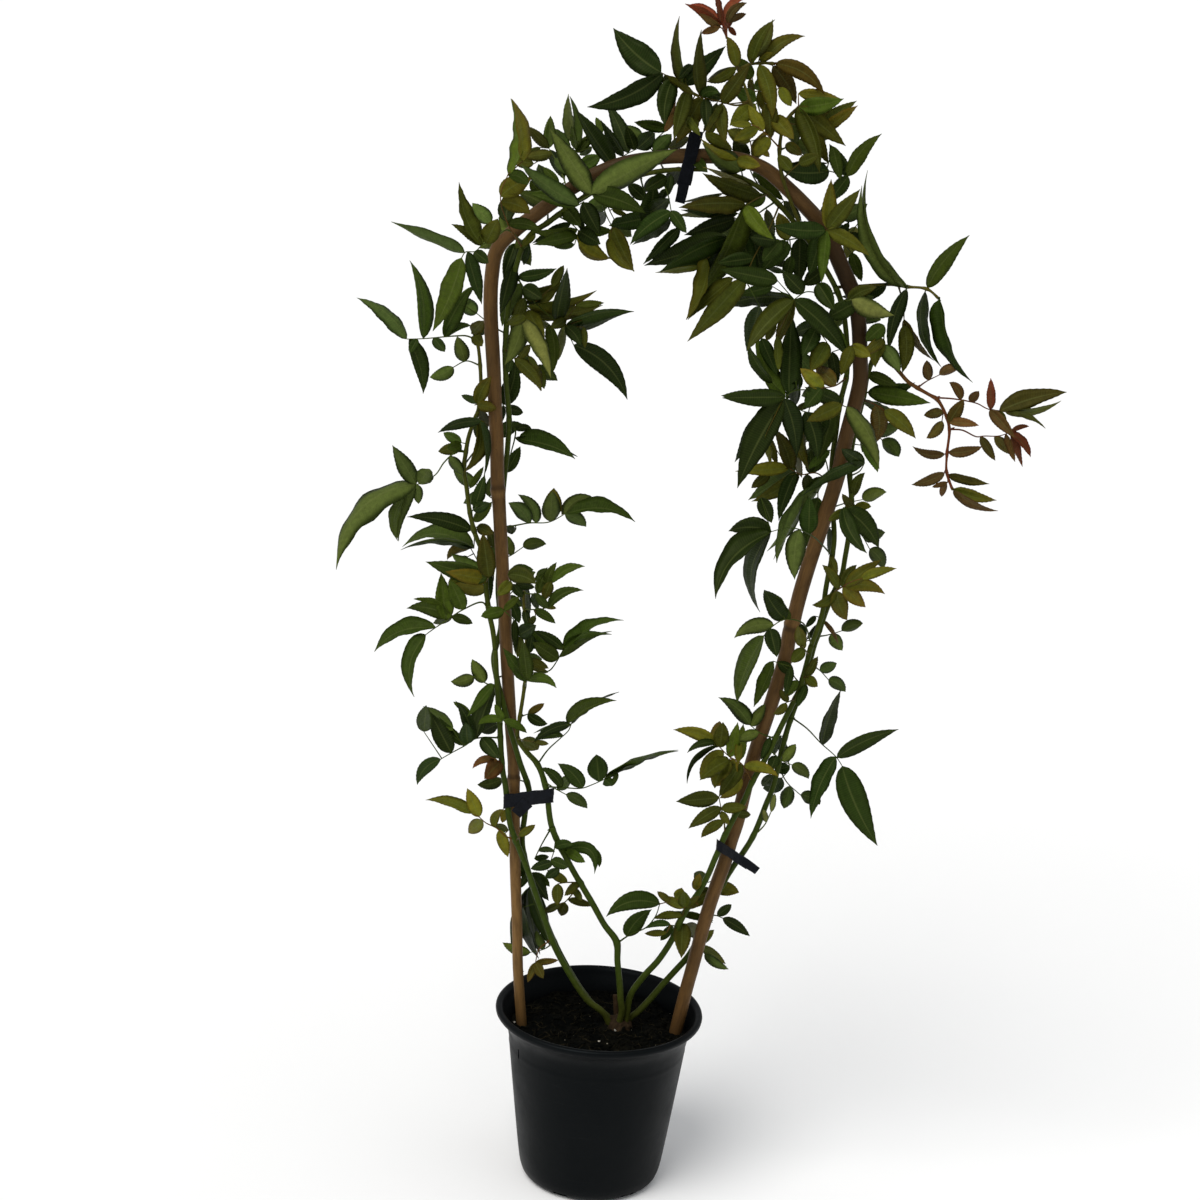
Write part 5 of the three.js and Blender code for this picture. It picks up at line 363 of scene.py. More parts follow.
      [-30, 894, -14, 880, 12, 0], [-35, 908, -56, 900, 12, 0]]],
    [26, "dark", [[10, 937], [0, 952], [-10, 962]], [
      [-10, 962, -30, 972, 11, 0], [0, 952, 14, 968, 12, 0]]],
  ]],
  ["right_front_cane_low", "foliage_olive", ["rightFront", 0, 11], [
    [-8, "olive", [[69, 262], [72, 272]], [
      [70, 272, 49, 280, 8, -1], [72, 273, 70, 288, 10, 0], [74, 271, 84, 284, 6, 0],
      [69, 264, 44, 259, 6, -2]]],
    [6, "olive", [[68, 256], [74, 256]], [[71, 256, 72, 222, 14, 0], [74, 256, 92, 241, 9, 0]]],
    [-4, "dark", [[66, 253], [60, 254]], [[60, 254, 38, 249, 5, -3], [62, 253, 52, 238, 7, 0]]],
  ]],
  ["right_back_cane_low", "foliage_olive", ["rightBack", 0, 13], [
    [0, "bright", [[95, 262], [98, 259]], [[96, 260, 51, 264, 9, -4]]],
    [4, "olive", [[85, 238], [90, 235]], [[89, 235, 113, 219, 8, 0], [87, 237, 100, 252, 7, 0]]],
    [-6, "mid", [[105, 298], [97, 300], [91, 298]], [[91, 298, 78, 306, 11, 0]]],
    [2, "olive", [[104, 298], [98, 294], [93, 287]], [
      [98, 293, 120, 290, 12, 1], [94, 292, 82, 283, 12, 0], [93, 287, 78, 272, 8, 0]]],
    [10, "dark", [[96, 266], [102, 266], [107, 264]], [
      [107, 263, 133, 248, 9, 1], [102, 266, 114, 278, 8, 0]]],
  ]],
  ["right_front_cane_mid", "foliage_gold", ["rightFront", 11, 18], [
    [-6, "olive", [[103, 345], [101, 361], [97, 374], [95, 382]], [
      [94, 380, 57, 374, 13, 0], [97, 371, 70, 349, 11, -1], [99, 358, 82, 341, 9, -2],
      [100, 371, 121, 373, 9, 0]]],
    [-8, "gold", [[123, 398], [113, 414], [102, 420], [94, 427], [88, 433]], [
      [88, 433, 50, 442, 11, -3], [93, 428, 94, 452, 12, 0, "olive"],
      [104, 422, 107, 453, 10, 0, "bright"], [111, 418, 112, 452, 10, 0, "bright"],
      [96, 424, 77, 398, 12, -3], [106, 418, 92, 391, 14, 2], [112, 413, 95, 381, 13, 0, "olive"],
      [116, 412, 147, 404, 9, 4], [91, 430, 66, 392, 7, -9, "dark"], [89, 432, 64, 421, 5, -4, "dark"]]],
    [14, "dark", [[141, 440], [128, 444], [118, 451]], [
      [118, 452, 88, 475, 13, -4], [120, 451, 130, 472, 9, 0], [126, 445, 108, 436, 10, 0, "mid"]]],
    [16, "mid", [[137, 429], [148, 420], [158, 416]], [
      [158, 416, 174, 404, 10, 2], [150, 420, 160, 436, 9, 0]]],
  ]],
  ["right_back_cane_mid", "foliage_dark", ["rightBack", 13, 21], [
    [-12, "dark", [[155, 467], [169, 451], [182, 438.5], [197, 426], [203, 418]], [
      [187, 440, 196, 490, 12.5, 2], [198, 426, 250, 456, 14, 3], [194, 424, 179, 366, 13, -4],
      [204, 418, 241, 344, 21, -3]]],
    [4, "dark", [[150, 441], [154, 421], [156, 412], [150, 403]], [
      [149, 403, 134, 392, 12, 3], [154, 418, 146, 438, 9, 0], [155, 414, 144, 410, 10, 0]]],
    [-4, "pale", [[129, 345], [138, 357], [143, 370]], [
      [143, 370, 145, 388, 4, 0], [139, 360, 136, 372, 5, 0]]],
    [20, "dark", [[146, 414], [156, 398], [168, 388]], [
      [168, 388, 186, 380, 11, 2], [158, 396, 154, 374, 11, 0]]],
  ]],
  ["right_front_cane_high", "foliage_mid", ["rightFront", 18, 23], [
    [-16, "mid", [[170, 542], [157, 549], [141, 551], [132, 545], [124, 535]], [
      [141, 553, 123, 574, 14, 1, "dark"], [132, 545, 98, 531, 12, -5, "light"],
      [122, 532, 105, 470, 10, -5], [130, 541, 137, 516, 12, 0, "dark"], [146, 552, 131, 568, 7, 0]]],
    [-6, "olive", [[165, 520], [158, 528]], [[158, 527, 153, 546, 9, 0], [160, 525, 150, 512, 9, 0]]],
    [-6, "olive", [[161, 498], [166, 500]], [[164, 499, 175, 491, 8, 0], [164, 500, 173, 519, 7, 0]]],
    [10, "dark", [[160, 492], [153, 500], [150, 508]], [
      [150, 508, 147, 480, 7, 0], [152, 502, 138, 512, 9, 0]]],
    [-14, "olive", [[156, 478], [148, 474]], [[148, 474, 138, 463, 7, 2], [150, 475, 142, 486, 6, 0]]],
  ]],
  ["right_back_cane_high", "foliage_gold", ["rightBack", 21, 28], [
    [-6, "gold", [[180, 574], [186, 582], [192, 585]], [
      [192, 585, 221, 611, 11, 1], [191, 584, 227, 580, 11, 5], [190, 583, 211, 567, 11, 0],
      [185, 580, 196, 554, 13, -2], [189, 584, 200, 605, 8, 2, "olive"],
      [184, 579, 164, 566, 8, 4, "olive"], [186, 582, 170, 603, 8, -2, "olive"]]],
    [-4, "gold", [[190, 585], [198, 590], [206, 593]], [[205, 592, 235, 604, 8, 2]]],
    [-8, "bronze", [[172, 543], [175, 554]], [
      [175, 553, 190, 531, 5, 2], [174, 550, 162, 534, 6, 0, "dark"]]],
    [18, "mid", [[171, 537], [182, 540], [192, 544]], [
      [192, 544, 210, 552, 10, 2], [183, 540, 194, 526, 10, 0]]],
    [18, "dark", [[166, 511], [176, 506], [184, 498]], [
      [184, 498, 200, 488, 10, 2], [176, 506, 190, 514, 9, 0]]],
  ]],
  ["right_front_cane_upper", "foliage_dark", ["rightFront", 23, 32], [
    [-20, "dark", [[177, 612], [160, 628], [146, 634], [135, 634], [123, 630]], [
      [120, 628, 119, 556, 11, -13], [117, 627, 79, 566, 9, -13], [118, 630, 86, 628, 15, -4],
      [148, 636, 147, 588, 15, -2, "light"], [156, 631, 154, 664, 14, 0]]],
    [-10, "light", [[174, 656], [163, 660], [161, 668], [165, 677]], [
      [165, 677, 130, 602, 13, -9], [163, 664, 154, 617, 15, 0, "dark"]]],
    [-10, "gold", [[171, 686], [158, 685], [145, 683], [134, 688]], [
      [143, 683, 104, 656, 12, 3], [132, 689, 88, 682, 10, 0], [136, 687, 118, 722, 12, -3, "olive"],
      [140, 684, 129, 640, 11, -2, "dark"], [150, 684, 154, 664, 9, 0, "olive"],
      [152, 686, 152, 706, 8, 0, "dark"]]],
    [28, "dark", [[172, 700], [160, 706], [150, 714]], [
      [150, 714, 134, 728, 12, 0], [160, 706, 146, 696, 12, 0]]],
    [30, "mid", [[174, 655], [186, 660], [200, 664]], [
      [200, 664, 220, 672, 11, 2], [188, 661, 196, 640, 11, 0]]],
  ]],
  ["right_back_cane_upper", "foliage_dark", ["rightBack", 28, 36], [
    [-14, "dark", [[191, 642], [188, 652], [184, 656]], [
      [186, 654, 218, 621, 17, 4], [183, 656, 208, 616, 12, -4], [186, 654, 172, 643, 7, 0, "olive"]]],
    [-4, "olive", [[190, 652], [195, 655]], [[194, 655, 208, 658, 7, 2], [191, 656, 182, 668, 6, 0]]],
    [0, "olive", [[190, 662], [193, 668]], [[192, 667, 200, 688, 8, 3]]],
    [-14, "dark", [[187, 684], [196, 690], [199, 697]], [
      [198, 698, 147, 663, 12, -5], [197, 696, 178, 708, 11, 0]]],
    [20, "dark", [[191, 640], [202, 632], [210, 620]], [
      [210, 620, 224, 604, 12, 2], [203, 630, 222, 636, 11, 0]]],
  ]],
  ["right_front_cane_shoulder", "foliage_dark", ["rightFront", 32, 37], [
    [-24, "dark", [[173, 747], [150, 757], [133, 756], [124, 748]], [
      [123, 743, 91, 667, 20, -3], [125, 751, 72, 746, 14, 0], [127, 756, 126, 823, 17, 0],
      [129, 745, 140, 698, 15, 3], [118, 757, 97, 802, 12, 3, "mid"]]],
    [-14, "mid", [[173, 742], [158, 738], [142, 739], [134, 744]], [
      [132, 740, 152, 686, 12, -3, "olive"], [144, 739, 158, 697, 14, 3, "dark"],
      [162, 740, 150, 705, 12, 0, "dark"], [168, 741, 160, 697, 13, 0]]],
    [-28, "olive", [[173, 750], [176, 746], [179, 745]], [
      [179, 745, 212, 692, 13, 5, "light"], [172, 744, 146, 730, 12, 0],
      [174, 748, 142, 760, 12, 0, "dark"]]],
    [-6, "brown", [[177, 770], [166, 762], [156, 760]], [
      [156, 760, 144, 742, 12, 0, "dark"], [168, 764, 150, 780, 12, 0],
      [158, 761, 137, 776, 11, 0, "gold"]]],
    [28, "dark", [[173, 750], [160, 760], [148, 774]], [
      [148, 774, 130, 790, 13, 0], [160, 760, 140, 752, 13, 0], [156, 764, 162, 788, 13, 0]]],
  ]],
  ["right_back_cane_shoulder", "foliage_dark", ["rightBack", 36, 41], [
    [-22, "brown", [[193, 752], [205, 748], [212, 744]], [
      [212, 743, 241, 721, 12, 2, "olive"], [204, 748, 207, 715, 13, 3]]],
    [-16, "dark", [[193, 757], [198, 760]], [
      [197, 759, 251, 753, 14, 0, "mid"], [196, 759, 236, 770, 13, -3]]],
    [-8, "olive", [[198, 787], [203, 797], [206, 806]], [
      [206, 812, 201, 781, 10, -3], [205, 806, 190, 792, 9, 0, "gold"],
      [204, 800, 222, 778, 12, 2, "light"]]],
    [24, "dark", [[190, 735], [202, 728], [212, 718]], [
      [212, 718, 228, 704, 12, 2], [203, 727, 196, 706, 12, 0], [205, 725, 226, 730, 11, 0]]],
  ]],
  ["bronze_shoot", "foliage_bronze", ["bronze", 0, 12], [
    [-4, "bronze", [[268, 711], [272, 710]], [[270, 710, 299, 718, 8, -2]]],
    [2, "bronze", [[269, 709], [266, 709]], [[267, 709, 239, 714, 6, 4]]],
    [-3, "bronze", [[270, 694], [268, 692]], [[269, 692, 241, 680, 8, 2]]],
    [3, "brown", [[271, 692], [273, 691]], [[272, 691, 308, 685, 8, -1]]],
    [-3, "olive", [[276, 679], [278, 677]], [
      [277, 678, 316, 671, 9, -2], [277, 677, 318, 661.5, 8, -4, "bronze"]]],
    [4, "bronze", [[273, 686], [271, 683]], [[272, 684, 259, 679, 4, 0], [272, 683, 268, 671, 5, -1]]],
    [-4, "brown", [[266, 741], [268, 737]], [
      [267, 736, 279, 758, 10, 0], [269, 736, 294, 736, 6, 1, "bronze"]]],
    [4, "bronze", [[269, 731], [280, 731], [293, 726], [299, 727], [312, 728], [322, 732]], [
      [296, 727, 311, 706, 7, 0, "brown"], [308, 728, 326, 712, 8, 0, "brown"],
      [321, 731, 341, 711, 6, 3, "red"], [322, 731, 335, 702, 6, 0, "red"],
      [318, 730, 328, 706, 5, 0, "bronze"], [322, 732, 337, 738, 4, 2, "red"]]],
    [-4, "bronze", [[254, 758], [268, 758], [280, 757], [291, 755], [300, 751], [311, 750], [319, 749]], [
      [276, 757, 265, 772, 7, -3], [284, 756, 291, 766, 7, 0], [303, 751, 300, 778, 7, 0, "red"],
      [310, 750, 366, 770, 12, 3, "brown"], [315, 749, 362, 762, 8, -4, "olive"],
      [318, 749, 351, 737, 6, 4, "olive"], [309, 750, 317, 738, 6, 0, "olive"],
      [302, 750, 326, 727, 9, 0]]],
    [14, "bronze", [[238, 765], [246, 772], [256, 778]], [
      [256, 778, 274, 786, 8, 2], [247, 773, 244, 790, 8, 0]]],
    [16, "brown", [[256, 756], [262, 748], [262, 738]], [
      [262, 738, 250, 722, 8, 2], [262, 746, 246, 742, 8, 0]]],
  ]],
  ["right_arch_cane_outer", "foliage_dark", ["rightFront", 37, 41], [
    [-22, "dark", [[164, 843], [148, 842], [136, 842], [127, 835]], [
      [127, 833, 62, 823, 13, -5], [128, 833, 178, 787, 16, 4], [126, 834, 90, 788, 11, -4, "olive"],
      [128, 833, 114, 792, 10, 0, "olive"], [134, 842, 116, 858, 12, 0]]],
    [-10, "dark", [[170, 826], [158, 822], [148, 812]], [
      [148, 812, 138, 786, 13, 0], [158, 822, 186, 840, 14, 0], [154, 819, 178, 790, 12, 0, "mid"],
      [150, 815, 128, 806, 12, 0]]],
    [-16, "olive", [[175, 797], [182, 799]], [
      [178, 798, 196, 790, 10, 0, "gold"], [179, 799, 172, 772, 10, 0]]],
    [-12, "pale", [[167, 836], [176, 838]], [
      [176, 838, 213, 827, 14, -2], [173, 837, 196, 850, 10, 2, "olive"]]],
    [28, "dark", [[160, 850], [168, 838], [180, 828]], [
      [180, 828, 202, 822, 13, 0], [170, 836, 164, 812, 13, 0], [174, 832, 194, 842, 12, 0]]],
  ]],
  ["right_outer_side_shoot", "foliage_dark", ["outerStem", 0, 7], [
    [-4, "dark", [[205, 853], [203, 852]], [[204, 853, 166, 840, 11, 3]]],
    [-6, "light", [[221, 852], [223, 853]], [[222, 852, 176, 935, 12, 14]]],
    [-2, "dark", [[222, 852], [221, 849]], [[222, 850, 211, 796, 11, -3]]],
    [4, "olive", [[214, 852], [220, 836], [222, 819]], [
      [222, 818, 224, 777, 12, 3], [221, 824, 250, 790, 8, -3, "brown"]]],
    [4, "bright", [[238, 851], [240, 853]], [[239, 852, 270, 899, 13, 3]]],
    [8, "dark", [[238, 851], [237, 848]], [[237, 849, 257, 785, 11, -9]]],
    [-6, "dark", [[249, 844], [251, 842]], [[250, 843, 285, 773, 12.5, -9]]],
  ]],
  ["right_arch_cane_middle", "foliage_olive", ["rightFront", 41, 44], [
    [-12, "olive", [[137, 882], [144, 892], [151, 897]], [
      [150, 897, 175, 932, 12, 0], [150, 898, 150, 939, 11, 0], [151, 894, 188, 876, 11, 2],
      [149, 896, 104, 897, 13, 2, "dark"], [147, 893, 138, 856, 14, 0, "dark"],
      [151, 893, 149, 850, 9, 0, "mid"]]],
    [-22, "dark", [[132, 889], [120, 886], [108, 884]], [
      [108, 884, 86, 886, 12, 0], [112, 884, 98, 866, 13, 0], [118, 885, 108, 908, 12, 0, "olive"],
      [128, 888, 130, 848, 14, 0]]],
    [8, "dark", [[145, 873], [160, 886], [172, 898], [177, 905]], [
      [158, 884, 168, 904, 8, 0], [174, 900, 168, 872, 12, 0, "pale"], [166, 891, 190, 886, 11, 0]]],
    [30, "dark", [[140, 880], [150, 892], [162, 906]], [
      [162, 906, 182, 920, 12, 0], [152, 894, 146, 918, 12, 0], [154, 897, 176, 890, 12, 0]]],
  ]],
  ["right_arch_cane_inner", "foliage_olive", ["rightFront", 44, 48], [
    [-18, "dark", [[104, 916], [90, 905], [78, 892], [68, 884]], [
      [62, 886, -2, 856, 17, 0], [68, 872, 11, 851, 15, -2], [66, 880, 37, 812, 13, 0],
      [84, 898, 100, 850, 14, 0], [76, 890, 96, 846, 13, 0]]],
    [-26, "olive", [[98, 922], [88, 918], [80, 912]], [
      [80, 913, 24, 907, 13, -2], [80, 912, 106, 885, 12, -2, "bright"],
      [78, 906, 44, 832, 15, 6, "bright"], [90, 928, 42, 937, 14, 2]]],
    [-14, "olive", [[108, 914], [100, 890], [90, 868], [84, 850]], [
      [84, 842, 39, 793, 17, 0], [90, 868, 60, 862, 12, 0, "dark"], [96, 880, 118, 862, 13, 0, "dark"]]],
    [-16, "light", [[76, 934], [74, 942], [70, 950]], [
      [72, 940, 40, 962, 16, 0], [72, 952, 38, 966, 7, 2, "gold"], [70, 950, 90, 946, 10, 0, "gold"]]],
    [12, "mid", [[92, 927], [84, 938], [78, 950]], [
      [78, 950, 66, 968, 12, 0], [84, 938, 104, 944, 12, 0], [80, 946, 58, 948, 12, 0]]],
    [26, "dark", [[82, 931], [78, 912], [72, 896]], [
      [72, 896, 56, 880, 13, 0], [76, 906, 96, 896, 13, 0], [78, 912, 58, 914, 13, 0]]],
  ]],
  ["top_stem", "foliage_olive", ["topStem", 0, 5], [
    [-4, "olive", [[114, 991], [118, 997]], [
      [118, 998, 155, 1006, 13, -2, "bright"], [118, 996, 140, 943, 12, 3], [118, 997, 160, 967, 14, 0]]],
    [-6, "olive", [[106, 981], [96, 990], [92, 1004]], [
      [93, 1000, 97, 968, 12, 0], [98, 988, 116, 970, 12, 0, "gold"]]],
    [8, "olive", [[108, 983], [124, 982], [136, 984]], [
      [136, 984, 166, 1005, 9, 0], [126, 983, 144, 996, 6, 0], [128, 982, 147, 951, 11, 0, "gold"]]],
    [-10, "gold", [[105, 962], [94, 972], [86, 978]], [
      [86, 978, 66, 966, 9, 0], [90, 975, 76, 996, 9, 0], [96, 970, 84, 954, 10, 0]]],
    [4, "dark", [[107, 948], [128, 948], [150, 945], [164, 942]], [
      [148, 946, 108, 944, 17, 2], [166, 942, 146, 968, 10, 0], [167, 943, 189, 979, 11, 4, "bright"],
      [166, 941, 150, 920, 11, 0], [112, 948, 147, 952, 7, 0, "olive"], [158, 944, 174, 958, 7, 0]]],
    [-8, "olive", [[110, 936], [116, 944], [122, 950]], [
      [122, 950, 138, 958, 9, 0], [116, 944, 104, 956, 9, 0]]],
    [22, "mid", [[105, 960], [116, 966], [126, 972]], [
      [126, 972, 148, 978, 12, 0], [117, 967, 112, 990, 11, 0], [118, 968, 138, 960, 12, 0]]],
  ]],
  ["top_shoot", "foliage_olive", ["topShoot", 0, 7], [
    [-6, "olive", [[77, 998], [66, 995], [55, 997], [38, 1000], [25, 1006], [20, 1010], [2, 1018]], [
      [3, 1021, -40, 1052, 20, 3, "dark"], [2, 1014, -58, 986, 16, 6, "dark"], [5, 1016, 13, 1001, 9, 0],
      [23, 1006, 14, 1065, 9, 4.5], [37, 1001, 33, 1055, 10, 3], [22, 1010, 54, 1043, 13, 0, "dark"],
      [37, 1002, 51, 1004, 8, 3, "dark"], [12, 1013, 8, 974, 14, -3, "dark"], [24, 1004, 16, 963, 11, 0],
      [37, 998, 18, 960, 14, 0], [40, 998, 44, 972, 9, 0, "dark"]]],
    [-12, "olive", [[70, 996], [60, 996], [54, 996]], [
      [54, 996, 75, 1030, 12, 0], [53, 995, 60, 963, 10, -2], [52, 994, 42, 970, 6, 0]]],
    [-4, "olive", [[65, 1025], [63, 1027]], [[63, 1026, 40, 1013, 7, 3], [64, 1027, 54, 1051, 9, -2]]],
    [12, "mid", [[90, 983], [82, 1002], [78, 1018]], [
      [78, 1018, 62, 1034, 11, 0], [80, 1010, 98, 1020, 11, 0], [83, 1000, 64, 1008, 11, 0]]],
    [18, "olive", [[98, 978], [90, 970], [80, 966]], [
      [80, 966, 60, 974, 11, 0], [90, 970, 84, 950, 11, 0]]],
  ]],
  ["top_arm", "foliage_olive", ["topArm", 0, 3], [
    [-2, "olive", [[75, 1029], [77, 1030]], [[76, 1030, 93, 1067, 9, 4]]],
    [2, "olive", [[85, 1031], [87, 1032]], [[86, 1031, 119, 1055, 9, 6]]],
    [-3, "brown", [[95, 1031], [97, 1031]], [[96, 1031, 139, 1008, 12, 6]]],
    [-6, "olive", [[82, 1031], [83, 1029]], [[82, 1029, 97, 985, 12, 3]]],
    [3, "brown", [[93, 1031], [94, 1029]], [[94, 1029, 116, 999, 13, 2]]],
  ]],
  ["red_shoot_tip", "foliage_red", ["redTip", 0, 2], [
    [-3, "red", [[52, 1057], [49, 1061]], [[50, 1060, 18, 1075, 6, -2], [50, 1061, 44, 1083, 5, 0]]],
    [3, "bronze", [[52, 1057], [55, 1063]], [[53, 1062, 69, 1079, 6, 4], [55, 1062, 69, 1070, 5, 1]]],
    [-5, "bronze", [[52, 1056], [48, 1058]], [[49, 1058, 30, 1068, 5, 0], [48, 1058, 33, 1052, 5, 0]]],
    [4, "red", [[52, 1056], [56, 1059]], [[55, 1059, 62, 1052, 4, 0], [53, 1058, 54, 1072, 8, 0]]],
  ]],
]

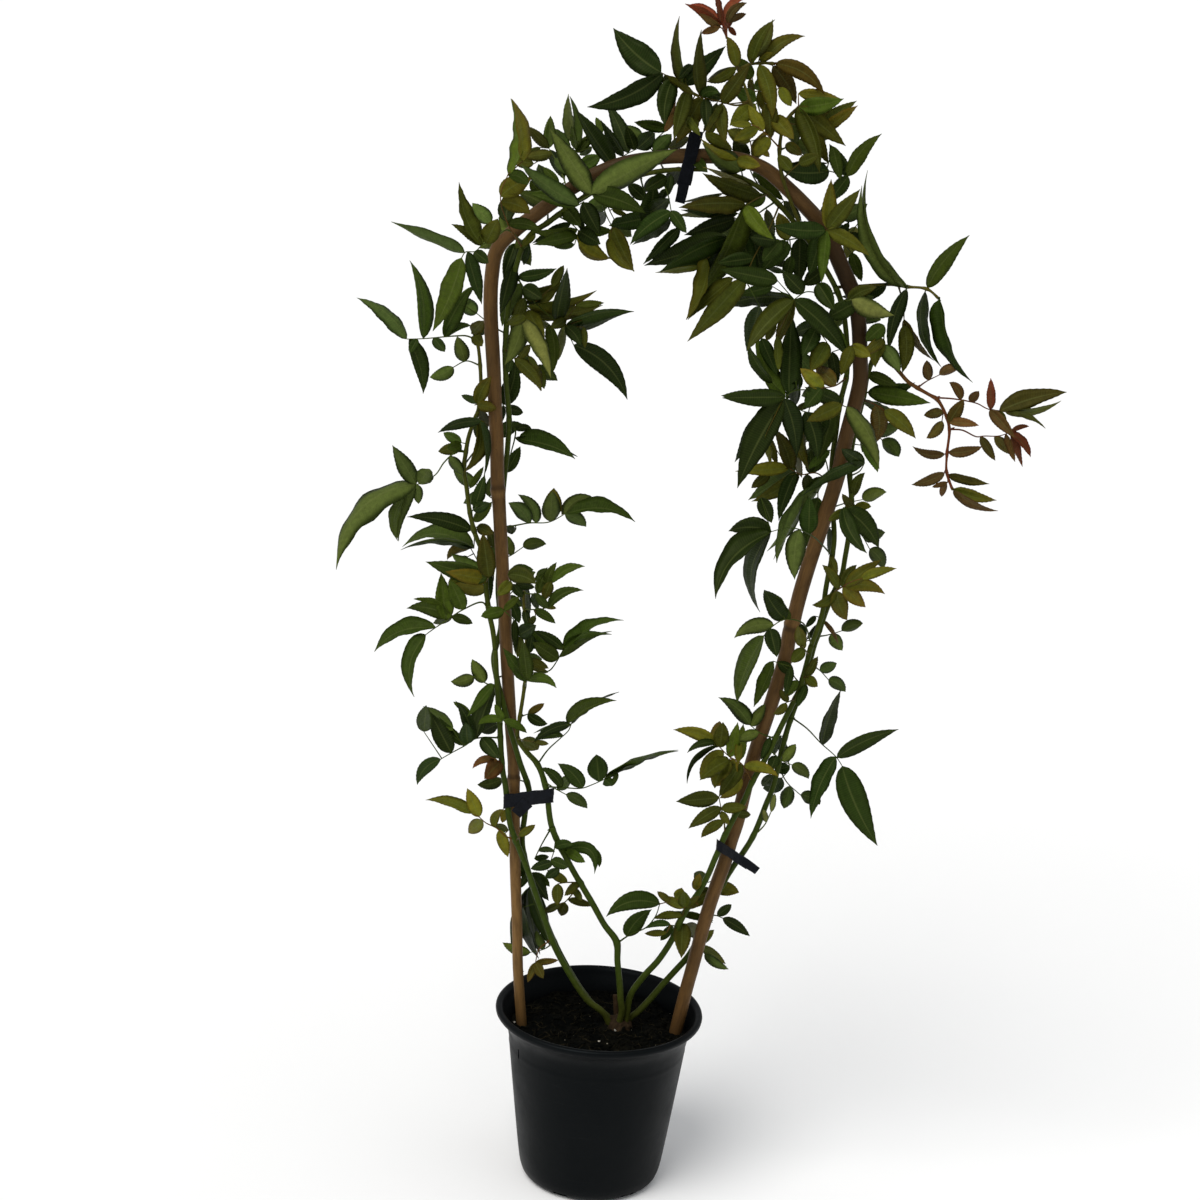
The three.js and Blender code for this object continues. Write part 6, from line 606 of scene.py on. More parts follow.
# Smaller leaflets that only the looks have, from base to tip: x and z at both ends, width, bow, tone
MORE = [
    # Right half of the arch, from the top down
    [82, 997, 62, 978, 13, 0, "gold"], [42, 970, 66, 958, 9, 0, "gold"], [34, 950, 46, 938, 8, 0, "mid"],
    [22, 941, 12, 922, 10, 0, "dark"], [74, 905, 26, 905, 9, 0, "dark"], [72, 900, 30, 884, 13, 0, "dark"],
    [55, 868, 10, 851, 10, 0, "dark"], [58, 862, 37, 812, 12, 0, "dark"],
    [112, 850, 62, 857, 14, 0, "dark"], [108, 845, 80, 836, 9, 0, "dark"],
    [118, 884, 98, 858, 14, 0, "dark"], [88, 938, 112, 918, 8, 0, "mid"], [112, 918, 128, 902, 7, 0, "mid"],
    [96, 922, 80, 912, 10, 0, "mid"], [98, 910, 106, 886, 7, 0, "olive"],
    [150, 862, 134, 848, 12, 0, "dark"], [146, 850, 162, 828, 13, 0, "dark"],
    [172, 878, 183, 854, 9, 0, "mid"], [149, 966, 158, 938, 9, 0, "mid"],
    [117, 1008, 152, 1006, 9, 0, "gold"], [101, 1012, 112, 997, 8, 0, "gold"],
    [142, 980, 167, 1001, 8, 0, "gold"], [222, 850, 180, 948, 9, 17, "light"],
    [50, 866, 36.5, 812, 10, 4, "olive"], [74, 850, 38, 812, 7, -2, "olive"],
    [45, 858, 8, 850.5, 7, 0, "olive"], [60, 921, 24, 911, 5, 0, "olive"],
    [62, 905, 22, 900, 6, 0, "olive"], [86, 925, 42, 942, 8, -2, "gold"], [88, 962, 97, 954, 5, 0, "gold"],
    [110, 966, 124, 957, 8, 0, "gold"], [82, 958, 93, 976, 6, 0, "gold"], [80, 980, 62, 979, 5, 0, "gold"],
    [122, 872, 118, 850, 9, 0, "dark"], [118, 858, 98, 862, 5, 0, "dark"],
    # Right side below the arch
    [98, 828, 90, 788, 13, 0, "dark"], [102, 800, 118, 768, 10, 0, "dark"],
    [112, 815, 106, 798, 7, 0, "olive"], [158, 800, 146, 774, 14, 0, "olive"],
    [163, 792, 170, 765, 9, 0, "dark"], [138, 770, 127, 748, 10, 0, "dark"],
    [142, 742, 155, 752, 6, 0, "mid"], [205, 818, 191, 803, 12, 0, "mid"],
    [194, 775, 222, 766, 9, 0, "mid"], [192, 752, 225, 740, 8, 0, "mid"],
    [112, 742, 87, 690, 16, 0, "dark"], [113, 715, 124, 690, 7, 0, "olive"],
    [136, 705, 146, 680, 8, 0, "olive"], [163, 702, 152, 684, 11, 0, "dark"],
    [140, 688, 101, 657, 12, 0, "mid"], [112, 660, 123, 638, 11, 0, "dark"],
    [150, 668, 127, 605, 10, 0, "light"], [114, 762, 90, 796, 8, 3, "dark"],
    [115, 803, 119, 772, 6, 0, "olive"], [108, 748, 71, 748, 11, 0, "dark"],
    [134, 765, 134, 742, 9, 0, "dark"], [148, 746, 136, 740, 5, 0, "olive"],
    [118, 735, 121, 716, 6, 0, "dark"], [112, 716, 118, 690, 5, 0, "olive"],
    [118, 682, 103, 668, 8, 0, "olive"], [140, 698, 144, 682, 5, 0, "olive"],
    [168, 706, 150, 688, 7, 0, "mid"], [165, 682, 148, 668, 7, 0, "mid"],
    [150, 668, 121, 612, 8, 3, "light"], [196, 712, 211, 689, 8, 2, "mid"],
    # Left half of the arch
    [10, 972, -18, 976, 9, 0, "mid"], [-44, 965, -50, 978, 5, 0, "mid"], [-66, 950, -70, 970, 5, 0, "mid"],
    [-100, 936, -118, 938, 9, 0, "olive"], [-88, 948, -73, 924, 8, 0, "mid"],
    [-52, 953, -62, 946, 6, 0, "mid"], [-95, 950, -108, 942, 5, 0, "olive"],
    [-72, 902, -58, 886, 12, 0, "mid"], [-60, 878, -97, 868, 9, 0, "mid"],
    [-62, 870, -80, 868, 6, 0, "mid"], [-58, 874, -30, 861, 9, -5, "gold"],
    [-32, 878, -10, 851, 8, -5, "olive"], [-32, 902, -18, 897, 4, 0, "olive"],
    [18, 897, -13, 873, 11, 0, "dark"], [26, 890, -3, 857, 10, 0, "dark"],
    [12, 932, -6, 920, 10, 0, "dark"], [16, 934, 14, 916, 6, 0, "dark"], [28, 966, 12, 956, 8, 0, "olive"],
    [-112, 868, -121, 838, 10, 0, "dark"], [-113, 848, -122, 806, 11, 0, "dark"],
    [-100, 818, -78, 826, 8, 0, "mid"], [-58, 818, -34, 822, 5, 0, "olive"],
    [-109, 938, -121, 989, 9, -4, "gold"], [-64, 950, -73, 994, 6, -5, "mid"],
    [-70, 950, -84, 966, 5, 0, "mid"], [-78, 920, -92, 934, 7, 0, "mid"],
    [-94, 912, -102, 922, 8, 0, "mid"], [4, 932, -6, 918, 8, 0, "dark"], [12, 922, 8, 912, 6, 0, "dark"],
    [-100, 868, -104, 850, 5, 0, "dark"], [-96, 878, -106, 866, 6, 0, "olive"],
    [-79, 833, -70, 852, 7, 0, "olive"], [-88, 818, -76, 830, 6, 0, "olive"],
    [-55, 882, -61, 896, 5, 0, "dark"],
    # Left side below the arch
    [-58, 784, -9, 739, 17, 8, "dark"], [-55, 797, -8, 816, 12, 4, "dark"],
    [-103, 822, -112, 788, 10, 0, "olive"], [-98, 812, -83, 785, 12, 0, "olive"],
    [-100, 806, -116, 798, 8, 0, "olive"], [-95, 806, -75, 796, 7, 0, "olive"],
    [-66, 800, -70, 770, 7, 0, "olive"], [-56, 800, -51, 786, 5, 0, "mid"],
    [-90, 765, -84, 742, 6, 0, "olive"], [-96, 772, -87, 761, 4, 0, "olive"],
    [-135, 722, -128, 706, 7, 0, "olive"], [-115, 728, -117, 712, 4, 0, "dark"],
    [-150, 690, -162, 686, 9, 0, "mid"], [-101, 699, -51, 684, 9, 5, "dark"],
    [-66, 806, -78, 797, 8, 0, "olive"], [-52, 806, -63, 808, 5, 0, "olive"],
    [-104, 770, -95, 782, 7, 0, "olive"], [-110, 768, -113, 756, 6, 0, "dark"],
    [-86, 762, -81, 744, 7, 0, "olive"], [-50, 800, -48, 782, 5, 0, "olive"],
    [-158, 815, -146, 829, 6, 0, "mid"], [-150, 692, -166, 700, 8, 0, "mid"],
    [-150, 688, -170, 683, 9, 0, "olive"],
    # Left side at the height of the window
    [-136, 622, -121, 641, 8, 0, "mid"], [-133, 618, -119, 612, 9, 0, "olive"],
    [-141, 652, -130, 672, 5, 0, "mid"], [-99, 618, -108, 616, 7, 0, "mid"],
    [-68, 630, -68, 657, 14, 0, "olive"], [-60, 634, -48, 651, 8, 0, "olive"],
    [-118, 586, -121, 560, 7, 0, "olive"], [-102, 580, -82, 582, 9, 0, "mid"],
    [-80, 572, -70, 584, 5, 0, "mid"], [-90, 570, -84, 535, 9, 0, "dark"],
    [-100, 552, -92, 532, 9, 0, "dark"], [-96, 568, -80, 566, 7, 0, "dark"],
    [-66, 572, -72, 554, 8, 0, "olive"], [-72, 550, -60, 548, 4, 0, "olive"],
    [-97, 535, -94, 503, 6, 0, "dark"], [-85, 515, -69, 514, 9, 0, "dark"],
    [-80, 522, -82, 504, 7, 0, "dark"], [-80, 492, -64, 488, 4, 0, "olive"],
    [-172, 425, -171, 450, 13, 0, "mid"], [-136, 598, -198, 595, 9, -14, "mid"],
    [-198, 640, -202, 600, 8, -6, "mid"], [-140, 590, -152, 582, 6, 0, "mid"],
    [-146, 574, -156, 562, 7, 0, "olive"], [-122, 578, -119, 550, 6, 0, "dark"],
    [-118, 600, -122, 617, 7, 0, "olive"], [-99, 568, -90, 556, 7, 0, "dark"],
    [-82, 560, -76, 546, 6, 0, "dark"], [-88, 546, -84, 530, 6, 0, "dark"],
    [-78, 540, -84, 530, 5, 0, "olive"], [-80, 525, -64, 514, 7, 0, "mid"],
    [-90, 520, -92, 500, 6, 0, "olive"], [-82, 498, -64, 492, 7, 0, "olive"],
    [-52, 514, -10, 527, 8, 5, "mid"], [-79, 577, -70, 584, 4, 0, "mid"],
    [-88, 634, -106, 640, 10, 0, "light"], [-160, 545, -186, 548, 6, -2, "mid"],
    [-150, 534, -168, 527, 6, 0, "mid"], [-150, 536, -134, 530, 5, 0, "mid"],
    [-112, 474, -134, 442, 7, 0, "mid"], [-132, 446, -147, 455, 5, 0, "mid"],
    [-146, 428, -174, 449, 5, -2, "mid"], [-45, 442, -2, 466, 8, 6, "mid"],
    [-46, 441, -74, 430, 6, -2, "mid"],
    # Right side under the window
    [139, 556, 121, 577, 13, 0, "dark"], [138, 566, 132, 572, 4, 0, "mid"],
    [134, 512, 120, 468, 8, 0, "mid"], [173, 637, 175, 612, 5, 0, "dark"],
    [176, 612, 184, 595, 5, 0, "olive"], [168, 556, 160, 545, 5, 0, "dark"],
    [155, 548, 161, 536, 5, 0, "dark"], [160, 532, 158, 524, 5, 0, "olive"],
    [156, 495, 148, 480, 7, 0, "mid"], [165, 492, 158, 470, 7, 0, "dark"],
    [90, 428, 91, 453, 13, 0, "gold"], [102, 417, 77, 396, 9, -2, "gold"],
    [103, 416, 91, 389, 14, -3, "gold"], [113, 402, 96, 380, 10, 3, "gold"],
    [110, 434, 110, 412, 6, 0, "gold"], [98, 367, 106, 355, 6, 0, "olive"],
    [112, 366, 125, 366, 7, 0, "olive"], [142, 405, 133, 394, 9, 0, "dark"],
    [144, 424, 139, 409, 9, 0, "dark"], [137, 440, 130, 419, 5, 0, "dark"],
    [146, 443, 141, 424, 5, 0, "dark"],
    # Low down, between the ties and the pot
    [-107, 437, -121, 428, 10, 0, "dark"], [-72, 422, -60, 421, 4, 0, "olive"],
    [-92, 336, -104, 340, 7, 0, "olive"], [-50, 308, -70, 300, 9, 0, "dark"],
    [-70, 296, -52, 270, 12, 0, "dark"], [-72, 296, -79, 280, 6, 0, "dark"],
    [-75, 262, -58, 212, 10, -3, "dark"], [-26, 290, -38, 276, 7, 0, "olive"],
    [-30, 284, -22, 272, 6, 0, "olive"], [58, 277, 46, 286, 6, 0, "gold"], [84, 276, 72, 272, 5, 0, "gold"],
    [57, 246, 37, 244, 6, 0, "gold"], [93, 228, 116, 214, 8, -2, "light"], [80, 290, 83, 306, 7, 0, "gold"],
    [64, 280, 68, 291, 8, 0, "gold"], [-8, 393, 56, 423, 9, 5, "mid"], [3, 398, -1, 385, 4, 0, "mid"],
    [-38, 320, -21, 310, 8, 0, "mid"], [-18, 325, -8, 306, 6, 3, "mid"], [-44, 302, -56, 292, 8, 0, "dark"],
    [-95, 356, -98, 343, 6, 0, "gold"],
    # Round the ends of the hoop, at the very top
    [27, 1026, 17, 1014, 7, 0, "dark"], [8, 1016, 38, 998, 7, 0, "olive"],
    [40, 1004, 54, 1000, 9, 0, "dark"], [14, 1002, 9, 970, 6, 0, "bronze"],
    [36, 980, 26, 974, 7, 0, "olive"], [50, 996, 40, 970, 6, 0, "olive"],
    [76, 1018, 79, 1003, 5, 0, "gold"], [84, 1008, 89, 992, 6, 0, "gold"],
    [47, 1062, 20, 1074, 5, -3, "red"], [51, 1066, 68, 1083, 5, 4, "red"],
    [48, 1068, 42, 1086, 4, 0, "red"], [75, 1034, 91, 1067, 8, -4, "olive"],
    [82, 1033, 93, 1040, 5, 0, "gold"], [66, 1026, 41, 1014, 5, -3, "olive"],
    [16, 986, 8, 969, 6, 0, "bronze"], [24, 985, 38, 968, 6, 0, "olive"], [52, 984, 43, 966, 5, 0, "olive"],
]

# Two bands lie level round the bamboo and its canes, and one stands on edge round the arch. Each goes round
# circles of [place along it, depth, radius]. Its middle line runs at middle, and tail is its loose end.
TIES = {
    "tie_left": {
        "level": True, "width": 13.5, "middle": lambda x: 363.5 + 0.2 * (x + 97),
        "circles": [[-88, 0, 5.3], [-94, -12, 2.7], [-77, 1, 2.7], [-57.6, -16, 3.7]],
        "tail": [[-76, 364, -18.7], [-81, 358, -18.4], [-86, 352, -17.9]]},
    "tie_right": {
        "level": True, "width": 10, "middle": lambda x: 335 - 0.6 * (x - 97),
        "circles": [[100, -12, 2.8], [107, 0, 6.3], [121, 6, 2.8]],
        "tail": [[118, 323, 1.6], [126, 318, -1], [135, 312, -2]]},
    "tie_top": {
        "level": False, "width": 11, "middle": lambda z: 27 + (z - 926) * 0.17,
        "circles": [[951.5, 0, 6.4], [939.6, 0, 2.2], [969.4, 0, 0.8], [928, 0, 0.8]],
        "tail": [[27, 928, -1], [26, 919, -2.6], [24.5, 911, -2]]},
}


# Growing: where each leaf and leaflet goes
def span(a, b, c=0):
    return math.sqrt(a * a + b * b + c * c)


class Luck:
    """The seeded draws that the solids take too."""

    FACTOR, STEP, RANGE = 1664525, 1013904223, 2 ** 32

    def __init__(self, seed):
        self.seed = seed

    def draw(self):
        self.seed = (self.seed * self.FACTOR + self.STEP) % self.RANGE
        return self.seed / self.RANGE


used = {}  # for each square of the plane, the nearest depth, farthest depth, node and leaf of what is there


def cells_of(samples):
    """The squares that samples touch, each with their nearest and farthest depth and their furthest place."""
    cells = {}
    for x, z, near, far, s in samples:
        key = (math.floor(x / CELL) + REACH // 2) * REACH + math.floor(z / CELL)
        cell = cells.setdefault(key, [near, far, s])
        cell[:] = min(cell[0], near), max(cell[1], far), max(cell[2], s)
    return cells


def occupy(samples, node, spray):
    """Notes samples in the squares that they touch and in those round them."""
    wide = {}
    for key, (near, far, _) in cells_of(samples).items():
        for step in NEIGHBOURS:
            cell = wide.setdefault(key + step, [near, far])
            cell[:] = min(cell[0], near), max(cell[1], far)
    for key, (near, far) in wide.items():
        used.setdefault(key, []).append((near, far, node, spray))


def clashes(samples, node, spray, root_span):
    """Squares in which a new piece meets what is there: of other nodes, and of its own."""
    others = own = 0
    for key, (near, far, s) in cells_of(samples).items():
        for its_near, its_far, its_node, its_spray in used.get(key, ()):
            apart = near > its_far or far < its_near
            same_leaf = its_spray == spray and s < ROOT_SHARE
            own_cane = its_node == node and its_spray < 0 and s < root_span
            if apart or same_leaf or own_cane:
                continue
            if its_node == node:
                own += 1
            else:
                others += 1
    return others, own


def meeting(samples, cells):
    """Squares in which a blade meets an earlier blade of the same leaf, past the roots that they share."""
    count = 0
    for key, (near, far, s) in cells_of(samples).items():
        cell = cells.get(key)
        if cell and min(s, cell[2]) > ROOT_SHARE and near <= cell[1] and far >= cell[0]:
            count += 1
    return count


def stem_samples(points, radii):
    out = []
    for i in range(len(points) - 1):
        (ax, az, ay), (bx, bz, by) = points[i], points[i + 1]
        length = span(bx - ax, bz - az, by - ay)
        flat = span(bx - ax, bz - az) or 1
        steps = max(1, math.ceil(length / STEM_STEP))
        for k in range(steps + 1):
            s = k / steps
            r = radii[i] + (radii[i + 1] - radii[i]) * s
            y = ay + (by - ay) * s
            for v in (-1, 0, 1):
                out.append((ax + (bx - ax) * s - ((bz - az) / flat) * v * r,
                            az + (bz - az) * s + ((bx - ax) / flat) * v * r,
                            y - r - STEM_CLEAR, y + r + STEM_CLEAR, (i + s) / (len(points) - 1)))
    return out


class Leaflet:
    """A leaflet from base to tip. Bow lifts its axis to the left of that line, and roll turns it edge on."""

    def __init__(self, base, row, luck, dip):
        self.bx, self.bz, self.by = base
        self.tx, self.tz, seen, self.bow = row[2:6]
        self.dip = dip
        self.flat = span(self.tx - self.bx, self.tz - self.bz)
        self.width = max(seen / math.cos(LEAST_ROLL), WIDTH_SHARE * span(self.flat, dip))
        self.roll = math.acos(min(1, seen / self.width)) * (-1 if luck[1] < 0.5 else 1)

    def point(self, s, v, half):
        """A point of the blade: s runs base to tip, v across from -1 to 1."""
        ux = (self.tx - self.bx) / self.flat
        uz = (self.tz - self.bz) / self.flat
        lift = self.bow * 4 * s * (1 - s)
        slope = (self.bow * 4 * (1 - 2 * s)) / self.flat
        norm = span(1, slope)
        nx = (-uz - ux * slope) / norm
        nz = (ux - uz * slope) / norm
        across = v * half * math.cos(self.roll)
        return (self.bx + ux * s * self.flat - uz * lift + nx * across,
                self.bz + uz * s * self.flat + ux * lift + nz * across,
                self.by + self.dip * s + v * half * math.sin(self.roll))

    def samples(self):
        out = []
        steps = max(4, math.ceil(span(self.flat, self.dip) / BLADE_STEP))
        for k in range(steps + 1):
            s = k / steps
            half = (self.width / 2) * (FULLNESS * s ** TO_BASE * (1 - s) ** TO_TIP)
            for v in BLADE_COLUMNS:
                x, z, y = self.point(s, v, half)
                out.append((x, z, y - BLADE_CLEAR, y + BLADE_CLEAR, s))
        return out


def nearest(points, x, z):
    """The point of a line that lies nearest to a place in the plane."""
    best = None
    for (ax, az, ay), (bx, bz, by) in zip(points, points[1:]):
        length = (bx - ax) ** 2 + (bz - az) ** 2 or 1
        s = min(1, max(0, ((x - ax) * (bx - ax) + (z - az) * (bz - az)) / length))
        point = (ax + (bx - ax) * s, az + (bz - az) * s, ay + (by - ay) * s)
        distance = span(point[0] - x, point[1] - z)
        if best is None or distance < best[1]:
            best = (point, distance)
    return best[0]


def simpler(line):
    """The points of a line that it needs to keep within STRAIGHT of its shape."""
    worst, at = 0, 0
    ends = [(*line[0][:2], 0), (*line[-1][:2], 0)]
    for i in range(1, len(line) - 1):
        foot = nearest(ends, line[i][0], line[i][1])
        off = span(foot[0] - line[i][0], foot[1] - line[i][1])
        if off > worst:
            worst, at = off, i
    if worst < STRAIGHT:
        return [line[0], line[-1]]
    return simpler(line[:at + 1]) + simpler(line[at:])[1:]


def eased(line, root_depth, depth):
    """A leaf stalk's line with its depth, which leaves the cane at the cane's own and eases to the leaf's."""
    run = [0]
    for a, b in zip(line, line[1:]):
        run.append(run[-1] + span(b[0] - a[0], b[1] - a[1]))
    return [(p[0], p[1], root_depth + depth * (r / run[-1]) * (2 - r / run[-1])) for p, r in zip(line, run)]


def try_spray(cane, row, lucks, depth, node, spray):
    """A whole leaf at a depth, its leaflets tilted to where they meet least, and a cost for what it meets."""
    wanted, _, stalk, leaves = row
    root = nearest(cane, *stalk[0])
    path = eased(simpler([root] + stalk[1:]), root[2], depth)
    length = sum(span(b[0] - a[0], b[1] - a[1]) for a, b in zip(path, path[1:]))
    samples = stem_samples(path, [RACHIS_R] * len(path))
    cost = clashes(samples, node, spray, min(1, STALK_ROOT / length))[0]
    blades, mine = [], []
    for leaf_row, luck in zip(leaves, lucks):
        base = nearest(path, *leaf_row[:2])
        flat = span(leaf_row[2] - base[0], leaf_row[3] - base[1])
        free = LEAN_SHARE * wanted + (luck[0] - 0.5) * TIP_SCATTER * flat
        least = math.sqrt(max(0, (leaf_row[4] / FULLEST) ** 2 - flat * flat))
        lean = max(abs(free), least) * (-1 if free < 0 else 1)
        best = None
        for shift in TIP_SHIFT:
            leaf = Leaflet(base, leaf_row, luck, lean + shift)
            leaf_samples = leaf.samples()
            others, own = clashes(leaf_samples, node, spray, LEAF_ROOT)
            near = sum(meeting(leaf_samples, cells) for cells in mine)
            score = others * OTHER_NODE_COST + own + near
            if best is None or score < best[0]:
                best = (score, others, leaf, leaf_samples, leaf_row)
            if score == 0:
                break
        if best[1] > 0:
            cost += LOST_LEAFLET_COST
        else:
            blades.append(best[2:])
            mine.append(cells_of(best[3]))
            cost += best[0] * OWN_NODE_COST
    return cost, path, samples, blades


def roots_of(points):
    """The part of a node's cane in which leaf stalks may root."""
    def inset(a, b):
        share = min(0.5, ROOT_INSET / span(a[0] - b[0], a[1] - b[1]))
        return [v + (w - v) * share for v, w in zip(a, b)]

    inner = [inset(points[0], points[1])] + points[1:-1] + [inset(points[-1], points[-2])]
    return [p[:3] for p in inner]


def stepped(start, stop, step):
    """Values from start that don't pass stop."""
    while start <= stop:
        yield start
        start += step


def tie_samples(tie):
    circles, half = tie["circles"], tie["width"] / 2
    above, beside, before = TIE_MARGIN
    low = min(a - r for a, _, r in circles) - beside
    high = max(a + r for a, _, r in circles) + beside
    near = min(y - r for _, y, r in circles) - before
    far = max(y + r for _, y, r in circles) + before
    out = []
    for a in stepped(low, high, STEM_STEP):
        for t in stepped(-half - above, half + above, STEM_STEP):
            across = tie["middle"](a) + t
            x, z = (a, across) if tie["level"] else (across, a)
            out.append((x, z, near, far, 1))
    return out + stem_samples(tie["tail"], [half] * len(tie["tail"]))


def grow_more(grown, canes, luck, first_spray):
    """For each node, its smaller leaflets, each with the number of what carries it, 0 for the node's cane."""
    carriers = [(node, number, path, 0) for node, leaves in enumerate(grown)
                for number, (_, path, _) in enumerate(leaves, 1)]
    carriers += [(node, 0, [p[:3] for p in points], CANE_LAST) for node, points in enumerate(canes)]
    more = [[] for _ in NODES]
    for spray, row in enumerate(MORE, first_spray):
        x, z = row[:2]

        def reach(carrier):
            root = nearest(carrier[2], x, z)
            return span(root[0] - x, root[1] - z) + carrier[3]

        node, number, path, _ = min(carriers, key=reach)
        lucky = (luck.draw(), luck.draw())
        base = (x, z, nearest(path, x, z)[2])
        flat = span(row[2] - x, row[3] - z)
        free = (lucky[0] - 0.5) * TIP_SCATTER * flat
        tries = []
        for shift in TIP_SHIFT:
            leaf = Leaflet(base, row, lucky, free + shift * min(1, flat / LONG_LEAF))
            samples = leaf.samples()
            others, own = clashes(samples, node, spray, LEAF_ROOT)
            tries.append((others * SMALL_OTHER_COST + own, len(tries), leaf, samples))
            if others + own == 0:
                break
        _, _, leaf, samples = min(tries)
        occupy(samples, node, spray)
        more[node].append((number, leaf, row))
    return more


def grow():
    """For each node, its leaves, each a row, a stalk's path and leaflets, and its smaller leaflets."""
    luck = Luck(FIRST_SEED)
    for _ in range(EARLIER_DRAWS):
        luck.draw()
    occupy(stem_samples([(x, z, 0) for x, z, _ in HOOP], [r for _, _, r in HOOP]), FIXED, FIXED)
    occupy(stem_samples(STUB, [STUB_R] * len(STUB)), FIXED, FIXED)
    for tie in TIES.values():
        occupy(tie_samples(tie), FIXED, FIXED)
    canes = [CANES[cane][first:last + 1] for _, _, (cane, first, last), _ in NODES]
    for node, points in enumerate(canes):
        occupy(stem_samples([p[:3] for p in points], [p[3] for p in points]), node, FIXED)
    sprays = [(node, row, [(luck.draw(), luck.draw()) for _ in row[3]])
              for node, (_, _, _, rows) in enumerate(NODES) for row in rows]
    grown = [[] for _ in NODES]
    for behind in (False, True):
        for spray, (node, row, lucks) in enumerate(sprays):
            if (row[0] >= FILLER) != behind:
                continue
            best = None
            for step in STEP_BACK:
                depth = row[0] * DEPTH_SHARE + step
                tried = try_spray(roots_of(canes[node]), row, lucks, depth, node, spray)
                if best is None or tried[0] < best[0]:
                    best = tried
                if best[0] == 0:
                    break
            _, path, samples, blades = best
            occupy(samples, node, spray)
            for _, blade_samples, _ in blades:
                occupy(blade_samples, node, spray)
            grown[node].append((row, path, [(leaf, leaf_row) for leaf, _, leaf_row in blades]))
    return zip(grown, grow_more(grown, canes, luck, len(sprays)))


# Meshes
SMALLEST = 1e-9  # length that stands in for none
LEAST_GAP = 1e-6  # between two points of a curve


def placed(x, z, y):
    """Points of the hoop's plane, x, z and their depth, as millimetres in space."""
    share = 1 + np.asarray(y, float) / EYE_BACK
    height = EYE_HEIGHT + (np.asarray(z) - EYE_HEIGHT) * share
    return np.stack([np.asarray(x) * share, y + 0 * share, height], axis=-1)


def placed_all(points):
    """The same for rows that start with x, z and depth."""
    points = np.asarray(points, float)
    return placed(points[:, 0], points[:, 1], points[:, 2])


def unit(v):
    return v / np.maximum(np.linalg.norm(v, axis=-1, keepdims=True), SMALLEST)


def run_of(points):
    """How far along a line each of its points lies."""
    return np.concatenate([[0], np.cumsum(np.linalg.norm(np.diff(points, axis=0), axis=1))])


def smooth(points, step):
    """A curve through points of any number of coordinates, as points about a step apart."""
    p = np.array(points, float)
    if len(p) == 2:
        count = max(1, math.ceil(np.linalg.norm(p[1] - p[0]) / step))
        return p[0] + (p[1] - p[0]) * np.linspace(0, 1, count + 1)[:, None]
    p = np.vstack([2 * p[0] - p[1], p, 2 * p[-1] - p[-2]])
    gaps = np.sqrt(np.maximum(np.linalg.norm(np.diff(p, axis=0), axis=1), LEAST_GAP))
    out = [p[1:2]]
    for i in range(1, len(p) - 2):
        before, here, after = gaps[i - 1:i + 2]
        into, across, beyond = p[i] - p[i - 1], p[i + 1] - p[i], p[i + 2] - p[i + 1]
        leave = here * (into / before - (p[i + 1] - p[i - 1]) / (before + here) + across / here)
        arrive = here * (across / here - (p[i + 2] - p[i]) / (here + after) + beyond / after)
        t = np.linspace(0, 1, max(1, math.ceil(here * here / step)) + 1)[1:, None]
        out.append((2 * t ** 3 - 3 * t ** 2 + 1) * p[i] + (t ** 3 - 2 * t ** 2 + t) * leave
                   + (3 * t ** 2 - 2 * t ** 3) * p[i + 1] + (t ** 3 - t ** 2) * arrive)
    return np.vstack(out)


def hump(x, width):
    """1 where x is 0, and falling to nothing a few widths from there."""
    return np.exp(-((x / width) ** 2))


def ramp(x, start, end):
    """0 up to start, 1 from end on."""
    return np.clip((x - start) / (end - start), 0, 1)


def wall(rings, sides):
    """The faces between rings of points, each ring joined to the next."""
    faces = []
    for i in range(0, (rings - 1) * sides, sides):
        for k in range(sides):
            after = (k + 1) % sides
            faces.append((i + k, i + after, i + sides + after, i + sides + k))
    return faces


def caps(rings, sides):
    """The faces that close the first and the last ring."""
    return [tuple(reversed(range(sides))), tuple(range((rings - 1) * sides, rings * sides))]


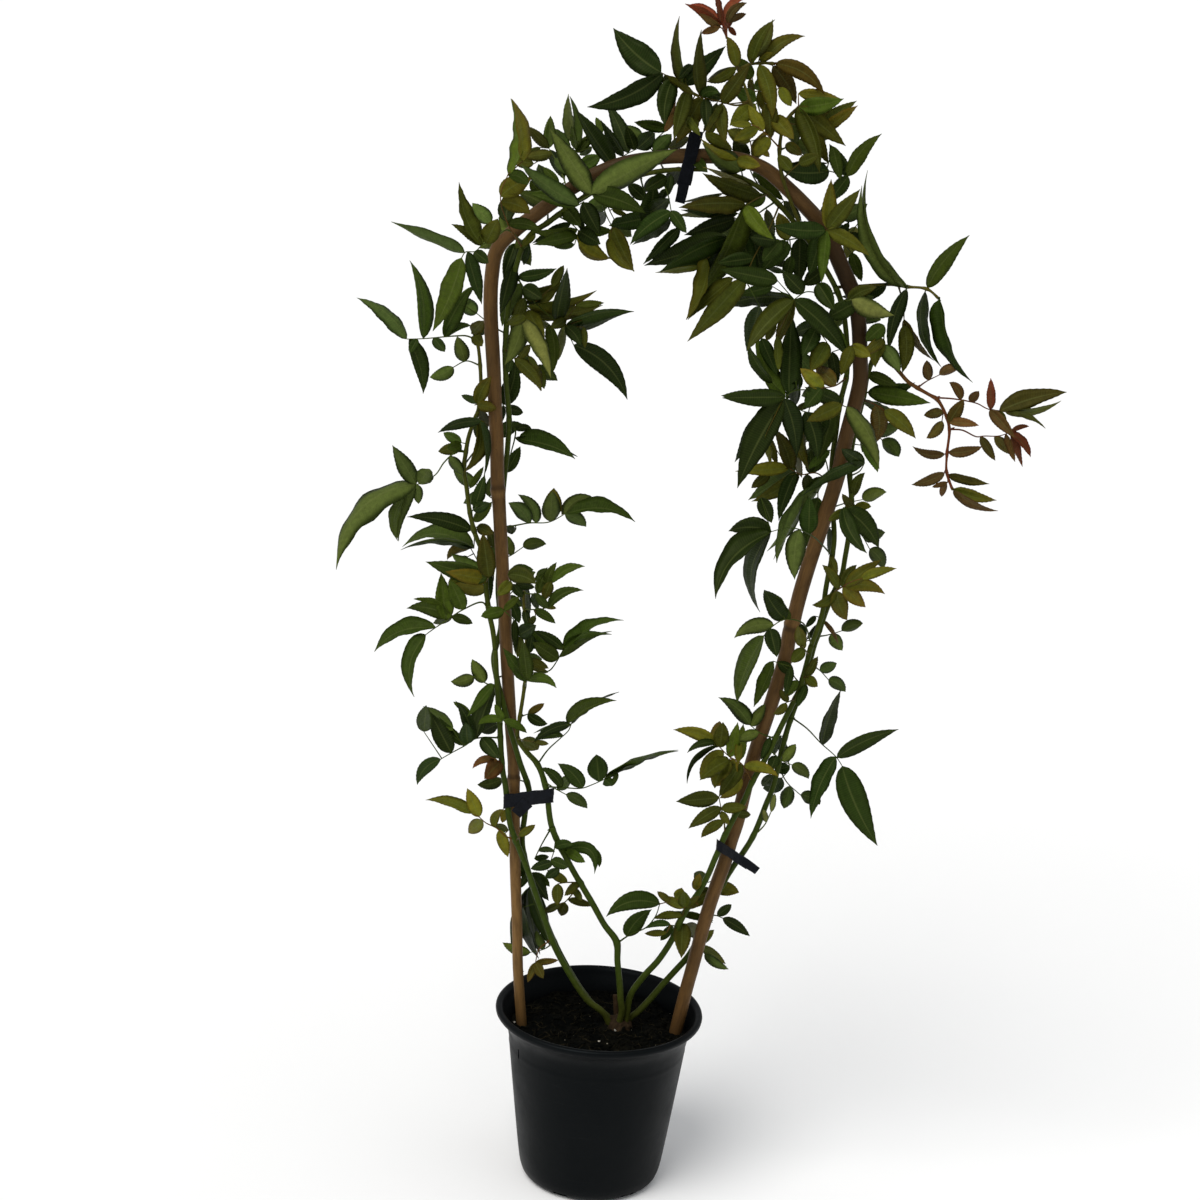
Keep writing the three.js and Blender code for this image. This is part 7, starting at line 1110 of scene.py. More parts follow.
class Shape:
    """A piece's mesh in the making. Each point has a tone, which is its colour and in alpha what it is
    (0 stem, 0.5 a leaf's underside, 1 its top), and a grain, which is its place along and across its part."""

    def __init__(self):
        self.points, self.tones, self.grains, self.faces, self.count = [], [], [], [], 0

    def add(self, points, tones, grains, faces):
        self.points.append(points)
        self.tones.append(np.broadcast_to(tones, (len(points), 4)))
        self.grains.append(grains)
        self.faces += [tuple(i + self.count for i in face) for face in faces]
        self.count += len(points)

    def tube(self, centres, radii, tones, sides):
        """A closed round body along a line of centres."""
        n = len(centres)
        tangents = unit(np.gradient(centres, axis=0))
        side = unit(np.cross(tangents[0], (0.3, 1, 0.2)))
        outs = []
        for t in tangents:
            side = unit(side - t * side.dot(t))
            outs.append(side)
        outs = np.array(outs)
        ups = np.cross(tangents, outs)
        turn = np.arange(sides) * TURN / sides
        radii = np.broadcast_to(np.asarray(radii, float).reshape(n, -1), (n, sides))[:, :, None]
        rings = (centres[:, None] + radii * (np.cos(turn)[:, None] * outs[:, None]
                                             + np.sin(turn)[:, None] * ups[:, None]))
        along = np.repeat(run_of(centres), sides)
        grains = np.stack([along, np.tile(np.cos(turn), n), np.tile(np.sin(turn), n)], axis=1)
        tones = np.asarray(tones, float)
        if tones.ndim == 2:
            tones = np.repeat(tones, sides, axis=0)
        self.add(rings.reshape(-1, 3), tones, grains, wall(n, sides) + caps(n, sides))

    def piece(self, name, node, slot, material):
        mesh = bpy.data.meshes.new(name)
        points = np.concatenate(self.points) * MM
        mesh.from_pydata(points.tolist(), [], self.faces)
        tone = mesh.attributes.new("tone", "FLOAT_COLOR", "POINT")
        tone.data.foreach_set("color", np.concatenate(self.tones).astype(np.float32).ravel())
        grain = mesh.attributes.new("grain", "FLOAT_VECTOR", "POINT")
        grain.data.foreach_set("vector", np.concatenate(self.grains).astype(np.float32).ravel())
        mesh.polygons.foreach_set("use_smooth", [True] * len(mesh.polygons))
        mesh.materials.append(material)
        mesh.update()
        dress(shown(name, mesh), node, slot)


def shown(name, data):
    """A new thing in the scene."""
    thing = bpy.data.objects.new(name, data)
    bpy.context.scene.collection.objects.link(thing)
    return thing


def dress(piece, node, slot):
    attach(piece, "root")
    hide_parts(node)


def colour(r, g, b, kind=0):
    """A colour given as screen values from 0 to 255, as the linear values that a shader takes."""
    linear = [v / 255 / 12.92 if v <= 10 else ((v / 255 + 0.055) / 1.055) ** 2.4 for v in (r, g, b)]
    return np.array([*linear, kind])


def blend(a, b, share):
    return a + (b - a) * share


# Foliage. For each tone: the side that the eye sees, the other side, its edges and tip, and its stalk
TONES = {name: [colour(*shade) for shade in shades] for name, shades in {
    "dark": ((26, 40, 7), (54, 66, 24), (38, 46, 10), (44, 56, 14)),
    "mid": ((49, 63, 13), (72, 84, 32), (56, 62, 14), (54, 64, 18)),
    "bright": ((58, 72, 14), (84, 98, 36), (64, 72, 16), (60, 74, 20)),
    "olive": ((60, 64, 12), (76, 78, 26), (76, 58, 14), (64, 54, 16)),
    "gold": ((82, 82, 17), (94, 92, 34), (102, 68, 18), (82, 56, 20)),
    "brown": ((66, 56, 14), (80, 70, 28), (84, 48, 14), (72, 44, 18)),
    "bronze": ((76, 54, 24), (86, 66, 36), (88, 40, 20), (82, 40, 22)),
    "red": ((98, 46, 26), (100, 56, 34), (112, 34, 20), (98, 36, 20)),
    "light": ((72, 84, 36), (36, 50, 12), (72, 78, 32), (58, 70, 22)),
    "pale": ((106, 110, 54), (48, 62, 18), (98, 100, 46), (70, 80, 28)),
}.items()}
UNDERSIDE_SEEN = ("light", "pale")
YOUNG = ("olive", "gold", "brown", "bronze", "red")
SHADE, UNDERSIDE_SHADE = (0.64, 1.48), (0.78, 1.22)
SHADE_CURVE = 1.3  # above 1, most leaflets are on the dark side
WARMTH = (-0.12, 0.1)
RUST, YOUNG_RUST, EDGE_RUST = (0, 0.2), (0, 0.6), 0.75
OWN_PATTERN = (0, 50)  # where in the veins' pattern a leaflet starts
VEIN_SCALE = 0.1

LEAF_STEPS = 22
COLUMNS = np.array([-1, -0.5, 0, 0.5, 1])
INNER = slice(1, 4)  # the columns that the underside has of its own
LEAF_THICK = 0.35
PETIOLULE_R = 0.34
TIP_R = 0.1
BREADTH = 1.15  # blades are this much broader than their solids
SWELL = 0.62
TAPER, TAPER_MORE = 0.8, 0.32  # of a short leaflet's tip, and what is added to it for a long one
SHORT_LEAF, FINE_LEAF = 16, 38
TOOTH, TOOTH_LEAN = 0.3, 0.5
TOOTHED = (0.12, 0.93)
FOLD, TWIST = (12, 36), (-22, 22)  # in degrees
FOLD_CURVE, FOLD_MIDDLE, FOLD_LOSS = 1.3, 0.5, 0.4
CURL = (0.02, 0.2)  # share of the length by which a tip bends back
WAVE, WAVES, WAVE_START, WAVE_SHIFT = (0, 0.14), (1.5, 3.5), (0, 6), 1.6

STALK_STEP, STALK_FOOT = 1.8, 0.5
STALK_R, STALK_CURVE = (0.95, 0.42), 0.7
THIN_SIDES = 6
BUD_ALONG, BUD_R = np.array([[-0.3], [0.5], [1.4], [2.4], [3.1]]), np.array([0.5, 0.85, 0.8, 0.5, 0.12])
BUD_SIZE, BUD_AT, BUD_RISE, BUD_SHADE = (0.8, 1.3), 1.6, 3.0, 0.9
SHORT_STALK = 1.2  # a smaller leaflet this near to what carries it sits right on it
SHORT_STALK_R = np.array([0.6, 0.4])
CANE_STEP, CANE_SIDES = 3, 12
NODE_SWELL, NODE_LONG = 0.35, 2.6
CANE_GREEN = colour(46, 60, 14)
CANE_BROWN = colour(64, 52, 24)
CANE_YOUNG = colour(72, 66, 22)
CANE_RED = colour(88, 42, 24)
YOUNG_R, GREEN_R = 1.2, 2.6  # a cane is young below the one radius and full green above the other
BROWN_Z, GREEN_Z = 150, 210
BROWNING = 0.45


def sighted(shift, at):
    """A shift whose part in depth runs along the line of sight, so that it doesn't show from the front."""
    sight = (at - np.array([0, -EYE_BACK, EYE_HEIGHT])) / (at[..., 1:2] + EYE_BACK)
    return shift * np.array([1, 0, 1]) + shift[..., 1:2] * sight


def breadth(leaf, s):
    """Short leaflets are oval. Longer ones are broadest nearer their base, and have a finer tip."""
    taper = TAPER + TAPER_MORE * min(1, max(0, (leaf.flat - SHORT_LEAF) / (FINE_LEAF - SHORT_LEAF)))
    broadest = SWELL / (SWELL + taper)
    return leaf.width * BREADTH * (s / broadest) ** SWELL * ((1 - s) / (1 - broadest)) ** taper


def axis(leaf, base, s):
    """A blade's middle line from a base, the way across it, and its length."""
    ux, uz = leaf.tx - base[0], leaf.tz - base[1]
    flat = span(ux, uz)
    ux, uz = ux / flat, uz / flat
    lift = leaf.bow * 4 * s * (1 - s)
    slope = leaf.bow * 4 * (1 - 2 * s) / flat
    norm = np.sqrt(1 + slope * slope)
    nx, nz = (-uz - ux * slope) / norm, (ux - uz * slope) / norm
    dip = leaf.by + leaf.dip - base[2]
    x, z = base[0] + ux * s * flat - uz * lift, base[1] + uz * s * flat + ux * lift
    spine = placed(x, z, base[2] + dip * s)
    cos, sin = math.cos(leaf.roll), math.sin(leaf.roll)
    across = unit(np.stack([nx * cos, np.full_like(nx, sin), nz * cos], axis=1))
    return spine, across, span(flat, dip)


def leaf_faces(flipped):
    """The faces of a blade: the points of its upper side come first, and both sides share its edges."""
    columns = len(COLUMNS)
    inner = columns - 2

    def up(i, j):
        return i * columns + j

    def low(i, j):
        return up(i, j) if j in (0, columns - 1) else (LEAF_STEPS + 1) * columns + i * inner + j - 1

    faces = []
    for i in range(LEAF_STEPS):
        for j in range(columns - 1):
            faces.append((up(i, j), up(i + 1, j), up(i + 1, j + 1), up(i, j + 1)))
            faces.append((low(i, j), low(i, j + 1), low(i + 1, j + 1), low(i + 1, j)))
    for i in (0, LEAF_STEPS):
        ring = [up(i, j) for j in range(columns)] + [low(i, j) for j in range(inner, 0, -1)]
        faces.append(tuple(ring if i == 0 else reversed(ring)))
    return [tuple(reversed(face)) for face in faces] if flipped else faces


def leaflet(shape, leaf, base, tone, faces_back, rng):
    """A thin closed blade on the leaf's own outline: folded at the midrib, toothed, twisted and curled."""
    steps = np.linspace(0, 1, LEAF_STEPS + 1)
    spine, across, length = axis(leaf, base, steps)
    along = unit(np.gradient(spine, axis=0))
    top = unit(np.cross(along, across))
    to_eye = np.array([0, -EYE_BACK, EYE_HEIGHT]) - spine[LEAF_STEPS // 2]
    top_seen = (tone in UNDERSIDE_SEEN) == faces_back
    if (top[LEAF_STEPS // 2].dot(to_eye) > 0) != top_seen:
        top = -top
    fold, twist = (math.tan(math.radians(rng.uniform(*most))) for most in (FOLD, TWIST))
    curl = rng.uniform(*CURL) * length
    wave, waves, wave_start = (rng.uniform(*most) for most in (WAVE, WAVES, WAVE_START))

    s, v = steps[:, None], COLUMNS[None, :]
    half = np.maximum(breadth(leaf, s) / 2, np.where(s < 0.5, PETIOLULE_R, TIP_R))
    first, last = TOOTHED
    odd = np.arange(LEAF_STEPS + 1)[:, None] % 2 == 1
    teeth = np.where(odd & (s > first) & (s < last), TOOTH, 0) * (np.abs(v) == 1)
    bend = np.abs(v) ** FOLD_CURVE
    rise = (half * (bend - FOLD_MIDDLE) * fold * (1 - FOLD_LOSS * s) + v * half * twist * s
            + wave * half * bend * np.sin(wave_start + waves * TURN * s + WAVE_SHIFT * np.sign(v)))
    middle = spine + sighted(top * (-curl * s ** 2) * (0, 1, 0), spine)
    upper = (middle[:, None] + (v * half + np.sign(v) * teeth)[..., None] * across[:, None]
             + sighted(rise[..., None] * top[:, None], spine[:, None]))
    upper += (TOOTH_LEAN * teeth)[..., None] * along[:, None]
    lower = upper[:, INNER] - LEAF_THICK * top[:, None]

    seen, other, rim, _ = TONES[tone]
    upper_tone, lower_tone = (other, seen) if tone in UNDERSIDE_SEEN else (seen, other)
    least, most = UNDERSIDE_SHADE if tone in UNDERSIDE_SEEN else SHADE
    shade = least + (most - least) * rng.random() ** SHADE_CURVE
    warm = rng.uniform(*WARMTH)
    tint = np.array([shade * (1 + warm), shade, shade * (1 - warm), 1])
    rust = rng.uniform(*(YOUNG_RUST if tone in YOUNG else RUST))

    def tones(face, columns, kind):
        share = np.clip(rust * (EDGE_RUST * np.abs(columns) ** 3 + s ** 3), 0, 1)[..., None]
        mixed = blend(face, rim, share) * tint
        mixed[..., 3] = kind
        return mixed.reshape(-1, 4)

    own = rng.uniform(*OWN_PATTERN)
    grains = [(own + a * length * VEIN_SCALE, b, a)
              for side in (COLUMNS, COLUMNS[INNER]) for a in steps for b in side]
    shape.add(np.concatenate([upper.reshape(-1, 3), lower.reshape(-1, 3)]),
              np.concatenate([tones(upper_tone, v, 1.0), tones(lower_tone, v[:, INNER], 0.5)]),
              np.array(grains), leaf_faces(np.cross(along[1], across[1]).dot(top[1]) > 0))


def cane_curve(name):
    """Points x, z, depth and radius along the whole cane, and where each of its read points lies on it."""
    read = CANES[name]
    curve = smooth(read, CANE_STEP)
    at = [int(np.argmin(np.sum((curve[:, :3] - np.array(p[:3])) ** 2, axis=1))) for p in read]
    return curve, at


def cane(shape, part, leaves, young):
    """A stretch of cane, swollen where its leaves start, green between its brown foot and its young end."""
    spine = placed_all(part)
    radii = part[:, 3]
    for _, path, _ in leaves:
        radii = radii + NODE_SWELL * hump(np.linalg.norm(spine - placed(*path[0]), axis=1), NODE_LONG)
    tones = blend(young, CANE_GREEN, ramp(part[:, 3], YOUNG_R, GREEN_R)[:, None])
    tones = blend(tones, CANE_BROWN, BROWNING * ramp(part[:, 1], GREEN_Z, BROWN_Z)[:, None])
    shape.tube(spine, radii, tones, CANE_SIDES)


def bud(shape, at, towards, tone, size):
    shape.tube(at + unit(towards) * BUD_ALONG * size, BUD_R * size, tone, THIN_SIDES)


def leaf_stalk(shape, stalk, tone, rng):
    """A leaf's stalk, which thins towards its tip, and the bud that sits in its armpit."""
    centres = placed_all(stalk)
    thick, thin = STALK_R
    radii = thick + (thin - thick) * np.linspace(0, 1, len(centres)) ** STALK_CURVE
    radii[0] += STALK_FOOT
    shape.tube(centres, radii, tone, THIN_SIDES)
    start = centres[0] + unit(centres[1] - centres[0]) * BUD_AT
    towards = centres[:4][-1] - centres[0] + np.array([0, 0, BUD_RISE])
    bud(shape, start, towards, tone * BUD_SHADE, rng.uniform(*BUD_SIZE))


def foliage(number, leaves, more, curves, rng):
    """A node's stretch of cane, with its leaves and its smaller leaflets, as one piece."""
    name, slot, (cane_name, first, last), _ = NODES[number]
    curve, at = curves[cane_name]
    part = curve[at[first]:at[last] + 1]
    shape = Shape()
    cane(shape, part, leaves, CANE_RED if slot in ("foliage_bronze", "foliage_red") else CANE_YOUNG)
    lines = [part[:, :3].tolist()]
    for (set_back, tone, line, _), path, blades in leaves:
        root = nearest(lines[0], *line[0])
        stalk = smooth(eased([root] + line[1:], root[2], path[-1][2] - path[0][2]), STALK_STEP)
        leaf_stalk(shape, stalk, TONES[tone][3], rng)
        lines.append(stalk.tolist())
        for leaf, row in blades:
            own_tone = row[6] if len(row) > 6 else tone
            leaflet(shape, leaf, nearest(lines[-1], *row[:2]), own_tone, set_back >= FILLER, rng)
    for carrier, leaf, row in more:
        tone = row[6]
        base = nearest(lines[carrier], *row[:2])
        if span(leaf.bx - base[0], leaf.bz - base[1]) > SHORT_STALK:
            root, base = base, (leaf.bx, leaf.bz, base[2])
            shape.tube(placed_all([root, base]), SHORT_STALK_R, TONES[tone][3], THIN_SIDES)
        leaflet(shape, leaf, base, tone, False, rng)
    shape.piece(name + "_leaves", name, slot, FOLIAGE[slot])


# Materials
WHOLE = 1.0  # a blend's whole share
STAIN, SPECK = (0.045, 0.024, 0.01, 1), (0.03, 0.016, 0.009, 1)


class Nodes:
    """A material's node tree, with a short way to add and join nodes."""

    def __init__(self, name):
        self.material = bpy.data.materials.new(name)
        self.material.use_nodes = True
        self.tree = self.material.node_tree
        self.shader = self.tree.nodes["Principled BSDF"]

    def fill(self, socket, value):
        if isinstance(value, bpy.types.NodeSocket):
            self.tree.links.new(value, socket)
        else:
            socket.default_value = value

    def node(self, kind, inputs, **settings):
        made = self.tree.nodes.new(kind)
        for key, value in settings.items():
            setattr(made, key, value)
        for key, value in inputs.items():
            self.fill(made.inputs[key], value)
        return made

    def where(self):
        return self.node("ShaderNodeTexCoord", {}).outputs["Object"]

    def grain(self):
        return self.node("ShaderNodeAttribute", {}, attribute_name="grain").outputs["Vector"]

    def tone(self):
        return self.node("ShaderNodeAttribute", {}, attribute_name="tone")

    def parts(self, vector):
        return self.node("ShaderNodeSeparateXYZ", {0: vector}).outputs

    def scaled(self, vector, *scale):
        return self.node("ShaderNodeMapping", {0: vector, 3: scale}).outputs[0]

    def maths(self, operation, a, b=0.0):
        return self.node("ShaderNodeMath", {0: a, 1: b}, operation=operation).outputs[0]

    def times(self, a, b):
        return self.maths("MULTIPLY", a, b)

    def plus(self, a, b):
        return self.maths("ADD", a, b)

    def noise(self, vector, scale, detail=3.0, roughness=0.55):
        inputs = {"Vector": vector, "Scale": scale, "Detail": detail, "Roughness": roughness}
        return self.node("ShaderNodeTexNoise", inputs).outputs["Fac"]

    def range(self, value, low, high, out_low=0.0, out_high=1.0):
        inputs = {"Value": value, "From Min": low, "From Max": high, "To Min": out_low, "To Max": out_high}
        return self.node("ShaderNodeMapRange", inputs).outputs[0]

    def mix(self, share, a, b, blend_type="MIX"):
        return self.node("ShaderNodeMix", {0: share, 6: a, 7: b}, data_type="RGBA",
                         blend_type=blend_type).outputs[2]

    def bump(self, height, distance, strength):
        made = self.node("ShaderNodeBump", {"Height": height, "Distance": distance, "Strength": strength})
        self.set(Normal=made.outputs[0])

    def set(self, **inputs):
        for key, value in inputs.items():
            self.fill(self.shader.inputs[key.replace("_", " ")], value)


def foliage_material(slot, gloss, speckle):
    """Leaves with a pale midrib, side veins, uneven colour and, where they are young, small brown specks."""
    n = Nodes(slot)
    tone, where = n.tone(), n.where()
    kind = tone.outputs["Alpha"]
    along, across, _ = n.parts(n.grain())
    leaf = n.range(kind, 0.2, 0.45)
    under = n.times(n.range(kind, 0.95, 0.55), leaf)
    off = n.maths("ABSOLUTE", across)
    rib = n.times(n.range(off, 0.11, 0.03), leaf)
    slanted = n.maths("SUBTRACT", n.times(along, 4.6), n.times(off, 0.9))
    between = n.maths("ABSOLUTE", n.maths("SUBTRACT", n.maths("FRACT", slanted), 0.5))
    veins = n.times(n.range(between, 0.16, 0.03), leaf)
    patches = n.range(n.noise(where, 260), 0.3, 0.7, 0.8, 1.18)
    fine = n.range(n.noise(where, 1500, 2), 0.3, 0.7, 0.92, 1.07)
    body = n.mix(WHOLE, tone.outputs["Color"], n.times(patches, fine), "MULTIPLY")
    body = n.mix(n.times(veins, 0.1), body, (0.09, 0.11, 0.025, 1))
    body = n.mix(n.times(rib, 0.24), body, (0.12, 0.14, 0.04, 1))
    specks = n.times(n.range(n.noise(where, 700, 1), 0.69, 0.73), n.times(leaf, speckle))
    body = n.mix(specks, body, (0.06, 0.03, 0.014, 1))
    rough = n.plus(n.range(n.noise(where, 420), 0.3, 0.7, gloss - 0.06, gloss + 0.08), n.times(under, 0.2))
    n.set(Base_Color=body, Roughness=rough, Specular_IOR_Level=0.12, Specular_Tint=(0.92, 1, 0.5, 1))
    n.bump(n.plus(n.times(n.noise(where, 900, 2), 0.4), n.times(n.plus(veins, rib), -0.6)), 0.0003, 0.7)
    return n.material


def bamboo_material():
    """Bamboo skin: long fibres, brown weather stains and dark specks, duller where it is stained."""
    n = Nodes("bamboo")
    grain = n.grain()

    def fibre_noise(along, round_it, detail, roughness=0.55):
        return n.noise(n.scaled(grain, along, round_it, round_it), 1.0, detail, roughness)

    fibres = n.range(fibre_noise(0.012, 9, 4), 0.25, 0.75, 0.84, 1.14)
    stains = n.range(fibre_noise(0.05, 1.3, 4, 0.65), 0.42, 0.66)
    specks = n.range(fibre_noise(0.55, 5, 2), 0.66, 0.74)
    body = n.mix(WHOLE, n.tone().outputs["Color"], fibres, "MULTIPLY")
    body = n.mix(n.times(stains, 0.5), body, STAIN)
    body = n.mix(n.times(specks, 0.7), body, SPECK)
    n.set(Base_Color=body, Roughness=n.range(stains, 0, 1, 0.4, 0.62),
          Specular_IOR_Level=0.14, Specular_Tint=(1, 0.9, 0.65, 1))
    n.bump(fibre_noise(0.02, 14, 4), 0.0004, 0.6)
    return n.material


def pot_material():
    """Black blow-moulded plastic, a little dusty, with fine scuffs round it."""
    n = Nodes("pot_plastic")
    where = n.where()
    dust = n.range(n.noise(where, 22, 5, 0.6), 0.42, 0.72)
    scuffs = n.range(n.noise(n.scaled(where, 9, 9, 160), 4, 6, 0.7), 0.6, 0.74)
    body = n.mix(n.times(dust, 0.55), (0.0016, 0.002, 0.0022, 1), (0.004, 0.0044, 0.0046, 1))
    body = n.mix(n.times(scuffs, 0.3), body, (0.016, 0.017, 0.017, 1))
    rough = n.plus(n.range(dust, 0, 1, 0.4, 0.56), n.times(scuffs, 0.12))
    n.set(Base_Color=body, Roughness=rough, Specular_IOR_Level=0.07, Specular_Tint=(0.82, 0.94, 1, 1))
    n.bump(n.plus(n.noise(where, 60, 3), n.times(n.noise(where, 1300, 2), 0.12)), 0.0005, 0.5)
    return n.material


def compost_material():
    """Dark clods between paler ones."""
    n = Nodes("compost")
    where = n.where()
    clods = n.range(n.noise(where, 240, 5, 0.7), 0.35, 0.7)
    body = n.mix(clods, (0.3, 0.3, 0.3, 1), (1.1, 1.0, 0.9, 1))
    body = n.mix(WHOLE, n.tone().outputs["Color"], body, "MULTIPLY")
    n.set(Base_Color=body, Roughness=n.range(clods, 0, 1, 0.95, 0.8), Specular_IOR_Level=0.03)
    n.bump(n.noise(where, 700, 6, 0.75), 0.0016, 0.9)
    return n.material


def bark_material():
    """Brown bark with dark cracks that run up it."""
    n = Nodes("woody_crown")
    cracks = n.range(n.noise(n.scaled(n.where(), 260, 260, 70), 1.0, 6, 0.7), 0.35, 0.68)
    body = n.mix(cracks, (0.008, 0.005, 0.003, 1), (0.045, 0.028, 0.014, 1))
    n.set(Base_Color=n.mix(0.4, body, n.tone().outputs["Color"]), Roughness=n.range(cracks, 0, 1, 0.95, 0.78),
          Specular_IOR_Level=0.06)
    n.bump(cracks, 0.0012, 0.9)
    return n.material


def tape_material():
    """Soft black cloth tape: a fine crossed weave, paler where it is rubbed."""
    n = Nodes("tie_tape")
    along, across, _ = n.parts(n.grain())
    where = n.where()
    weave = n.times(*(n.maths("SINE", n.times(way, 9.0)) for way in (along, across)))
    rub = n.range(n.noise(where, 180, 4), 0.45, 0.75)
    body = n.mix(n.times(rub, 0.6), (0.002, 0.003, 0.0055, 1), (0.009, 0.011, 0.017, 1))
    n.set(Base_Color=body, Roughness=n.range(rub, 0, 1, 0.62, 0.8),
          Sheen_Weight=0.03, Specular_IOR_Level=0.12)
    n.bump(n.plus(weave, n.times(n.noise(where, 500, 2), 0.6)), 0.00025, 0.6)
    return n.material


# Pot, compost, crown, hoop and ties. The pot's profiles are [radius, z].
POT_OUTER = [[50, 0], [58, 1.2], [62.5, 5], [65, 11], [66.5, 18], [80.3, 125], [82, 140], [84.4, 149],
             [88.5, 156], [92.5, 160.5], [94.6, 163], [95, 165], [94.2, 167.2], [92.5, 168]]
POT_INNER = [[92.5, 168], [90.4, 167.8], [88.8, 166.4], [87, 162], [84, 155.5], [81.6, 149], [79.9, 140],
             [78.2, 125], [64.4, 19], [62.6, 12], [59, 6], [54, 4]]
POT_HEIGHT = 168
POT_TURNS = 180
OUTER_STEP, INNER_STEP = 2.2, 3.5
LEDGE_Z, LEDGE_RISE, LEDGE_WIDE = 132, 0.35, 1.3
OVAL, OVAL_TURN = 0.0035, 0.7  # by how much the rim is out of round, and which way
BASE_R = 56
DRAINS, DRAIN_R, DRAIN_RING_R, DRAIN_SIDES = 6, 5, 40, 16
DRAIN_ENDS = (-6, 10)
NOTCHES, NOTCH, NOTCH_TURN = 6, (14, 10, 6), -0.9  # width, depth, height; the first one's turn, in notches
SLIT, SLIT_R, SLIT_Z, SLIT_TURN = (20, 2, 10), 80, 135, -2.62
SHARP = math.radians(38)

SOIL_EDGE_Z, SOIL_EDGE_R, SOIL_FOOT_Z = 147, 80.6, 120
SOIL_RISE, SOIL_TAPER = 4, 4  # at its middle, and at its foot
SOIL_ROUGH = ((4.4, 26, 0), (2.4, 9, 9), (1.3, 3.4, 5))  # height, width and own place of its waves
SOIL_RINGS, SOIL_TURNS = 46, 150
SOIL_DARK, SOIL_BROWN, ROOT_PALE = colour(6, 8, 7), colour(18, 18, 13), colour(58, 54, 40)
BROWN_SHARE, BROWN_CHANGE, BROWN_WIDE = 0.35, 1.6, 12
PERLITE, GRIT = colour(226, 224, 214), colour(170, 166, 150)
PERLITE_AT, PERLITE_LIFT = [(2, -38, 1.3), (-77, -3, 1.2), (16, -12, 1.5)], 0.9  # each with its size
CRUMBS, CRUMB_LEAST, CRUMB_MORE, CRUMB_CURVE, CRUMB_STRETCH = 1500, 0.5, 1.5, 2.4, (1, 2.2)
FIBRES, FIBRE_SIZE, FIBRE_STRETCH, FIBRE_SHADE = 130, (0.7, 1.3), (2.4, 5), (0.7, 1.8)
GRITS, GRIT_SIZE, GRIT_LIFT = 26, (0.4, 0.8), 0.3
ROOTS, ROOT_LONG, ROOT_BEND, ROOT_SHADE = 150, (5, 16), (-0.5, 0.5), (0.4, 1.2)
ROOT_STEPS, ROOT_SIDES, ROOT_LIFT, ROOT_ARCH = 6, 5, 0.5, 1.6
ANY_WAY = (0, 6.28)
SCRAP_SPREAD, ROOT_SPREAD = 0.97, 0.9  # shares of the surface's radius
SCRAP_ROUGH, SCRAP_TILT, SCRAP_FLAT = (0.65, 1.25), (-0.6, 0.6), 0.7
ROOT_RADII = np.array([0.1, 0.2, 0.24, 0.24, 0.22, 0.18, 0.08])

CROWN = [[2, 127], [9, 131], [12, 140], [12.4, 147], [11.6, 153], [8.5, 157.5], [3, 159]]
CROWN_AT, CROWN_TURNS = (18, 1), 48
CROWN_STEP, CROWN_LIFT = 1.1, (0.9, 4, 8)  # the height, width and seed of waves that lift its bark
CROWN_SWELL = ((0.32, 7, 0), (0.16, 2.5, 4))  # and of those that swell it, as shares of its radius
CROWN_BROWN, STUB_BROWN = colour(44, 33, 20), colour(62, 46, 28)
BARE_STUB_R, STUB_SWELL, STUB_SIDES = 2.35, (0.09, 3, 0), 16

BAMBOO = colour(90, 65, 35)
BAMBOO_DARK = colour(40, 26, 12)
BAMBOO_PALE = colour(124, 94, 54)
JOINTS = [[-89.6, 386], [-116.5, 652], [34, 951], [148, 547]]
# Where the hoop is shaded or lit, as [x, z], the reach each way, the colour there and how much of it
BAMBOO_LOOKS = [
    ((165, 830), (75, 110), BAMBOO_DARK, 1.1), ((-30, 930), (75, 70), BAMBOO_DARK, 0.8),
    ((95, 912), (32, 32), BAMBOO_PALE, 0.45)]
BAMBOO_DRIFT = (0.35, 60, 5)  # height, width and seed of its changes in shade
# At a joint: a ridge and a groove as [rise, place, width], and a dark ring and a pale one, as [colour,
# share, place, width]. Places are distances past the joint.
RIDGES = [(0.45, 0, 1.6), (-0.35, 4.2, 1.5)]
RINGS = [(BAMBOO_DARK * 0.6, 0.75, 3, 2.2), (BAMBOO_PALE, 0.5, -3, 3)]
LOW_LEFT_X, LOW_LEFT_Z, LOW_LEFT_PALE = (-40, -70), (440, 360), 0.55  # the left leg pales below here
# The hoop turns darker towards its foot, from the pot's rim down into the compost
FOOT_DARK, FOOT_DARK_SHARE, FOOT_DARK_Z = BAMBOO_DARK * 0.55, 0.7, (168, 142)
HOOP_SIDES, HOOP_STEP = 24, 2.5
HOOP_ROUGH, HOOP_ROUGH_WIDE, HOOP_ROUGH_LONG, HOOP_ROUGH_R = 0.018, 2.2, 12, 3
TAPE, TAPE_STEP, TAPE_COLUMNS, TAIL_WIDTH, TAIL_TAPER = 0.55, 0.9, 13, 0.86, 0.12
TAPE_GAP = 1.1  # from the stems that a tie holds to its outside
TAPE_BLACK = colour(16, 20, 28)
TAPE_UNEVEN, UNEVEN_LONG = 0.09, 9  # the share by which its width changes, and over what length
TAPE_SHIFT, SHIFT_LONG = 0.7, 14  # and how far it wanders to either side
CREASES = [(0.5, 0.35, 13, 2.6), (0.35, 1, 5, 4)]  # height, scale along and across, width
TAIL_CREASE, TAIL_ACROSS, TAIL_CREASE_LONG = 0.7, 6, 4.5
HULL_SIDES, LEAST_TURN = 40, 1e-6


def rough(point, scale, seed=0.0):
    """Smooth noise about 0 at a point given in millimetres, whose features are about scale apart."""
    return noise.noise(Vector([v / scale + seed for v in point]))


def wave(points, height, scale, seed):
    """Such noise of a height at each of some points."""
    return height * np.array([rough(p, scale, seed) for p in points])


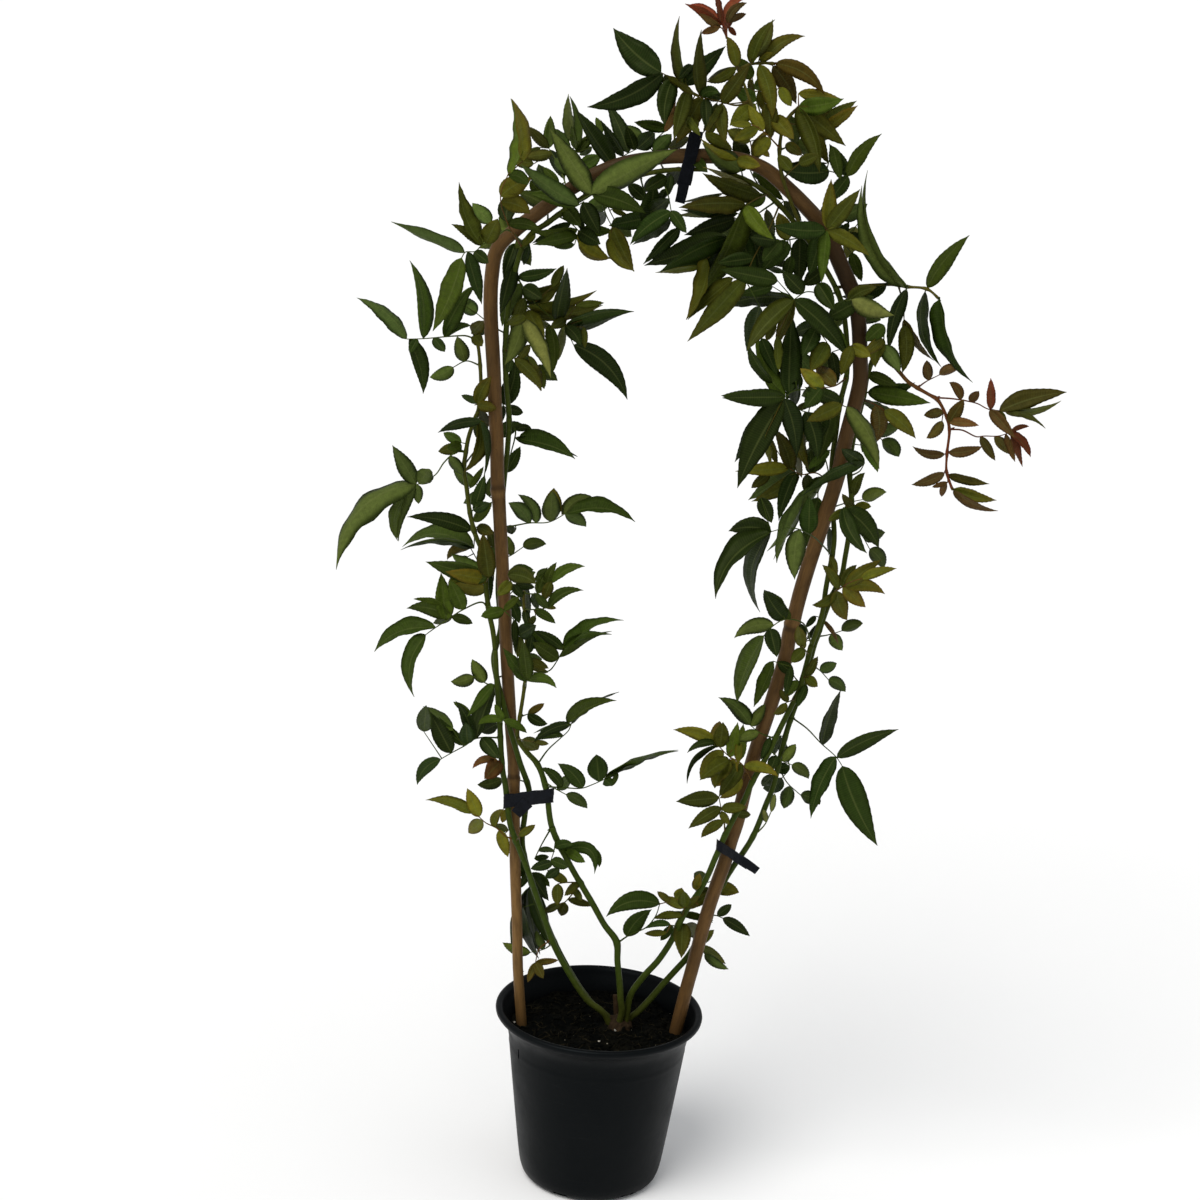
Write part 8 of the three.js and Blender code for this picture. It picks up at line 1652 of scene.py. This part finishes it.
def circle(radius, count, at=(0, 0)):
    angle = np.arange(count) * TURN / count
    return np.stack([at[0] + radius * np.cos(angle), at[1] + radius * np.sin(angle)], axis=1)


def lathe(profile, turns):
    """A body turned from a profile of [radius, z], closed at both ends."""
    angle = np.arange(turns) * TURN / turns
    r, z = profile[:, :1], profile[:, 1:]
    points = np.stack([r * np.cos(angle), r * np.sin(angle), z + 0 * angle], axis=-1).reshape(-1, 3)
    return points, wall(len(profile), turns) + caps(len(profile), turns)


def block(size, at, turn):
    """A box standing out from the axis at an angle round it."""
    corners = np.array([[x, y, z] for x in (-0.5, 0.5) for y in (-0.5, 0.5) for z in (-0.5, 0.5)]) * size + at
    c, s = math.cos(turn), math.sin(turn)
    x, y, z = corners.T
    turned = np.stack([x * c - y * s, x * s + y * c, z], axis=1)
    return turned, [(0, 1, 3, 2), (4, 6, 7, 5), (0, 4, 5, 1), (2, 3, 7, 6), (0, 2, 6, 4), (1, 5, 7, 3)]


def rod(ring, ends):
    """A straight body with the same outline at two heights."""
    points = np.array([[x, y, z] for z in ends for x, y in ring])
    return points, wall(2, len(ring)) + caps(2, len(ring))


def pot_cutters():
    """The foot notches, the slit under the rim and the drain holes."""
    width, depth, height = NOTCH
    notch_at = (BASE_R + 1 + depth / 2, 0, 0)
    cutters = [block((depth, width, 2 * height), notch_at, (i + NOTCH_TURN) * TURN / NOTCHES)
               for i in range(NOTCHES)]
    cutters.append(block(SLIT, (SLIT_R, 0, SLIT_Z), SLIT_TURN))
    for i in range(DRAINS):
        turn = (i + 0.5) * TURN / DRAINS
        middle = (DRAIN_RING_R * math.cos(turn), DRAIN_RING_R * math.sin(turn))
        cutters.append(rod(circle(DRAIN_R, DRAIN_SIDES, middle), DRAIN_ENDS))
    points, faces = [], []
    for more_points, more_faces in cutters:
        faces += [tuple(i + len(points) for i in face) for face in more_faces]
        points += more_points.tolist()
    return points, faces


def closed_mesh(name, points, faces):
    mesh = bpy.data.meshes.new(name)
    mesh.from_pydata((np.asarray(points) * MM).tolist(), [], faces)
    return mesh


def make_pot():
    outer = smooth(POT_OUTER, OUTER_STEP)
    outer[:, 0] += hump(outer[:, 1] - LEDGE_Z, LEDGE_WIDE) * LEDGE_RISE
    inner = smooth(POT_INNER, INNER_STEP)
    points, faces = lathe(np.vstack([outer, inner[1:]]), POT_TURNS)
    oval = np.array([1 + OVAL * math.cos(2 * math.atan2(y, x) + OVAL_TURN) for x, y, _ in points])
    points[:, :2] *= (1 + (oval - 1) * ramp(points[:, 2], 0, POT_HEIGHT))[:, None]
    pot = shown("pot_shell", closed_mesh("pot_shell", points, faces))
    cutters = shown("pot_cutters", closed_mesh("pot_cutters", *pot_cutters()))
    cut = pot.modifiers.new("cut", "BOOLEAN")
    cut.object, cut.operation, cut.solver = cutters, "DIFFERENCE", "EXACT"
    mesh = bpy.data.meshes.new_from_object(pot.evaluated_get(bpy.context.evaluated_depsgraph_get()))
    pot.modifiers.clear()
    pot.data = mesh
    mesh.name = "pot_shell"
    bpy.data.objects.remove(cutters)
    mesh.polygons.foreach_set("use_smooth", [True] * len(mesh.polygons))
    mesh.set_sharp_from_angle(angle=SHARP)
    mesh.materials.clear()
    mesh.materials.append(pot_material())
    dress(pot, "pot", "pot_plastic")


def scrap(shape, at, size, stretch, tone, rng):
    """A bit of compost: a small rough lump of twenty faces, stretched in a direction of its own."""
    g = (1 + math.sqrt(5)) / 2
    corners = unit(np.array([[-1, g, 0], [1, g, 0], [-1, -g, 0], [1, -g, 0], [0, -1, g], [0, 1, g],
                             [0, -1, -g], [0, 1, -g], [g, 0, -1], [g, 0, 1], [-g, 0, -1], [-g, 0, 1]]))
    corners = corners * np.array([[rng.uniform(*SCRAP_ROUGH)] for _ in corners])
    heading, tilt = rng.uniform(*ANY_WAY), rng.uniform(*SCRAP_TILT)
    turn = Matrix.Rotation(heading, 3, "Z") @ Matrix.Rotation(tilt, 3, "Y")
    corners = (corners * np.array([stretch, 1, SCRAP_FLAT]) * size) @ np.array(turn).T
    faces = [(0, 11, 5), (0, 5, 1), (0, 1, 7), (0, 7, 10), (0, 10, 11), (1, 5, 9), (5, 11, 4), (11, 10, 2),
             (10, 7, 6), (7, 1, 8), (3, 9, 4), (3, 4, 2), (3, 2, 6), (3, 6, 8), (3, 8, 9), (4, 9, 5),
             (2, 4, 11), (6, 2, 10), (8, 6, 7), (9, 8, 1)]
    shape.add(corners + at, tone, corners, faces)


def soil_point(x, y, lift=0.0):
    """The point of the compost's surface over a place in the pot, lifted by an amount."""
    share = min(1, math.hypot(x, y) / SOIL_EDGE_R)
    z = SOIL_EDGE_Z + SOIL_RISE * (1 - share * share)
    for height, wide, place in SOIL_ROUGH:
        z += height * rough((x, y, place), wide)
    return [x, y, z + lift]


def soil_body(shape):
    points = [soil_point(0, 0)]
    for s in np.linspace(0, 1, SOIL_RINGS + 1)[1:]:
        points += [soil_point(x, y) for x, y in circle(SOIL_EDGE_R * s, SOIL_TURNS)]
    points += [[x, y, SOIL_FOOT_Z] for x, y in circle(SOIL_EDGE_R - SOIL_TAPER, SOIL_TURNS)]
    n = SOIL_TURNS
    faces = [(0, 1 + k, 1 + (k + 1) % n) for k in range(n)]
    faces += [(1 + i * n + k, 1 + (i + 1) * n + k, 1 + (i + 1) * n + (k + 1) % n, 1 + i * n + (k + 1) % n)
              for i in range(SOIL_RINGS) for k in range(n)]
    faces.append(tuple(reversed(range(1 + SOIL_RINGS * n, 1 + (SOIL_RINGS + 1) * n))))
    points = np.array(points)
    brown = np.clip(BROWN_SHARE + wave(points, BROWN_CHANGE, BROWN_WIDE, 3), 0, 1)
    shape.add(points, blend(SOIL_DARK, SOIL_BROWN, brown[:, None]), points, faces)


def make_compost(rng):
    shape = Shape()
    soil_body(shape)

    def spot(most=SCRAP_SPREAD):
        r, a = SOIL_EDGE_R * most * math.sqrt(rng.random()), rng.uniform(0, TURN)
        return r * math.cos(a), r * math.sin(a)

    def drop(place, lift, size, stretch, tone):
        scrap(shape, np.array(soil_point(*place, lift)), size, stretch, tone, rng)

    for _ in range(CRUMBS):
        place = spot()
        size = CRUMB_LEAST + CRUMB_MORE * rng.random() ** CRUMB_CURVE
        tone = blend(SOIL_DARK, SOIL_BROWN, rng.random())
        drop(place, size / 4, size, rng.uniform(*CRUMB_STRETCH), tone)
    for _ in range(FIBRES):
        place = spot()
        size = rng.uniform(*FIBRE_SIZE)
        drop(place, size / 2, size, rng.uniform(*FIBRE_STRETCH), SOIL_BROWN * rng.uniform(*FIBRE_SHADE))
    for x, y, size in PERLITE_AT:
        drop((x, y), PERLITE_LIFT, size, 1, PERLITE)
    for _ in range(GRITS):
        drop(spot(), GRIT_LIFT, rng.uniform(*GRIT_SIZE), 1, GRIT)
    for _ in range(ROOTS):
        x, y = spot(ROOT_SPREAD)
        heading, bend = rng.uniform(*ANY_WAY), rng.uniform(*ROOT_BEND)
        step = rng.uniform(*ROOT_LONG) / ROOT_STEPS
        line = []
        for k in range(ROOT_STEPS + 1):
            arch = ROOT_ARCH * math.sin(k / ROOT_STEPS * math.pi) * rng.random()
            line.append(soil_point(x, y, ROOT_LIFT + arch))
            x, y = x + math.cos(heading) * step, y + math.sin(heading) * step
            heading += bend
        if max(math.hypot(p[0], p[1]) for p in line) < SOIL_EDGE_R - 1:
            shape.tube(np.array(line), ROOT_RADII, ROOT_PALE * rng.uniform(*ROOT_SHADE), ROOT_SIDES)
    shape.piece("compost_surface", "compost", "compost", compost_material())


def make_crown():
    shape = Shape()
    points, faces = lathe(smooth(CROWN, CROWN_STEP), CROWN_TURNS)
    points[:, :2] *= 1 + sum(wave(points, *swell) for swell in CROWN_SWELL)[:, None]
    points[:, 2] += wave(points, *CROWN_LIFT)
    points[:, :2] += CROWN_AT
    shape.add(points, CROWN_BROWN, points, faces)
    centres = placed_all(smooth(STUB, 1))
    shape.tube(centres, BARE_STUB_R * (1 + wave(centres, *STUB_SWELL)), STUB_BROWN, STUB_SIDES)
    shape.piece("crown_bark", "crown", "woody_crown", bark_material())


def make_hoop():
    x, z, r = smooth(HOOP, HOOP_STEP).T
    centres = placed(x, z, np.zeros_like(x))
    run = run_of(centres)
    tones = np.tile(BAMBOO, (len(x), 1))
    low_left = ramp(x, *LOW_LEFT_X) * ramp(z, *LOW_LEFT_Z)
    tones = blend(tones, BAMBOO_PALE, LOW_LEFT_PALE * low_left[:, None])
    for (at_x, at_z), (reach_x, reach_z), there, most in BAMBOO_LOOKS:
        share = np.minimum(1, most * hump(x - at_x, reach_x) * hump(z - at_z, reach_z))
        tones = blend(tones, there, share[:, None])
    tones *= 1 + wave([(a, 0, 0) for a in run], *BAMBOO_DRIFT)[:, None]
    # Darker towards the foot, from the pot's rim down into the compost
    tones = blend(tones, FOOT_DARK, FOOT_DARK_SHARE * ramp(z, *FOOT_DARK_Z)[:, None])
    radii = r.copy()
    for joint_x, joint_z in JOINTS:
        past = run - run[np.argmin((x - joint_x) ** 2 + (z - joint_z) ** 2)]
        radii += sum(rise * hump(past - place, width) for rise, place, width in RIDGES)
        for there, share, place, width in RINGS:
            tones = blend(tones, there, share * hump(past - place, width)[:, None])
    around = [(a / HOOP_ROUGH_LONG, *p) for a in run for p in circle(HOOP_ROUGH_R, HOOP_SIDES)]
    uneven = wave(around, HOOP_ROUGH, HOOP_ROUGH_WIDE, 0).reshape(-1, HOOP_SIDES)
    radii = radii[:, None] * (1 + uneven)
    shape = Shape()
    shape.tube(centres, radii, tones, HOOP_SIDES)
    shape.piece("bamboo", "bamboo_hoop", "bamboo", bamboo_material())


def hull_outline(circles, grow):
    """The outline of a band drawn tight round some circles, all grown by the same amount."""
    angles = np.arange(HULL_SIDES) * TURN / HULL_SIDES
    points = sorted((a + (r + grow) * math.cos(t), y + (r + grow) * math.sin(t))
                    for a, y, r in circles for t in angles)

    def half(line):
        hull = []
        for p in line:
            while len(hull) > 1:
                a, b = hull[-2:]
                if (b[0] - a[0]) * (p[1] - a[1]) - (b[1] - a[1]) * (p[0] - a[0]) > LEAST_TURN:
                    break
                hull.pop()
            hull.append(p)
        return hull[:-1]

    return half(points) + half(points[::-1])


def even(line, step):
    """Points the same distance apart along a line, and how far along it each one lies."""
    line = np.array(line, float)
    run = run_of(line)
    at = np.linspace(0, run[-1], max(2, round(run[-1] / step)) + 1)
    return np.stack([np.interp(at, run, line[:, k]) for k in range(line.shape[1])], axis=1), at


def ribbon(shape, rows, runs, outward, closed):
    """A thin band: rows of points across it, with a face towards outward and one away from it."""
    n, m = rows.shape[:2]
    inner = rows - outward * TAPE
    across = np.broadcast_to(np.linspace(-m / 2, m / 2, m), (n, m))
    grains = np.stack([np.repeat(runs, m), across.ravel(), np.zeros(n * m)], axis=1)

    def at(side, i, j):
        return side * n * m + (i % n) * m + j

    faces = []
    for i in range(n if closed else n - 1):
        for j in range(m - 1):
            faces.append((at(0, i, j), at(0, i + 1, j), at(0, i + 1, j + 1), at(0, i, j + 1)))
            faces.append((at(1, i, j), at(1, i, j + 1), at(1, i + 1, j + 1), at(1, i + 1, j)))
        faces.append((at(0, i, 0), at(1, i, 0), at(1, i + 1, 0), at(0, i + 1, 0)))
        faces.append((at(0, i, m - 1), at(0, i + 1, m - 1), at(1, i + 1, m - 1), at(1, i, m - 1)))
    if not closed:
        for i in (0, n - 1):
            for j in range(m - 1):
                face = (at(0, i, j), at(0, i, j + 1), at(1, i, j + 1), at(1, i, j))
                faces.append(face if i == 0 else tuple(reversed(face)))
    points = np.concatenate([rows.reshape(-1, 3), inner.reshape(-1, 3)])
    shape.add(points, TAPE_BLACK, np.concatenate([grains, grains]), faces)


def make_tie(name, seed):
    """A creased band drawn tight round what it holds, and its loose end."""
    tie = TIES[name]
    shape = Shape()
    outline = hull_outline(tie["circles"], TAPE_GAP)
    outline, runs = even(outline + outline[:1], TAPE_STEP)
    outline, runs = outline[:-1], runs[:-1]
    centre = outline.mean(axis=0)
    columns = np.linspace(-0.5, 0.5, TAPE_COLUMNS)
    rows, outs = [], []
    for (a, y), run in zip(outline, runs):
        away = np.array([a, y]) - centre
        away = away / np.linalg.norm(away)
        out = [away[0], away[1], 0] if tie["level"] else [0, away[1], away[0]]
        width = tie["width"] * (1 + TAPE_UNEVEN * rough((run, 0, 4), UNEVEN_LONG, seed))
        shift = TAPE_SHIFT * rough((run, 3, 0), SHIFT_LONG, seed)
        row = []
        for t in columns:
            crease = sum(height * rough((run * lengthwise, t * crosswise, 0), wide, seed)
                         for height, lengthwise, crosswise, wide in CREASES)
            along, depth = np.array([a, y]) + away * crease
            across = tie["middle"](a) + t * width + shift
            row.append(placed(along, across, depth) if tie["level"] else placed(across, along, depth))
        rows.append(row)
        outs.append([out] * TAPE_COLUMNS)
    ribbon(shape, np.array(rows), runs, np.array(outs), True)
    tail, runs = even(smooth(tie["tail"], 1), 1)
    spine = placed_all(tail)
    along = unit(np.gradient(spine, axis=0))
    side = unit(np.cross((0, 1, 0), along))
    out = unit(np.cross(side, along))[:, None]
    share = np.linspace(0, 1, len(spine))[:, None, None]
    width = tie["width"] * TAIL_WIDTH * (1 - TAIL_TAPER * share)
    places = [(run, t * TAIL_ACROSS, 2) for run in runs for t in columns]
    lift = wave(places, TAIL_CREASE, TAIL_CREASE_LONG, seed).reshape(-1, TAPE_COLUMNS, 1)
    rows = spine[:, None] + side[:, None] * columns[None, :, None] * width + out * lift
    ribbon(shape, rows, runs, out, False)
    shape.piece(name + "_tape", name, "tie_tape", TIE_TAPE)


# The view: the photograph's camera, a pale floor and soft light
YAW, PITCH, ROLL = math.radians(-0.55), math.radians(-16.65), math.radians(3.49)
FOCAL_SHARE = 2730 / 1200  # focal length over the picture's width
SENSOR = 36
CLIP = (0.05, 200)
FLOOR_REACH = 60
FLOOR_PALE = (0.9, 0.9, 0.9, 1)
SKY, SKY_STRENGTH = (0.97, 0.985, 1, 1), 0.5
# Each light's strength, spread in degrees, direction and colour
SUNS = {
    "key": (2.3, 40, (0.55, 0.75, -1.25), (1, 0.985, 0.96)),
    "fill": (0.35, 70, (-0.7, 0.3, -0.9), (0.95, 0.97, 1)),
}


def make_camera():
    ahead = np.array([math.sin(YAW) * math.cos(PITCH), math.cos(YAW) * math.cos(PITCH), math.sin(PITCH)])
    level = np.array([math.cos(YAW), -math.sin(YAW), 0])
    up = np.cross(level, ahead)
    right, top = (math.cos(ROLL) * level + math.sin(ROLL) * up, -math.sin(ROLL) * level + math.cos(ROLL) * up)
    lens = bpy.data.cameras.new("camera")
    lens.sensor_width, lens.lens = SENSOR, SENSOR * FOCAL_SHARE
    lens.clip_start, lens.clip_end = CLIP
    camera = shown("camera", lens)
    turn = Matrix([[right[k], top[k], -ahead[k]] for k in range(3)]).to_4x4()
    camera.matrix_world = Matrix.Translation((0, -EYE_BACK * MM, EYE_HEIGHT * MM)) @ turn
    bpy.context.scene.camera = camera


def make_stage():
    corners = [(-1, -1), (1, -1), (1, 1), (-1, 1)]
    mesh = bpy.data.meshes.new("floor")
    mesh.from_pydata([(x * FLOOR_REACH, y * FLOOR_REACH, 0) for x, y in corners], [], [(0, 1, 2, 3)])
    n = Nodes("floor")
    n.set(Base_Color=FLOOR_PALE, Roughness=0.9, Specular_IOR_Level=0.1)
    mesh.materials.append(n.material)
    floor = shown("floor", mesh)

    world = bpy.data.worlds.new("studio")
    world.use_nodes = True
    bpy.context.scene.world = world
    sky = world.node_tree.nodes["Background"].inputs
    sky["Color"].default_value, sky["Strength"].default_value = SKY, SKY_STRENGTH
    for name, (strength, spread, direction, tint) in SUNS.items():
        lamp = bpy.data.lights.new(name, "SUN")
        lamp.energy, lamp.angle, lamp.color = strength, math.radians(spread), tint
        light = shown(name, lamp)
        light.rotation_mode = "QUATERNION"
        light.rotation_quaternion = Vector(direction).to_track_quat("-Z", "Y")


make_camera()
make_stage()
bpy.context.scene.view_settings.view_transform = "Standard"

FOLIAGE = {slot: foliage_material(slot, gloss, speckle) for slot, gloss, speckle in (
    ("foliage_olive", 0.5, 0.3), ("foliage_dark", 0.46, 0.0), ("foliage_mid", 0.48, 0.05),
    ("foliage_gold", 0.5, 0.6), ("foliage_bronze", 0.48, 0.25), ("foliage_red", 0.46, 0.15))}
TIE_TAPE = tape_material()
rng = random.Random(7)
curves = {name: cane_curve(name) for name in CANES}
for number, (leaves, more) in enumerate(grow()):
    foliage(number, leaves, more, curves, rng)
make_pot()
make_compost(rng)
make_crown()
make_hoop()
for number, name in enumerate(TIES):
    make_tie(name, 3.0 * number)
